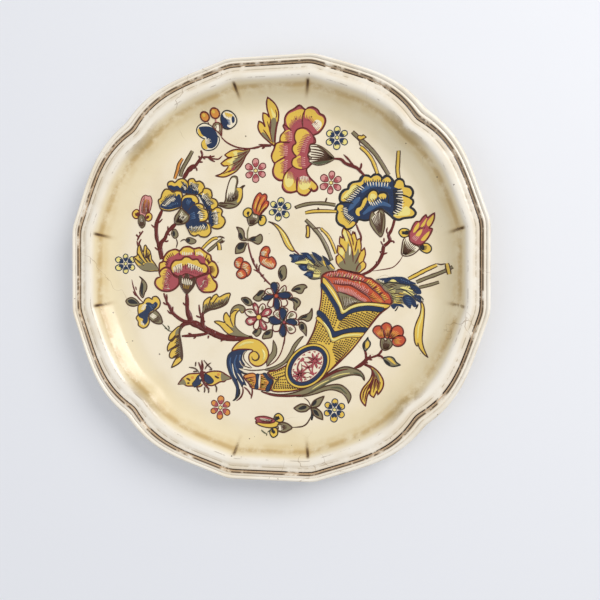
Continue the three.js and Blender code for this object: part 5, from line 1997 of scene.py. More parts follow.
for k in range(16):
    m.fill("rose", [rim[k], inner[k].lerp(rim[k], 0.3), rim[k].lerp(rim[(k + 1) % 16], 0.55)])
    m.layer -= 1
m.layer += 1
m.fill("rose", "25 -57.4 26 -58.4 27.2 -57.2 26 -56.2")
m.line(
    "rose",
    0.8,
    "18.6 -57 21.6 -60.6 24.2 -65.4",
    "17.6 -60 21.6 -61.6 24.6 -60.8",
    "17 -57 15.4 -60.6 15.2 -64.4",
    "24.6 -66 24.6 -62 25.4 -59.4",
    "17.8 -64.8 20.6 -62.4 24 -59.6",
)
m.fill("rose", "16.6 -57.6 18.4 -55.2 19.6 -56.6 18 -58")
m.fill("rose", "23 -65 25.2 -66.6 26 -65.4 24.2 -63.8")
m.line(
    "maroon",
    0.35,
    "19.6 -55.4 23 -55.2 25 -56.2",
    "19.4 -58 22.6 -58.2 25 -57.8",
    "16.2 -58.6 15.4 -62 15.6 -65",
    "17.6 -59 18 -62 17.4 -65",
    "18.6 -65.2 22 -64.6 23.4 -65.6",
    "18.4 -67.6 21 -68 23.6 -66.8",
)
m.finish("enamel_rose")

# %% [markdown]
# ## The middle: posies, small blossoms and the horn's tail
#
# The three posy flowers share `posy`, which takes each flower's petals as paths. Every petal gets a layer of
# its own, because two fills that cross on one layer lie in one plane and render as black patches.


# %% Posies in the middle
def posy(node, at, slot, petals, fills, eye, leaves=(), extra=None):
    m = Motif(node, at)
    for half, shade in leaves:
        m.fill("olive", half, "brown", 0.65)
        m.fill("black", shade)
        m.layer -= 3
    m.layer += 3 if leaves else 0
    if extra:
        m.line(*extra)
    for tone, outline in petals:
        m.fill(tone, outline, "maroon" if tone != "navy" else "black", 0.6)
    for tone, width, base, tip, count in fills:
        m.hatch(tone, width, base, tip, count, (0.5, 0.9))
    m.dots(eye[0], eye[1], eye[2], edge="maroon", width=0.45)
    m.finish(slot)


posy(
    "posy_blue_upper",
    (2.2, -15.5),
    "enamel_blue",
    [
        ("cream", "1 -15.6 2.4 -14 2.8 -12.4 3.4 -10.4 3 -9 1.8 -8.4 0.4 -10 0.4 -13"),
        ("navy", "0.6 -15.8 -0.9 -13.6 -1.9 -10.6 -1.4 -8.8 0.2 -8.2 1.8 -8.9 2.3 -10.8 1.7 -13.4"),
        ("cream", "2 -15.6 3.4 -13.4 5 -11.4 7 -10.2 7.9 -11.4 7.7 -14 6.2 -15.2 3.8 -15.8"),
        ("cream", "8.6 -14.4 10.6 -15 11.8 -16.8 10.9 -18 9 -17.6"),
        ("navy", "2.2 -16 4 -14.6 7.4 -14.2 9.8 -15 10.8 -16.6 9.4 -18 6.4 -18.4 3.6 -17.6"),
        ("cream", "3.2 -17.8 5.4 -18.9 7.6 -18.8 8.8 -21 7.8 -22.9 5.2 -23 4 -21"),
        ("cream", "2.2 -18.2 4.4 -19.6 4.9 -22.6 3.8 -24.6 2 -25.4 3 -22"),
        ("navy", "0.8 -17.9 0 -20 0 -22.8 1.4 -25.3 3 -25.4 3.7 -22.8 3.4 -20.2 2.2 -18"),
        ("cream", "0 -17.6 -1.6 -18.6 -3.4 -20.6 -3.9 -22.6 -2.4 -23.8 -0.8 -23.4 -0.2 -21"),
        ("navy", "0.2 -16.6 -2 -15.8 -4.6 -16.2 -6.4 -17.6 -7 -18.9 -5 -19.4 -2.6 -18.9 -0.4 -17.6"),
        ("cream", "-0.2 -15.6 -1.4 -12.6 -3.4 -12.1 -5.2 -13 -5.4 -14.6 -3.6 -15.8 -1.6 -15.8"),
    ],
    (
        ("olive", 0.4, "-4.6 -13.4 -3.6 -15 -2 -15", "-2 -16.4 -1 -15.4 0 -14.6", 5),
        ("olive", 0.4, "6.8 -11 6.8 -12.6 6.8 -14", "4 -14.6 3.6 -14.8 3 -15.2", 4),
    ),
    ("rust", 1.3, "1.6 -16.7"),
    (
        (
            "5 2 3.6 0.4 3 -2 3.4 -4.6 4.9 -7.3 4.9 -7.3 7.4 -5.6 8.1 -2.6 8 0.4 7 2.4",
            "5 0 3.4 -2 4 -5 5.2 -6 5.8 -4 4.6 -2",
        ),
        (
            "11.5 -13.3 13.4 -11 16.4 -9.7 19.6 -9.7 21.1 -11.3 19.6 -12.2 18 -14.9 15.8 -15 14 -14",
            "12.2 -13.2 14 -11.6 16.6 -11.4 17 -12.8 14.6 -13.2",
        ),
        (
            "9.3 -18.6 12 -17.9 14.8 -18.2 16.9 -20.2 16.4 -22.6 14.7 -24.2 14.2 -25.7 12.9 -24.6 12.9 "
            "-22 12.2 -20 10.6 -19.2",
            "10 -18.8 12.4 -18.2 15.2 -20 15 -21.6 13.4 -20.2",
        ),
        (
            "-13.3 -18 -10.8 -15.4 -8.8 -13.4 -6.2 -13.6 -6 -15.6 -7.6 -17.2 -8.2 -19.4 -10.4 -20 -12 "
            "-19.4",
            "-11 -16 -9 -13.8 -6.6 -13.8 -8 -15.6 -10 -17",
        ),
    ),
)
posy(
    "posy_blue_lower",
    (6.6, -32.5),
    "enamel_blue",
    [
        ("cream", "6.8 -31.8 7.8 -28 9 -25.8 8 -24.6 6 -24.2 7 -27"),
        ("navy", "5.6 -32 4.2 -30 3.4 -27 4.4 -24.8 5.6 -24.3 7.7 -25.8 8 -28 6.9 -30.6"),
        ("cream", "8.2 -31.6 8.9 -28.6 10.6 -26.8 12.8 -26.7 14.3 -28 14.3 -30.2 12.6 -31.4"),
        ("cream", "12 -31.2 14.6 -31.4 15.9 -32.8 15.6 -34.8 13.6 -34.8 12.4 -34.2"),
        ("navy", "7.8 -32.8 9.4 -31.4 12.4 -31.2 14.8 -33.4 13.4 -35 10.8 -35 8.8 -34"),
        ("cream", "7.8 -34.2 8.4 -37.2 9.8 -39.8 11.8 -40.2 13.6 -39 13.6 -36.8 11.6 -35 9.6 -34.6"),
        ("cream", "6.8 -34.6 7.8 -37.8 7.8 -40.6 6.6 -42 7.6 -36"),
        ("navy", "5.6 -34.3 4.4 -36.6 3.7 -39.4 5 -41.8 6.6 -42.2 7.6 -40 7.2 -37 6.6 -34.6"),
        ("cream", "4.6 -34.4 2.6 -34.6 0 -34.8 -0.7 -37 0.4 -39 3 -38.8 4 -36.8"),
        ("navy", "5 -33.2 3 -34.5 0 -34.7 -2.2 -33.4 -3 -31 -1.6 -29.8 1.4 -29.9 3.6 -31.4"),
        ("cream", "3.8 -31.6 1 -29.8 -0.1 -27.8 1 -26.2 3.2 -25.8 3.6 -28.6"),
    ],
    (
        ("olive", 0.4, "10.6 -27.6 12 -27.4 13.2 -28.6", "9 -31 9.6 -31 10.2 -30.8", 4),
        ("olive", 0.4, "9.8 -38.6 11 -38.8 12.6 -37.6", "8.4 -35 9 -35 9.4 -35", 4),
        ("olive", 0.4, "1 -28.6 1.2 -27.2 2.8 -26.8", "3.2 -30.6 3.6 -30.6 3.8 -30", 3),
    ),
    ("rose", 1.0, "6.7 -33.3"),
    (
        (
            "15.8 -31.4 17.6 -29.4 21 -28.2 23 -26.8 24.3 -24.6 24.4 -29 23.4 -31.6 21.4 -32.6 19 -31.6",
            "16.8 -31.2 18.4 -29.6 21.4 -28.8 20.6 -30.4 19 -30.6",
        ),
        (
            "16.3 -33.6 18 -33.2 20 -34.6 20.8 -37 20.7 -41.9 20.7 -41.9 19 -39.6 17 -37.6 16.2 -35.6",
            "17 -34.6 18.8 -34.4 19.4 -37.2 17.8 -38 16.9 -36.6",
        ),
        (
            "-7.2 -43.8 -6.8 -41.4 -4.6 -39 -1.2 -38.2 -1 -41 -1.8 -43 -4.6 -43.6",
            "-6 -40.8 -4.2 -39.2 -2 -39.2 -3 -41 -5 -41.6",
        ),
    ),
    ("brown", 0.55, "7.2 -42.2 6.9 -45 6.5 -47.4"),
)
posy(
    "posy_rose",
    (-9.8, -29.2),
    "enamel_rose",
    [
        ("cream", "-10.2 -28.6 -9.9 -25.4 -8.6 -22.6 -7 -21.7 -5.6 -22.6 -5.4 -24.6 -7.6 -27"),
        ("rose", "-10.4 -28.6 -12 -26.4 -13.4 -23.6 -12.8 -21.2 -11.2 -22 -10 -24 -9.8 -26.6"),
        ("rose", "-8 -28.4 -6.8 -26 -5 -24.8 -2.6 -24.9 -1.4 -26.4 -2.4 -28.6 -4.8 -29.6 -7.4 -29.6"),
        ("cream", "-8 -30.4 -5.6 -30 -3.2 -31.2 -3.6 -33.6 -5.6 -33.2 -7.4 -31.8"),
        ("rose", "-8.8 -31.4 -6.4 -33.4 -4.6 -36 -5 -38.1 -7 -38.2 -8.6 -36.4 -9.4 -33.6"),
        ("cream", "-9.6 -31.8 -9.4 -35.4 -10.6 -37.8 -12.6 -37.4 -13 -35.2 -11.6 -32.8"),
        ("rose", "-10.8 -30.6 -14 -30.2 -16.8 -30.8 -18.2 -33 -16.4 -35.1 -14 -35 -12 -32.8"),
        ("cream", "-10.8 -29.4 -12 -27.6 -13.4 -25.6 -16 -25.2 -18.7 -26.4 -17 -29.2 -14 -30"),
    ],
    (
        ("cream", 0.5, "-12.6 -24 -11.8 -23 -11 -24.4", "-11 -27.4 -10.6 -27.4 -10.4 -27", 3),
        ("cream", 0.5, "-16.6 -32 -16.6 -33.2 -15.4 -34.4", "-12.6 -31.4 -12.6 -31.6 -12 -32.4", 4),
        ("cream", 0.5, "-6 -37 -5.6 -36 -6.4 -34.6", "-8 -33 -8 -33 -8 -32.6", 3),
        ("cream", 0.5, "-3.4 -26 -3 -27 -4 -28.4", "-6.4 -27.6 -6.8 -28 -6.6 -28.8", 3),
        ("olive", 0.4, "-17.4 -26.4 -15.6 -26 -14.4 -26.4", "-14 -28.6 -13.4 -28.4 -12.6 -28.4", 4),
        ("olive", 0.4, "-7.4 -22.8 -6.6 -23.6 -6.4 -24.6", "-8.8 -26 -8.4 -26.2 -8 -26.6", 3),
    ),
    ("yellow", 1.7, "-9.6 -30.2"),
    (
        (
            "-21 -18.6 -19.6 -17.8 -17.4 -17.8 -15 -19.4 -14 -21.4 -15 -22.8 -17.4 -22.6 -19.4 -21",
            "-20.2 -18.8 -18 -18.4 -16 -20.4 -16.6 -22 -18.6 -21",
        ),
        (
            "-13.6 -40.2 -12 -38.2 -10.4 -37 -8.6 -37.8 -8.3 -39.6 -9.6 -41.6 -11.4 -42.4 -12.6 -41.2",
            "-13 -40 -11.4 -38 -10.2 -37.8 -10.8 -39.6 -12 -40.6",
        ),
    ),
    ("brown", 0.5, "-14.4 -21.6 -13.4 -22.8 -12.8 -24"),
)

# %% Stem, open blossoms and bud in the middle
m = Motif("stem_centre", (-11.2, 9.5))
m.line("olive", 0.8, "-15.9 27.6 -17 24 -17 20 -16.6 17.6")
m.line("maroon", 1.0, "-16.7 17 -15.6 11.6 -13.6 5.4 -11.4 1.2 -8.4 -3 -5 -7 -1.4 -10.4", taper=(0.6, 0.8))
m.line(
    "maroon",
    0.7,
    "-8.6 3.4 -9.6 1.4 -9.4 -1.4",
    "-13.2 0 -11 -1 -9.8 -2.2",
    "-12.6 4.4 -13.6 7.4",
    "-10.8 1 -11 3.8",
    "-8.6 -4 -7 -4.6",
    "-5 -6.6 -6.4 -7.8",
    "-7.6 -3.8 -6.2 -3.4",
)
LEAVES = [
    (
        "-17.4 18.6 -19 20.6 -19.2 23.6 -20.8 26 -24.2 27.1 -24.2 27.1 -22.7 23.8 -22.6 20.6 -20.8 18.6",
        "-20.8 19.2 -22.4 21 -22 23.6 -20.6 22 -20 20",
    ),
    (
        "-16.4 18.8 -14 20.4 -11.4 20.8 -8.6 22.2 -7.4 20.4 -7.8 17.6 -9.8 16 -12 16.6 -14 17.8",
        "-15.4 19 -13 20.4 -11.4 20 -12.4 19 -11 18.6 -13.2 18",
    ),
    (
        "-17.6 16.6 -20 17 -22.6 16.6 -24.6 14 -24.9 10.2 -24.9 10.2 -21.6 10.6 -19.4 11.6 -18.4 14.4",
        "-19 16.6 -22.4 16.4 -23.8 13.8 -22 12.6 -19.6 14",
    ),
]
for outline, shade in LEAVES:
    m.fill("olive", outline, "brown", 0.65)
    m.fill("black", shade)
    m.layer -= 3
m.layer += 3
m.finish("enamel_maroon")

for node, at, lobes in (
    (
        "blossom_orange_left",
        (-20.0, 1.5),
        (
            (
                "-20 5 -20 7 -22 7.9 -24.4 6.8 -25.6 4.4 -25.1 2 -22.6 0.6 -20.4 2",
                ("-24.6 5.6 -24.8 4 -23.6 2", "-20.6 4.4 -21 3 -21.4 1.4", 6),
            ),
            (
                "-21 3.4 -19.4 5.2 -17 4.6 -15.2 2.6 -14.6 0 -15.6 -3 -18 -4.4 -20.4 -2 -21.4 0.8",
                ("-19.6 4.4 -20.4 1.4 -19.6 -2", "-15.4 2.4 -14.8 0 -15.8 -3", 8),
            ),
            (
                "-18.6 -0.6 -17.4 -3.4 -19 -5.3 -21.6 -5.7 -23.8 -4.2 -24.1 -2 -22.4 0 -20.2 0.4",
                ("-23.4 -2.2 -23.2 -3.6 -21.6 -5", "-20 -0.6 -19.6 -2 -18.6 -3.4", 6),
            ),
        ),
    ),
    (
        "blossom_orange_right",
        (-4.3, 7.2),
        (
            (
                "-8.7 8 -8.2 12 -5.8 14.4 -3.2 14 -2.3 11.4 -3.4 9.2 -3.2 7 -5.6 5",
                ("-8 11 -8 9 -8 7.4", "-3.4 13.4 -3.6 10.4 -4 8.4", 8),
            ),
            (
                "-8.9 8.6 -6 8 -3.2 7.2 -1.4 8 0.6 6.4 1.6 3.6 0.4 1 -2.2 0.2 -5 1.4 -8 3.2 -9.2 5.4",
                ("-8 4.4 -4.4 2 -0.4 1", "-6 7.8 -2.4 7 1 4.6", 11),
            ),
        ),
    ),
):
    m = Motif(node, at)
    for outline, row in lobes:
        m.fill("rust", outline, "maroon", 0.6)
        m.hatch("orange", 0.75, *row, (0.6, 0.95))
        m.hatch("cream", 0.35, *row[:2], row[2] - 2, (0.4, 0.8))
    m.finish("enamel_orange")

m = Motif("bud_orange_centre", (-11.3, 38.4))
m.fill(
    "rust",
    "-12.6 35.4 -13.9 39 -12.8 43.6 -11.2 46.8 -9 48.6 -7.4 47.2 -5.8 47.8 -4.4 46.4 -4.6 43.6 -3.2 "
    "42.6 -3.8 40 -6.4 37 -8.8 34.4 -10.6 34.4",
    "maroon",
    0.65,
)
m.line(
    "orange",
    1.2,
    "-12.4 38 -11.6 42 -9.6 46.4",
    "-10.6 36.4 -9.2 41 -6 46",
    "-9.2 35.8 -6.4 39 -4.6 41.4",
)
m.line("yellow", 0.5, "-12.6 38.4 -11.2 42.6", "-9.8 37 -8.6 41", "-8 37 -5.6 40")
m.line("maroon", 0.55, "-11.6 36 -10.4 41 -8 46.4", "-9.8 35.4 -7.6 40.4 -5 44", "-9 35 -6.8 37.6 -5 39.4")
m.fill(
    "olive",
    "-16.4 35.6 -17.2 32.6 -15.9 28.4 -14.4 28 -12 29 -9.9 30.4 -9.4 32.8 -10.6 34.6 -12.6 35.2 -14 35.8",
    "brown",
    0.65,
)
m.hatches(
    ("brown", 0.5, "-15.6 29 -14.6 28.6 -12.8 29.2", "-16 34.6 -12.8 34.8 -10 32.8", 7),
    ("cream", 0.5, "-13.4 33 -11 32.4", "-13.6 35 -10.6 34.2", 4),
)
berry(
    m,
    "-17 39.1 -19.4 37.4 -19.6 34.8 -17.6 33.2 -15.2 34 -13.9 36.4 -14.6 38.4",
    "-17 36.8 -17.4 35.4 -16.2 35.2 -15.6 36.6",
    ("-17.6 36 -16.9 34.4", "-15.6 35.4 -16.2 33.8"),
)
berry(
    m,
    "-9.7 30.2 -9.4 28.6 -8 27.8 -6 28.6 -4.9 30.8 -5.4 33.2 -7 34.2 -8.8 33.6",
    "-9.2 33.4 -9 30.8 -8 31 -8.2 33",
    ("-9 31.6 -8.6 33", "-6.4 33.4 -7.6 34"),
)
m.finish("enamel_orange")

# %% Ribbon and sticks in the middle
m = Motif("ribbon_west", (5.8, 20.6))
m.fill(
    "yellow",
    "-3.4 30.2 -0.6 29.4 2.8 27.6 6 24.4 8.6 20.8 11 16 13 12.4 12.2 11.3 9.8 12.4 7.2 15.6 5.2 20 3.2 "
    "24.4 0.4 27.8 -1.8 29.4",
    "brown",
    0.6,
)
m.line("maroon", 0.8, "12.8 12 14.6 10.6 16.2 9.2")
m.line("lemon", 0.7, "3 26 6.2 22 9 16.4 11.4 13")
m.finish("enamel_yellow")

m = Motif("sticks_blue_west", (26.2, 38.7))
stick(m, "13.6 38.6 19 40.2 25 41 32 40.8 39 39.6", "olive", 2.0)
stick(m, "20 35.2 25 36 32 36 39.6 35.6", "yellow", 1.9)
m.line("brown", 0.8, "32.6 41.4 33.6 44.4", "28.6 36.6 28 38.4", "14 38.4 13.4 39.6")
m.finish("enamel_yellow")

# %% Scroll, plumes and collar at the horn's tail
m = Motif("horn_collar", (-9.7, -70.6))
m.fill(
    "orange",
    "-19.6 -68.4 -17.6 -66.6 -13.6 -65.8 -11 -66.8 -6.4 -66.2 -3.2 -67.4 -0.4 -71 -2 -76.4 -6 -76.6 "
    "-10.6 -76 -14.8 -75 -16.4 -72.4",
    "maroon",
    0.6,
)
m.hatches(
    ("maroon", 0.7, "-19 -69 -16.6 -72 -14.8 -74.6", "-11.8 -67.4 -11.8 -70.8 -11.8 -74.4", 6),
    ("maroon", 0.7, "-8.4 -67.4 -8.6 -71.4 -9 -75.6", "-4.4 -68.4 -3.4 -71.6 -4.6 -75.6", 7),
    ("yellow", 0.8, "-18 -69.8 -16 -71.8 -14.6 -73.6", "-12.6 -68.6 -12.6 -70.6 -12.6 -73.4", 4),
    ("yellow", 0.8, "-8 -68 -8.2 -71 -8.6 -75", "-5 -69 -4.4 -71.6 -5.2 -75", 5),
)
m.fill("navy", "-11.6 -66.8 -9.4 -66.6 -9.6 -70.4 -10.3 -75.6 -12.4 -75 -11.4 -71", "black", 0.4)
m.fill("cream", "-9.2 -67 -8.7 -66.8 -8.8 -71.2 -9.6 -75.6 -9.9 -71")
m.fill(
    "navy",
    "-7 -66 -5 -65.8 -3.4 -68 -0.2 -70.8 -2 -73.4 -3 -76.9 -5.2 -76.7 -4.4 -73.6 -3 -71.4 -5 -69",
    "black",
    0.4,
)
m.finish("enamel_orange")

m = Motif("horn_scroll", (-16.3, -52.1))
m.layer = 4
m.fill(
    "cream",
    "-20.4 -57.4 -20.2 -54.4 -18.6 -52 -15 -51.4 -12 -53 -13 -57 -16 -60 -12.6 -62.4 -8 -62.6 -4.6 "
    "-63.4 -14 -64 -20 -63.2 -18.6 -60.6",
)
m.fill(
    "yellow",
    "-27.2 -51.6 -24.6 -47.6 -20.4 -44.8 -15 -43.6 -10 -44.6 -6.4 -47.2 -4 -50.6 -3.5 -54.6 -5 -58.2 "
    "-8.2 -60.8 -12 -61.2 -15.2 -59 -16.2 -56 -15.6 -53.4 -13.6 -51.8 -14.8 -50.8 -19 -50.6 -23 -50.8",
    "maroon",
    0.7,
)
m.line("brown", 0.8, "-14 -51.8 -11.6 -52.2 -9.7 -54.2 -10 -56.6 -12 -57.7 -13.8 -56.8 -14.2 -55.2")
m.line(
    "brown",
    0.55,
    "-17.4 -51.6 -19.2 -53.4 -19.6 -56 -18.4 -58.4 -16 -60.8 -14 -62.4",
    "-21.6 -58.6 -20 -60.8 -17 -62 -14.6 -62.6",
    "-21 -63 -15 -64 -8 -63.6 -4.4 -63",
)
m.line("lemon", 1.1, "-23 -49 -18.6 -46.6 -13 -46.2", "-7.6 -50.4 -6 -54 -7 -57.4")
m.finish("enamel_yellow")

m = Motif("horn_plumes", (-22.7, -66.7))
plume = (
    "-27 -52 -23 -50.9 -18.6 -50.4 -15.8 -51.4 -18.4 -52 -20.2 -54.2 -20.6 -57.6 -19 -60.4 -18.2 -62.8 "
    "-21.4 -62.6 -20 -65.4 -16.4 -66.4"
)
plume += (
    " -19.6 -66.4 -21.4 -65.4 -20.4 -68 -17.8 -73.8 -17.8 -73.8 -19.8 -73.2 -20.4 -75 -21.6 -73 -24.2 "
    "-69.4 -22.6 -75.4 -23 -80 -25 -82.6"
)
plume += " -24.4 -78 -24.6 -74.8 -27 -70 -29.4 -65 -30.6 -60 -29.9 -55"
m.fill("navy", plume, "black", 0.4)
m.line("black", 1.1, "-22.4 -76 -22.7 -79.8 -25 -82.6 -26.8 -83.8", taper=(0.8, 0.1))
m.line(
    "maroon",
    0.8,
    "-20.2 -74.6 -20 -78 -21.6 -81.6 -24.4 -83.8",
    "-19.4 -74.8 -16.6 -77 -14.9 -80",
    "-14.2 -75 -13.9 -78 -14.8 -82.2",
    "-19.6 -68 -16 -72.6 -14.2 -75.2",
)
m.line(
    "blue",
    0.8,
    "-28 -56 -28.6 -60 -26.4 -67.4",
    "-24 -54.4 -25.6 -60 -23.4 -66.4",
    "-21.8 -54 -22.6 -58.6",
)
m.line(
    "cream",
    0.5,
    "-27 -60 -26 -66 -24.2 -69.6",
    "-23.6 -66 -21.6 -69 -20 -71.6",
    "-22.2 -58 -20.6 -60.8 -17.6 -62.6",
    "-22.6 -63 -19.6 -64.6 -15.6 -65.2",
)
m.finish("enamel_blue")

# %% Scroll leaf beside the horn
m = Motif("scroll_leaf", (-27.2, -33.3))
blade = (
    "-13.6 -43 -18 -42.6 -24 -42.6 -28 -42 -31.6 -39.6 -35 -36 -38.8 -33.3 -35.6 -32.9 -31.8 -33.8 -32.6 "
    "-32 -32.4 -29 -30.9 -27.4"
)
blade += (
    " -29.6 -29 -28.4 -30.2 -28 -27 -26.4 -24 -23.4 -22.4 -20.4 -22.9 -18.6 -24.8 -19.4 -27 -20.9 -27.6 "
    "-22.4 -26 -24.6 -28.6 -25.2 -32 -25 -36 -22 -39.4 -18 -41.8"
)
m.fill("yellow", blade, "brown", 0.65)
m.fill(
    "olive",
    "-16 -42.7 -21 -42.4 -26 -42 -29 -41 -26.4 -39.6 -28.6 -36.6 -26.4 -37 -25.6 -35.2 -24.8 -36.8 "
    "-21.6 -39.9",
)
m.fill(
    "olive",
    "-27.9 -27.6 -26.2 -24.4 -23.2 -22.8 -20.2 -23.4 -19 -25 -19.8 -26.8 -21.6 -26.4 -23 -24.8 -25.6 "
    "-25.4 -27 -27.4",
)
m.line(
    "brown",
    0.6,
    "-31.6 -34.2 -28.6 -36.8 -26 -39.6",
    "-28.4 -30 -27.8 -33 -26.2 -36.6",
    "-27.8 -28.4 -26 -26.4 -23.6 -25.8",
)
m.finish("enamel_yellow")

# %% Bud at the bottom
m = Motif("bud_south", (6.1, -97.5))
m.line("brown", 0.7, "11.4 -99.6 15 -99.2 18.4 -98.6 21 -96.8 23 -93.6 24.2 -90.6")
m.fill(
    "yellow",
    "-11.8 -96.4 -10 -98.6 -5.6 -99.9 -1 -100.1 2.6 -98.8 3 -96.6 0 -95.2 -5 -96 -9 -96.6",
    "brown",
    0.6,
)
m.fill(
    "rose",
    "-12.2 -94.4 -10 -93.4 -5.6 -93.1 -1.4 -94.2 1.2 -95.6 -1.6 -97.2 -6.6 -97.4 -10.4 -97 -11.6 -97.8 "
    "-11.2 -95.8",
    "maroon",
    0.6,
)
m.hatches(
    ("maroon", 0.5, "-0.6 -95 -1 -96 -2 -97", "-11 -94.2 -11.4 -95.6 -10.6 -96.6", 5),
    ("cream", 0.5, "-1.6 -95.2 -2.4 -96", "-9.4 -94 -9.6 -95.4", 3),
)
berry(
    m,
    "0.3 -94.8 0.6 -92.4 2.6 -91 4.8 -91.8 6.2 -94 5.6 -96 3 -96.4",
    "0.8 -94.8 1 -92.8 3.2 -93.4 2.4 -95.4",
    ("2.8 -92.4 2.4 -93.6", "4.4 -95 2.8 -95.2"),
)
berry(
    m,
    "-1 -100.4 1.6 -100.2 2.6 -102.6 2 -104.8 -0.2 -105.8 -2 -104.4 -2.4 -102.4",
    "-1.4 -101 -0.2 -100.8 0 -103 -1.4 -103",
    ("1 -103.2 -0.2 -103.8", "0.8 -101.4 -0.8 -101.2"),
)
m.fill(
    "olive",
    "2.4 -98.6 4.4 -96.8 7.4 -96.8 10 -98 11.6 -99.8 9.4 -101.4 6.6 -102.6 3.8 -102.2 2 -100.6 3.8 -99.8",
    "brown",
    0.7,
)
m.hatches(
    ("cream", 0.7, "2.8 -98.6 3.4 -100.2 3 -101.4", "6 -98.4 6.6 -100 6 -101.6", 4),
    ("brown", 0.5, "4 -97.6 4.6 -101.6", "8.6 -98.6 8.8 -100.4", 5),
)
m.line("moss", 0.5, "-8 -101.6 -6.6 -102.9 -4.8 -103.8", "-4.4 -103.6 -4.4 -105", "-4 -103 -1.6 -101")
m.finish("enamel_rose")

# %% [markdown]
# ## The left side: branch, butterfly, buds and carnations
#
# `branch` draws a thorny branch as strokes of falling width, then its twigs as strokes that thin to a
# point. The carnations are overlapping petals, and rows of `hatches` shade them.


# %% Main branch on the left
def branch(m, rows, twigs, tone="maroon"):
    for width, text in rows:
        m.line(tone, width, text, taper=(0.75, 0.6))
    m.line(tone, 0.8, *twigs, taper=(1, 0.3))


m = Motif("branch_main", (-45.5, -30.6))
rows = (
    (2.2, "-14 -43 -20 -43.6 -26 -44.2 -32 -43.8"),
    (3.2, "-24 -44 -32 -43.4 -38 -41.4 -43 -39 -48 -36.8"),
    (3.4, "-38 -41.6 -44 -38.6 -50 -35.4 -55 -33.8"),
    (3.0, "-50 -36 -54 -33.8 -55.4 -30 -57 -25.6"),
    (2.0, "-54.6 -31.6 -56.8 -26 -57 -20 -57.2 -15"),
    (2.2, "-54 -34.2 -58 -34.6 -60.4 -36 -61.4 -38"),
    (1.7, "-53.6 -33.4 -59 -33 -63 -31 -66.6 -27.8 -69 -23.4 -71 -20.4"),
    (1.1, "-70.4 -22 -71.2 -19.4 -72.8 -15"),
    (1.9, "-44.6 -38.4 -46.6 -34.6 -46.8 -31 -48 -28"),
    (0.9, "-47 -31.6 -48.4 -27.4 -49 -22.4"),
    (1.0, "-46.6 -33 -46.4 -30 -46.2 -27.4"),
    (1.5, "-42.6 -40.6 -48 -41.8 -54 -42.4 -60.6 -42.8"),
)
twigs = (
    "-70.8 -21.6 -70.6 -18.4 -70.8 -15.6", "-70.4 -22.4 -72 -22 -73.2 -20.8",
    "-65.6 -28.4 -68.4 -28 -70.4 -26", "-66.8 -26.4 -66.6 -23.6", "-57.2 -23 -58.6 -22.4 -59.8 -21",
    "-48 -30.6 -49.6 -30.2 -51 -29.4", "-46.2 -34.2 -45 -32.8", "-40 -41 -40 -38",
    "-42.6 -42.2 -43 -44.2", "-31 -44.6 -33.4 -45 -34.6 -46", "-53.4 -42.2 -55 -41.2 -56.4 -41",
    "-51 -42 -51.6 -43.6 -52.8 -44.2", "-30.6 -42.6 -30.4 -41.2",
)
branch(m, rows, twigs)
m.finish("enamel_maroon")

m = Motif("leaf_branch", (-37.2, -19.2))
blade = (
    "-46.6 -28.4 -46.4 -26 -46 -21 -44 -18.6 -41.4 -17.4 -41 -19 -39.6 -16.8 -37.4 -15.6 -36.2 -17 -35.4 "
    "-17.4 -31.4 -15.4 -28.4 -15.2"
)
blade += " -29 -18 -30.4 -21.4 -33.6 -23.6 -37.6 -25 -42 -26"
m.fill("yellow", blade, "brown", 0.65)
m.fill(
    "olive",
    "-46.2 -27.6 -45.4 -22.4 -43.6 -22 -41 -20.6 -38.4 -21 -35 -19 -32.4 -18.6 -30 -17 -29.8 -19.6 "
    "-31.4 -22 -35 -24 -40 -25.4",
)
m.fill(
    "brown",
    "-46.2 -28 -44.4 -25 -40 -24.6 -36 -23.6 -32.4 -21.6 -30.2 -18.8 -31 -21.8 -35 -24.4 -41 -26",
)
m.hatches(
    ("brown", 0.6, "-45.4 -26 -41 -24.8 -33 -22", "-44 -20.4 -38.6 -20.4 -31 -18.4", 11),
    ("yellow", 0.5, "-44.6 -23 -39 -22 -32 -19", "-43.4 -19 -38 -18 -31 -16.6", 6),
)
m.line("brown", 0.6, "-41.2 -18.4 -42 -20.6 -43 -23", "-36.4 -17 -38.6 -20 -40 -22")
m.finish("enamel_olive")

m = Motif("leaf_hanging", (-63.1, -49.5))
LOBES = (
    "-60.2 -36 -63 -36.6 -66 -39 -68.8 -42 -69.4 -45.4 -67 -44.6 -64.6 -42 -62 -40",
    "-62.4 -41 -65.4 -43.2 -68.6 -46.6 -70.3 -49.8 -70 -52.6 -68 -51 -65 -49.2 -62.6 -46",
    "-62.4 -48 -66 -50.2 -68.4 -53 -69 -56 -67.4 -57.2 -64.4 -56 -62 -54",
    "-61.8 -55.4 -64 -56.6 -66 -59.6 -67.8 -63.4 -67.8 -63.4 -63.6 -61.2 -60.6 -58.4 -60.4 -56",
)
for lobe in LOBES:
    m.fill("yellow", lobe, "brown", 0.65)
m.fill(
    "olive",
    "-60.4 -36.2 -62.4 -37.2 -64.4 -39 -65 -41.4 -64 -44 -64.6 -47 -63.6 -50 -64.6 -53 -62.6 -56 -60.2 "
    "-57 -60.4 -51 -61.6 -45 -61.4 -40",
)
m.fill(
    "brown",
    "-59.8 -35.6 -61.6 -36.6 -62.8 -40 -62.6 -44.6 -61.6 -49 -61.6 -54 -61.4 -57.6 -59.8 -57 -59.9 -52 "
    "-60.8 -46 -61.6 -41.4 -61.2 -38",
)
m.hatches(
    ("brown", 0.55, "-61.6 -42 -61.4 -49 -61 -56", "-65.6 -44.4 -65.6 -51.6 -65 -58.4", 12),
    ("gold", 0.6, "-63 -39.6 -62.6 -48 -62 -58", "-66.4 -42.6 -66 -50 -64.6 -60", 5),
)
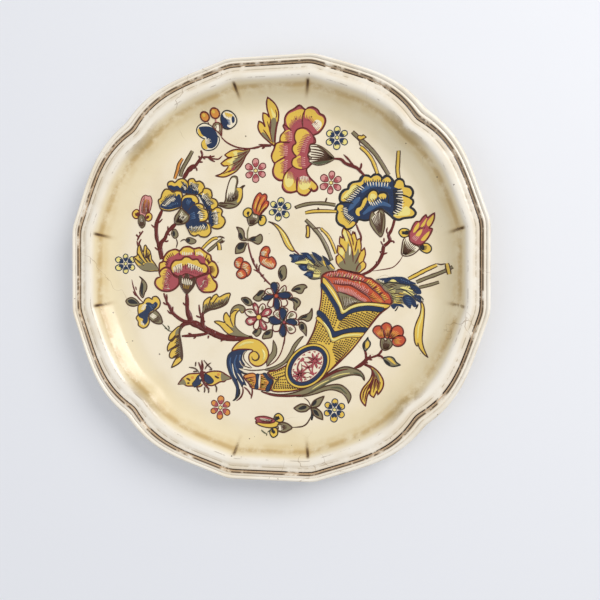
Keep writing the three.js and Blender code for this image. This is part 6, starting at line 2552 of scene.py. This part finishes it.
m.line(
    "brown",
    0.8,
    "-62 -42 -65 -43.6 -67.6 -46.6",
    "-62 -48.4 -64.8 -49.6 -66.8 -51.4",
    "-62 -54.8 -64.4 -55.4 -67 -57",
)
m.line(
    "moss",
    0.5,
    "-74 -34.8 -71.6 -37.2 -69.6 -39.2 -67.2 -39.8",
    "-69.4 -39 -69.2 -37.2 -70.2 -36",
    "-70.6 -38 -72.2 -37.6",
)
m.finish("enamel_yellow")

# %% Butterfly
m = Motif("butterfly", (-45.4, -69.0))
wing = (
    "-48 -67.2 -52 -66.8 -56.4 -67.4 -60 -69.8 -61.4 -71.6 -63.2 -74 -63.2 -74 -59.6 -73.8 -57 -75 -53 "
    "-74.9 -50 -75.4 -47.4 -74.6 -46.8 -72.4"
)
m.fill("yellow", wing, "maroon", 0.75)
m.fill(
    "yellow",
    "-44.8 -66.8 -41.6 -65.4 -38 -65 -34.4 -65.4 -30.8 -67.4 -27.8 -69.4 -30.6 -70.2 -32.4 -71.6 -35 "
    "-71.8 -38 -73.4 -41 -74.4 -44.2 -73.4 -45.8 -71.6",
    "maroon",
    0.75,
)
m.fill(
    "navy",
    "-48.4 -67.6 -50.2 -68.6 -51.6 -71 -53.6 -73.4 -52.2 -75.6 -50 -74.6 -48.4 -73.6 -47.6 -71",
    "black",
    0.4,
)
m.fill("navy", "-45.2 -67 -43 -67.6 -40.6 -69.4 -39.4 -71.4 -40.8 -73 -43.2 -73 -45.4 -71", "black", 0.4)
m.fill("olive", "-59.4 -70.6 -57.8 -73.4 -58.6 -74.2 -62.6 -73.8 -61 -71.8")
m.fill("olive", "-34 -65.8 -32 -67.2 -28.4 -69.2 -31.4 -70.6 -33.6 -71.2 -34.6 -69")
m.fill("orange", "-54.4 -69 -53 -68.6 -52.6 -69.8 -53.8 -70.4")
m.fill("orange", "-37 -66.6 -35.6 -66.4 -35.4 -67.6 -36.6 -68")
m.line(
    "brown",
    0.9,
    "-57.6 -70 -56 -70.6 -55 -71.6",
    "-57 -73.2 -55.4 -73",
    "-38.6 -68 -37 -69 -35.6 -69.4",
)
m.line("cream", 0.9, "-48.2 -68.4 -48.2 -70.4", "-47.4 -72 -46.8 -73.4", taper=(0.8, 0.8))
m.line("maroon", 2.0, "-47 -64.8 -47.2 -67.4 -46.6 -70", taper=(0.7, 0.7))
m.line("maroon", 1.1, "-47 -69 -46.2 -72 -44.4 -74.6 -42.2 -76.8", taper=(1, 0.6))
m.line(
    "maroon",
    0.8,
    "-46.8 -65 -46.5 -62.6 -46.6 -60",
    "-47.6 -65 -48.2 -62.4 -49.4 -59.4",
    "-47.6 -63.6 -47 -60.8 -47.2 -58",
    "-45.4 -65.2 -45.2 -66.6",
)
m.line(
    "brown",
    0.65,
    "-49 -66 -51 -64 -53 -63.2 -55.8 -62.8",
    "-49.8 -65.4 -51.4 -65.4 -53 -65.6",
    "-51.4 -62.2 -51.2 -59.2",
    "-45.8 -58 -43.4 -61 -40.6 -63.8 -42.4 -64.2",
    "-45 -64 -43.8 -61.6 -41 -59.6",
    "-50.6 -75 -50 -77 -48.8 -78.4",
    "-45.6 -75.2 -45.2 -77.2 -45.6 -79",
    "-43.4 -76 -42.6 -77.6 -42.8 -79.2",
    "-38.8 -73.6 -37.4 -75.6 -37.6 -78.6",
)
m.finish("enamel_yellow")

# %% Blue bud at lower left
m = Motif("bud_blue_southwest", (-83.9, -22.7))
m.line(
    "maroon",
    0.75,
    "-86.6 -21.4 -89.6 -18.6 -92 -15.4 -93.8 -10.6 -94.8 -6",
    "-90.8 -17 -92.6 -16 -94 -13.6",
    "-91.6 -13 -92.2 -10.6",
)
LEAVES = (
    (
        "-87.2 -18 -89.2 -15.4 -89 -11.6 -88.2 -8 -87.8 -6 -89.6 -4 -89.6 -4 -86.4 -6.6 -84.5 -9.4 "
        "-84.6 -12.4 -86 -15",
        "-87.4 -17 -88.8 -14.4 -88.6 -10.6 -87.8 -8 -86.8 -9.6 -87 -13",
    ),
    (
        "-89.4 -22.2 -91.6 -19.4 -94.6 -17.8 -97.6 -18.6 -98.9 -20.4 -97 -22.8 -93.6 -23.6 -91 -22.9",
        "-90.6 -21.8 -92.6 -19.8 -95 -18.8 -97.6 -19.8 -96.4 -21.6 -93.6 -22",
    ),
)
for outline, shade in LEAVES:
    m.fill("olive", outline, "brown", 0.6)
    m.fill("black", shade)
    m.layer -= 3
m.layer += 3
flower = (
    "-87 -21.4 -85.4 -18.8 -83 -17.9 -80.8 -19 -80.4 -17.6 -78 -17.1 -76 -18.8 -75.2 -21.4 -76 -24 -78 "
    "-25.6 -79.4 -27 -82.6 -28.4"
)
flower += (
    " -83 -31.4 -82.8 -34.4 -84.6 -37 -87.4 -37.8 -90.2 -36 -90.4 -33.6 -91.8 -31.2 -90.4 -29 -90.6 "
    "-26.4 -90.4 -23.4 -89 -22"
)
m.fill("yellow", flower, "brown", 0.65)
m.fill(
    "navy",
    "-85 -21.4 -82.4 -21 -80.4 -22 -78.6 -20.6 -77 -21.8 -77.6 -24 -80 -26.2 -82.6 -27.8 -83.6 -30 "
    "-83.8 -33.4 -86 -35.8 -88 -34.2 -87 -32 -89.8 -30.6 -90 -28.6 -87.4 -27 -85.2 -25",
)
m.hatches(
    ("blue", 0.6, "-81 -25.6 -78.6 -23.4", "-83.4 -22.4 -79 -21.6", 4),
    ("cream", 0.6, "-84.4 -22.6 -86.6 -26", "-86.8 -21.4 -89.8 -25.6", 5),
    ("black", 0.5, "-80 -26 -78 -24", "-81.6 -22.8 -78.4 -21.6", 3),
    ("cream", 0.5, "-86 -36.4 -88.6 -35.2", "-86.6 -34 -88.8 -32.2", 3),
)
m.fill(
    "olive",
    "-82.8 -29 -80.4 -27.2 -78.6 -26.2 -76 -28.4 -74.4 -31.4 -73.9 -34.2 -76 -35 -79 -34.4 -81.4 -32.8 "
    "-82.9 -30.8",
    "brown",
    0.7,
)
m.hatches(
    ("cream", 0.7, "-82.4 -29.6 -80.6 -28", "-79 -32.8 -77 -30.2", 4),
    ("brown", 0.6, "-80.4 -33.6 -76.4 -29", "-75.6 -34.2 -74.6 -33", 5),
)
m.finish("enamel_blue")

# %% Rose carnation on the left
m = Motif("carnation_rose_west", (-57.2, -0.2))
m.layer = 2
back = (
    "-75 -3 -75.8 1 -75.6 4.4 -73.4 5.6 -72.6 8.4 -69.6 12 -65 13.4 -62 12.4 -59.4 14.6 -55.6 15 -52.4 "
    "13.6 -48.6 14.2 -45.4 12"
)
back += " -43.4 10.6 -41.2 9 -40.6 6 -38.2 4.4 -36.6 1.4 -36.4 -2 -38.2 -5 -41 -4 -50 -2 -60 -4 -68 -3"
m.fill("yellow", back, "maroon", 0.9)
m.fill(
    "rose",
    "-70.4 -2 -71.6 3 -70 7.6 -65.8 9.4 -62.4 11.4 -60.2 9.6 -56 9.8 -52.6 11.4 -50.8 9 -47.4 10 -44.8 "
    "7.2 -44.6 4.4 -42.8 2.6 -41.6 0 -42.4 -3 -52 -2 -62 -2",
)
m.line(
    "maroon",
    0.65,
    "-62.4 12.4 -61.8 9.4",
    "-52.4 13.4 -51.8 9.6",
    "-43.4 10.4 -45 6",
    "-40.4 5.8 -43.2 3.2",
    "-73.4 5.6 -71.4 5.4 -69.8 3.6",
)
m.hatches(
    ("maroon", 0.5, "-70.6 6.4 -68.4 8.4 -65.6 9.6", "-72 8 -70 10.4 -66.6 11.8", 5),
    ("cream", 0.6, "-60.6 9.6 -57 9.4 -53.2 9.8", "-60.4 12 -56.8 12 -53.6 12", 6),
    ("cream", 0.6, "-51 9.6 -48.6 9.6 -46 8.4", "-51 12 -48.4 12 -46.4 10.4", 5),
    ("maroon", 0.5, "-44.6 6.4 -43.4 5 -42.6 3.6", "-42.4 8 -41.8 6.6 -41.6 5.6", 5),
    ("maroon", 0.5, "-42.4 2.4 -41.6 0.4 -42 -2.4", "-38.4 2.6 -38 0.2 -38.6 -2.4", 7),
    ("maroon", 0.5, "-70.4 2.6 -69.8 4.4 -68.4 6.4", "-72.4 3.6 -71.6 5.6 -70 7.4", 4),
)
middle = (
    "-66.4 -3.6 -68 -0.6 -67.6 3.4 -65.6 6 -62.6 6.4 -60.6 6.8 -58.6 8.4 -55.6 8.2 -53.4 6.6 -50 6.8 "
    "-47.8 4.2 -45 3.6 -43 1.4 -43.4 -1.6 -46.4 -3 -52 -5 -60 -6"
)
m.fill("rose", middle, "maroon", 0.9)
crown = (
    "-66.8 -1 -67.4 2.4 -65.2 5.4 -62.6 5.8 -60.4 6.2 -58.4 7.8 -55.8 7.6 -53.2 6 -50.2 6.2 -48 3.6 "
    "-45.2 3 -43.6 1 -44.4 -1.6 -47 -1.4 -50 0.4 -53.6 2.4 -57.4 3.4 -60.4 2.2 -63 1 -65 -1.4"
)
m.fill("yellow", crown)
m.hatches(
    ("cream", 0.8, "-66.6 1.6 -63.4 3.6 -60.6 4.4", "-65.8 -2.6 -62.6 -2 -60 -0.6", 6),
    ("cream", 0.8, "-57 4.6 -52.6 3.4 -46.4 0.6", "-56.4 0 -52.6 -0.8 -47 -2.4", 10),
    ("maroon", 0.5, "-65.6 2.4 -56.4 4 -46 1", "-64.6 0 -56.4 0.4 -47 -1.8", 12),
    ("rose", 0.6, "-66 -2.4 -58 -1.4 -47 -3.6", "-65.6 1 -57 3.2 -45.8 0", 15),
)
left = (
    "-75 -4.4 -75.6 -1.6 -73.4 1 -70.6 1.8 -68 0.4 -66.4 -2.6 -63 -4.4 -62.2 -7 -63 -10 -66 -12.6 -70 "
    "-13.8 -74.4 -13.2 -77.8 -10.8 -78.8 -8 -77.6 -5.4"
)
m.fill("rose", left, "maroon", 0.9)
m.fill(
    "yellow",
    "-74.6 -4.4 -75.2 -2 -73.2 0.4 -70.6 0.8 -70.4 -2 -71.4 -5.6 -72.6 -9 -73.6 -12.6 -76.6 -10.8 -78 "
    "-8 -77 -5.8",
)
m.hatches(
    ("maroon", 0.45, "-70.6 0.6 -71.6 -4 -72.8 -11.8", "-67 -3 -68.4 -7 -68.8 -12.4", 9),
    ("cream", 0.7, "-70.6 -0.4 -72 -5.6 -72.8 -12", "-68 -3.4 -69.4 -7.6 -68 -12.8", 8),
    ("maroon", 0.45, "-68 0 -66.6 -1.6 -65.6 -3.4", "-66.4 -4 -65.4 -4.6 -64 -5.6", 3),
)
m.hatch("rose", 0.5, "-69.4 0.4 -69.8 -5.6 -70.4 -12.8", "-74.6 -0.6 -76.6 -6 -75 -12", 15, (0.35, 0.75))
right = (
    "-42.4 -2.4 -40.6 -4 -39.4 -6.4 -37.4 -8.4 -37.2 -11.4 -38.8 -13.8 -42.6 -14.4 -46.4 -14.2 -49 -11.8 "
    "-50.6 -8.4 -50.6 -5.4 -46.6 -3.6"
)
m.fill("rose", right, "maroon", 0.9)
m.fill(
    "yellow",
    "-42.2 -3 -40.8 -5 -39.6 -7 -37.9 -9 -37.8 -11.2 -39.4 -13.2 -43 -13.8 -46 -13.4 -45.4 -11.8 -43 "
    "-10 -42.8 -7.6 -43.6 -5.4",
)
m.hatches(
    ("maroon", 0.45, "-43 -4.4 -43.4 -8 -46.6 -12.6", "-46 -5.2 -46.6 -8 -48.4 -10", 7),
    ("cream", 0.6, "-43.4 -6 -44.4 -9.6 -46.4 -12", "-46.6 -6.8 -47.4 -9 -48.6 -10.6", 6),
)
m.hatch("rose", 0.5, "-45 -4.6 -45.6 -8 -48 -12.6", "-40 -5.6 -39.4 -9.6 -43 -13.4", 12, (0.4, 0.85))
m.line(
    "maroon",
    0.6,
    "-66.4 -3.4 -62.6 -5.4",
    "-61.6 -4.6 -58 -2.4 -54 -3.6 -50.6 -5",
    "-49.4 -4.8 -46 -3 -43.4 -2",
)
m.fill(
    "brown",
    "-62.2 -4 -61.6 -9 -60 -12.4 -57.2 -15.2 -54.4 -13 -52.2 -9.8 -51.4 -5.4 -53.4 -6 -55.2 -7 -55.6 "
    "-4.6 -56.6 -2.6 -58.4 -4 -59.4 -6.6 -60.6 -4",
    "brown",
    0.6,
)
m.hatches(
    ("cream", 0.7, "-60.6 -8.4 -57.4 -9.8 -53.6 -9.6", "-60.8 -5 -57.2 -4.4 -52.8 -6.6", 6),
    ("gold", 0.5, "-59.4 -11.8 -56 -12.4", "-60 -9 -54.4 -9", 4),
)
m.finish("enamel_rose")

# %% Leaf fan on the left
m = Motif("leaf_fan_west", (-85.3, 12.5))
m.line(
    "maroon",
    0.9,
    "-91.2 19.2 -90.4 16 -89.4 13.4",
    "-88.2 20.4 -89.6 17.8 -89.2 14.4 -87.2 10.6",
    "-91 19.4 -89.6 22.2 -87 25.6",
    "-90 21.6 -91.8 23.4",
    "-88.6 23.2 -89.4 25.2",
    taper=(0.5, 0.9),
)
fan = (
    "-76.4 0 -79 -0.5 -82.8 -0.7 -86.8 0.2 -90 2.4 -92.6 5.6 -93.6 8.6 -91.2 9.6 -91 12.4 -90.4 15.4 -89 "
    "16.4 -87.4 12.6 -86.6 12.4 -86.2 15.4 -85.2 16.4"
)
fan += " -83.8 14.2 -82.2 12.4 -81.4 9.6 -81 7 -79 4.4"
m.fill("yellow", fan, "brown", 0.65)
m.fill("olive", "-76.6 0.4 -80 0 -84 -0.2 -87.6 0.6 -90.4 3 -87.6 3.4 -84.4 5 -82.2 5 -80 4.4 -78.4 2.8")
m.line(
    "brown",
    0.7,
    "-93.4 8.8 -90 5.6 -86.4 3",
    "-91.4 12 -88.6 8 -85.4 4.4",
    "-89.2 15.6 -87.6 10.8 -84.4 5.2",
    "-86.8 12 -85.8 8 -83.4 5",
    "-84.6 14.8 -84.6 10 -82.4 5.4",
    "-82 11.4 -83 8 -81.6 5.2",
)
m.hatches(
    ("brown", 0.45, "-85.8 8 -83.4 7.6", "-84.8 14 -82.8 12.2", 4),
    ("moss", 0.5, "-88 3.4 -86 5.4", "-91.6 5.6 -90 9.4", 4),
)
m.finish("enamel_yellow")

# %% Rose bud at the left
m = Motif("bud_rose_west", (-87.3, 38.9))
m.fill(
    "pink",
    "-88.6 35 -89.4 40 -88.6 44.4 -87.4 47.6 -85.4 49 -83.6 48.4 -81.8 48.2 -80.7 45.4 -81.2 42 -82.2 "
    "38.6 -84.2 36 -86.4 34.6",
    "maroon",
    0.5,
)
m.line("orange", 1.0, "-84 37.4 -83 41.6 -83.2 46", "-86 38 -86 42.6 -84.8 46.4")
m.line("cream", 0.6, "-87.6 37.4 -87.8 41.6 -86.6 45.6", "-85 37.6 -84.8 41.4")
m.hatch("maroon", 0.45, "-88.4 38 -85.6 36.4 -82.8 38", "-87.6 47.4 -85 48.8 -81.6 46.8", 8, (0.75, 1.0))
berry(
    m,
    "-89.8 38.8 -91.4 39.8 -93.4 38.6 -94.2 36.4 -92.8 34.2 -90.8 34 -89.6 36",
    "-90 37.8 -91.4 37.6 -91.6 35.8 -90 35",
    ("-92.4 37.6 -91.2 36.6", "-92 35.2 -90.6 35.6"),
    "maroon",
)
berry(
    m,
    "-85.2 34.8 -84.4 36.8 -82.4 37.4 -80.8 35.8 -81 33.4 -82.8 32 -84.6 32.6",
    "-85 34.4 -83.6 35.8 -83 34 -84.4 33.4",
    ("-82.6 35.8 -83.8 35", "-82.8 33.6 -84.2 33.8"),
    "maroon",
)
m.fill(
    "olive",
    "-89.6 35.4 -90.2 32 -89.4 29.4 -87.6 27.6 -85.8 29 -85.4 31.6 -86 34.8 -87.6 36.2",
    "brown",
    0.5,
)
m.hatches(
    ("brown", 0.6, "-89.4 29.6 -87.6 28.4 -86 29.6", "-89.2 34.8 -87.6 35.6 -86.4 34.2", 5),
    ("cream", 0.4, "-88.8 31.6 -87 31.6", "-88.6 35 -86.8 35", 3),
)
m.finish("enamel_rose")

# %% Branch on the left
m = Motif("branch_west", (-71.8, 24.2))
rows = (
    (2.6, "-74.4 7 -74.8 11 -75.6 15 -76.6 18.4"),
    (2.0, "-75.4 15 -77.4 20 -78 26 -77.6 31 -75.8 35 -73.6 39.6"),
    (2.0, "-75 14 -74.4 18 -72 20.6 -70.8 24"),
    (1.9, "-71.8 21.4 -70 25 -66.8 28 -64 30.6"),
)
twigs = (
    "-75.4 12.4 -77.4 13.6 -79 15", "-78.2 27 -79.4 28 -81.4 29.8", "-77 30.4 -75.4 31.6 -73.6 33.4",
    "-72.4 19 -70.8 18.6 -69.6 19.4", "-70 23.6 -68.4 22.6", "-70 26 -70 28.6",
    "-76 17.6 -74.4 18.4 -72.6 18.8",
)
branch(m, rows, twigs)
for outline, shade, stalk in (
    (
        "-65.6 20.6 -67.6 23.4 -66.6 26 -64.8 26.4 -63.2 24 -63.4 21.6",
        "-65.8 21.6 -67 23.6 -66 25.6 -65 23.6", "-64.4 20.4 -63.6 17.6 -64.4 14.4",
    ),
    (
        "-57.8 19 -57 20.6 -54.8 20.9 -51.8 19.6 -51 18.6 -52 17.2 -54.6 16.8 -57 18",
        "-57.4 19.2 -56.6 20.4 -55 20 -55.4 18 -56.8 18.2", "-57.6 19.4 -59.6 19.6 -61.6 18.4",
    ),
):
    m.line("brown", 0.6, stalk)
    m.layer -= 1
    m.fill("olive", outline, "brown", 0.5)
    m.fill("black", shade)
m.finish("enamel_maroon")

m = Motif("sticks_west", (-38.7, 16.7))
stick(m, "-47 13.6 -43.6 17 -39.8 19.8 -36.6 20.4", "yellow", 1.9)
stick(m, "-43.4 11.8 -40 14.4 -36.6 17.4 -33.4 19.6", "olive", 1.7)
stick(m, "-36.2 17.4 -35.6 15 -35.4 12.6", "yellow", 2.6)
m.line("brown", 0.8, "-37 20.8 -34.8 21.2 -32 20.2", "-36 17.6 -34 17.4 -32 18.6")
m.finish("enamel_yellow")

# %% Curly leaf at upper left
m = Motif("leaf_curly", (-27.2, 50.7))
outline = (
    "-37 42 -34 43 -32.4 42.8 -31.4 45 -31 49 -29.8 53.4 -28.6 57 -27 59.4 -24 59.2 -23.4 56 -24.2 52.4 "
    "-22 52 -20.4 53 -18.8 53.4"
)
outline += " -20.4 51.6 -20.4 46.4 -22 42.6 -25 40 -29.4 39.2 -33 40"
m.fill("olive", outline, "brown", 0.7)
m.fill("yellow", "-24 51.8 -20.9 51.4 -20.9 46.6 -22.4 43.4 -24 43 -22.8 46.4 -23 49.4")
m.fill(
    "cream",
    "-30.6 47 -29.6 53 -27.8 57.6 -25.8 58.6 -24.4 57 -25.2 52.6 -25.8 49 -27.6 46.4 -29.4 44.6",
)
m.line("brown", 0.75, "-35 42 -30 42.4 -24.6 41.4", "-36 41.4 -33 40.8 -30 41")
m.hatches(
    ("brown", 0.5, "-30.6 43.4 -26.6 43.4 -23.6 45", "-29.4 49 -26.6 50.4 -22.4 50.6", 10),
    ("cream", 0.4, "-29.4 44 -25 44.6", "-28.4 48 -23.4 48.6", 4),
)
m.finish("enamel_olive")

# %% Blue carnation at upper left
m = Motif("carnation_blue_west", (-53.3, 40.0))
m.layer = 4
PETALS = (
    (
        "-70 55 -69.4 57 -67 57.6 -65 56.6 -63 58.4 -60 59 -57.6 57.8 -56 55.4 -55.8 52 -57 49.6 -61 "
        "50.4 -65 50.8 -68.6 52.4",
        "-69.6 54.6 -67.6 55 -65.6 54.2 -63.4 54.6 -61.4 53 -60.2 54.8 -58 54 -57 51 -58.4 49.4 -64 "
        "50.6 -68 52.4",
    ),
    (
        "-56 57.6 -54.6 58.7 -52.4 58.6 -51 56.8 -48.6 57 -46.4 55.6 -45.2 53 -46.4 50.4 -49 48.6 -53 "
        "49 -57 49.6 -56 53",
        "-55.8 54 -54.6 54.6 -52.8 53.4 -50.8 53.4 -49.2 51.2 -49.6 48.8 -54 49 -57.4 50",
    ),
    (
        "-48.4 48.6 -46.6 50 -45.8 52 -43.4 52.2 -41 50.8 -40.2 47.8 -40.4 46 -38 45 -36.4 42.6 -37 40 "
        "-39 38.2 -42 40 -46 44",
        "-49 48.4 -46.6 47.8 -45.4 46.4 -43.6 44.8 -43 42.8 -41 41.4 -41.4 38.8 -43 38 -46 42.4",
    ),
    (
        "-42 37.4 -40 38.2 -37.4 39.8 -35 39.4 -33.4 37.6 -34 34.8 -32.2 33 -31.6 30.4 -33.4 27.4 -36.4 "
        "26.2 -40 27 -42 30",
        "-42 37.6 -39.4 36.6 -39.6 34.4 -38.6 33 -39.4 31 -38.6 29 -40.4 27.8 -42.2 30",
    ),
    (
        "-74.4 39.6 -75.8 43 -76.2 45.6 -74.6 46.8 -73.6 50 -71.6 52.4 -68.6 52 -66.4 50.4 -64 51.2 -61 "
        "50.6 -60 48 -60.2 45 -61 41 -66 38.8 -70 38.4",
        "-74.4 40.6 -74.8 42.8 -73 44 -71 46.4 -69 47 -67 48.4 -64.4 47.6 -62.6 49 -61.2 47.6 -60.8 42 "
        "-64 40.2 -70 39.2",
    ),
    (
        "-60.4 44 -60.2 46.6 -58 48.4 -54 48.6 -51 47.6 -49.2 45 -49.4 43 -51.4 40.6 -55 38 -59 38.6",
        "-60.2 43 -59.4 45.6 -57.4 46.6 -54 46.4 -53 44.4 -51.4 43.4 -52.4 40.6 -55.8 37.8 -59.4 38.6",
    ),
    (
        "-57.4 30 -56 26 -54.4 23 -51.8 21.8 -49.4 22.6 -47.6 21.4 -44 21.2 -41.4 23.4 -41 26 -42.2 "
        "29.4 -46 31 -51 31.6",
        "-57.4 30.4 -56.8 27 -54.4 26.4 -52.6 27 -51 25.8 -48.6 27.4 -46.4 26 -44.4 27.4 -43.4 29.4 -47 "
        "31 -52 32",
    ),
    (
        "-52.4 41.6 -50 42.6 -47.6 42.4 -45.8 41 -45.4 39.2 -43.4 38 -42.6 35 -43.6 32.2 -46.4 31 -50 "
        "31.4 -54 33 -56.4 36 -55.4 38.6",
        "-52.6 41.6 -50.6 41.4 -49.4 39.6 -47.8 38.4 -48.4 36.2 -47.6 34.4 -49.2 32.4 -53 32 -57.4 30.6 "
        "-56.8 35 -55.4 38.6",
    ),
)
for outline, heart in PETALS:
    m.fill("yellow", outline, "brown", 0.75)
    m.fill("navy", heart)
m.fill("navy", "-56 38.4 -57.6 35 -58 31 -56.4 27.6 -52 30 -48.4 31.4 -49.4 35.4 -52 38.6")
m.hatches(
    ("cream", 0.55, "-74 42 -70.4 45.6 -65.6 47.6", "-70.6 41 -67.4 43.6 -63.8 45", 10),
    ("cream", 0.6, "-59.6 56.4 -58 55.6 -56.8 53.4", "-60.2 53 -59 51.6 -58 50.4", 4),
    ("cream", 0.6, "-54.8 56.8 -52.6 55.8 -49.4 53.6", "-54.6 51.6 -52.4 51 -49.6 50", 6),
    ("cream", 0.8, "-46.6 49.6 -43.6 47.4 -40 42", "-47 46.4 -45.4 44 -42.6 40.6", 7),
    ("cream", 0.8, "-37.6 38.2 -36.4 34 -36.6 28.8", "-41 36.4 -40.6 33 -40.4 28.8", 9),
    ("cream", 0.6, "-56 26.4 -52 25 -43.8 26.4", "-55 28.6 -51 28.6 -46 29.6", 10),
    ("cream", 0.8, "-48.6 38.2 -46.4 36 -46.6 32.4", "-50 36.4 -49.4 34.6 -49 32.6", 5),
    ("navy", 0.5, "-72 42 -69 45.4 -64 47", "-75 44.6 -71.4 48.6 -64.6 50.4", 11),
    ("navy", 0.5, "-59 54.6 -56.6 52.4", "-61.4 57.8 -57.4 56", 5),
    ("navy", 0.5, "-54.6 53 -50 51.6", "-54.4 57.4 -48.6 55.4", 7),
    ("navy", 0.5, "-46.4 47.6 -41.6 41.6", "-42.4 50.4 -38 42", 9),
    ("navy", 0.5, "-40.4 37.4 -40 29", "-35 37 -35 28.4", 10),
    ("navy", 0.5, "-56 27.4 -50 26.8 -43 28.6", "-54 23.6 -49 23.6 -42.4 25.4", 12),
    ("navy", 0.5, "-50.6 40.6 -48 37 -48 33.4", "-48.4 41.6 -44.4 38.4 -44.6 33", 8),
    ("blue", 0.5, "-72 41.4 -68 43 -63 44", "-67 40.6 -65 41.6 -62.6 42", 6),
    ("blue", 0.6, "-57 46 -54 44.6", "-58 41 -56 41", 3),
    ("blue", 0.6, "-52 37.6 -51 33", "-55 36 -55.4 32", 4),
    ("black", 0.45, "-61 53.6 -54 52 -44 44 -41.6 36", "-60.6 50.6 -55 50 -47 44.6 -42.6 33", 12),
)
calyx = "-64.6 30 -65 34 -62.8 37.4 -60.6 39.8 -59 38.4 -57 36.4 -55.4 35 -55.8 32.4 -58 30.4 -61 29.6"
m.fill("olive", calyx, "brown", 0.75)
m.hatches(
    ("brown", 0.8, "-64.4 30.8 -60.4 30.2", "-62 37 -57 34.4", 8),
    ("cream", 0.6, "-62.8 33.6 -59.6 31.8", "-60.4 38.4 -56.4 35", 5),
)
m.finish("enamel_blue")

# %% Branch and sticks at upper left
m = Motif("branch_northwest", (-50.5, 67.9))
stick(m, "-65.4 59 -63.6 64 -62.4 68.4 -60 72", "orange", 2.0)
stick(m, "-61.6 60.4 -60 65.4 -56.4 71.4 -53.4 76.6", "olive", 2.2)
branch(
    m,
    (
        (2.2, "-59.4 59 -57.4 62.4 -55 65.4 -51.6 66.6"),
        (2.6, "-56 64 -53.4 66.4 -51.2 66.2"),
        (1.5, "-51.8 66.4 -49.6 69.4 -47.4 72.2"),
        (1.0, "-47.6 71.6 -46.8 74 -47.8 76.8"),
        (0.9, "-47.4 72 -45 72.4 -42 72.2 -38.6 72.8"),
        (0.8, "-42.8 72 -41 70.4 -38.4 69.2"),
    ),
    (
        "-51.4 66.2 -50.6 65 -50.4 63.6", "-49 69.4 -46.4 69.2", "-48.2 71.4 -49.2 73.4",
        "-46.6 72.4 -44.8 71", "-42 71.4 -39 71 -36 70.8 -33.6 72.8", "-42 72.4 -41 73.4",
    ),
)
m.finish("enamel_maroon")

# %% [markdown]
# ## Room, light and camera
#
# The plate lies on a plain pale floor. One big soft light stands at the top right, so the wall on that side
# stays in shade and the wall across from it catches the light, and a weak one fills the other side. The
# camera looks down from 36 cm, a little to the right of the middle.

# %% Floor
floor_mesh = bpy.data.meshes.new("floor")
REACH = 2.5
floor_mesh.from_pydata(
    [(-REACH, -REACH, 0), (REACH, -REACH, 0), (REACH, REACH, 0), (-REACH, REACH, 0)],
    [],
    [(0, 1, 2, 3)],
)
floor = helper_object("studio_floor", floor_mesh)
floor.location.z = -0.0002
paper, tree, shader = blank_material("pale_paper", "ECEDF0", 0.85)
grain = add(tree, "ShaderNodeTexNoise", {"Scale": 30.0, "Detail": 3.0})
tree.links.new(add(tree, "ShaderNodeTexCoord").outputs["Object"], grain.inputs["Vector"])
tree.links.new(spread(tree, grain.outputs[0], 0.3, 0.7, 0.78, 0.92), shader.inputs["Roughness"])
floor_mesh.materials.append(paper)
print("floor ready")


# %% Lights
def soft_light(name, place, size, power, colour):
    data = bpy.data.lights.new(name, "AREA")
    data.shape = "DISK"
    data.size = size
    data.energy = power
    data.color = colour
    lamp = helper_object(name, data)
    lamp.location = place
    lamp.rotation_euler = (Vector((0, 0, 0)) - Vector(place)).to_track_quat("-Z", "Y").to_euler()


soft_light("window", (1.05, 0.8, 0.92), 0.9, 16.0, (1.0, 0.985, 0.965))
soft_light("fill", (-0.9, -0.5, 1.1), 1.2, 3.0, (0.96, 0.98, 1.0))
world = bpy.data.worlds.new("pale_room")
world.use_nodes = True
world.node_tree.nodes["Background"].inputs["Color"].default_value = (0.93, 0.95, 1.0, 1.0)
world.node_tree.nodes["Background"].inputs["Strength"].default_value = 0.6
scene.world = world
scene.view_settings.view_transform = "Standard"
print("lights ready")

# %% Camera
camera_data = bpy.data.cameras.new("camera")
camera_data.sensor_width = 36.0
camera_data.lens = 34.68
camera_data.clip_start = 0.01
camera = helper_object("camera", camera_data)
CAMERA_AT = (70.46, -17.08, 364.5)  # in millimetres
LOOK = (-0.1483, -0.00615, -0.98892)
UP = (-0.001, 1.0, -0.0061)
forward = Vector(LOOK).normalized()
right = forward.cross(Vector(UP)).normalized()
turn = Matrix((right, right.cross(forward), -forward)).transposed().to_4x4()
camera.matrix_world = Matrix.Translation(Vector(CAMERA_AT) * MM) @ turn
scene.camera = camera
print("camera at", [round(v / MM, 1) for v in camera.location])

# %% [markdown]
# ## The end
#
# The view layer is brought up to date once more at the end.

# %% The end
bpy.context.view_layer.update()
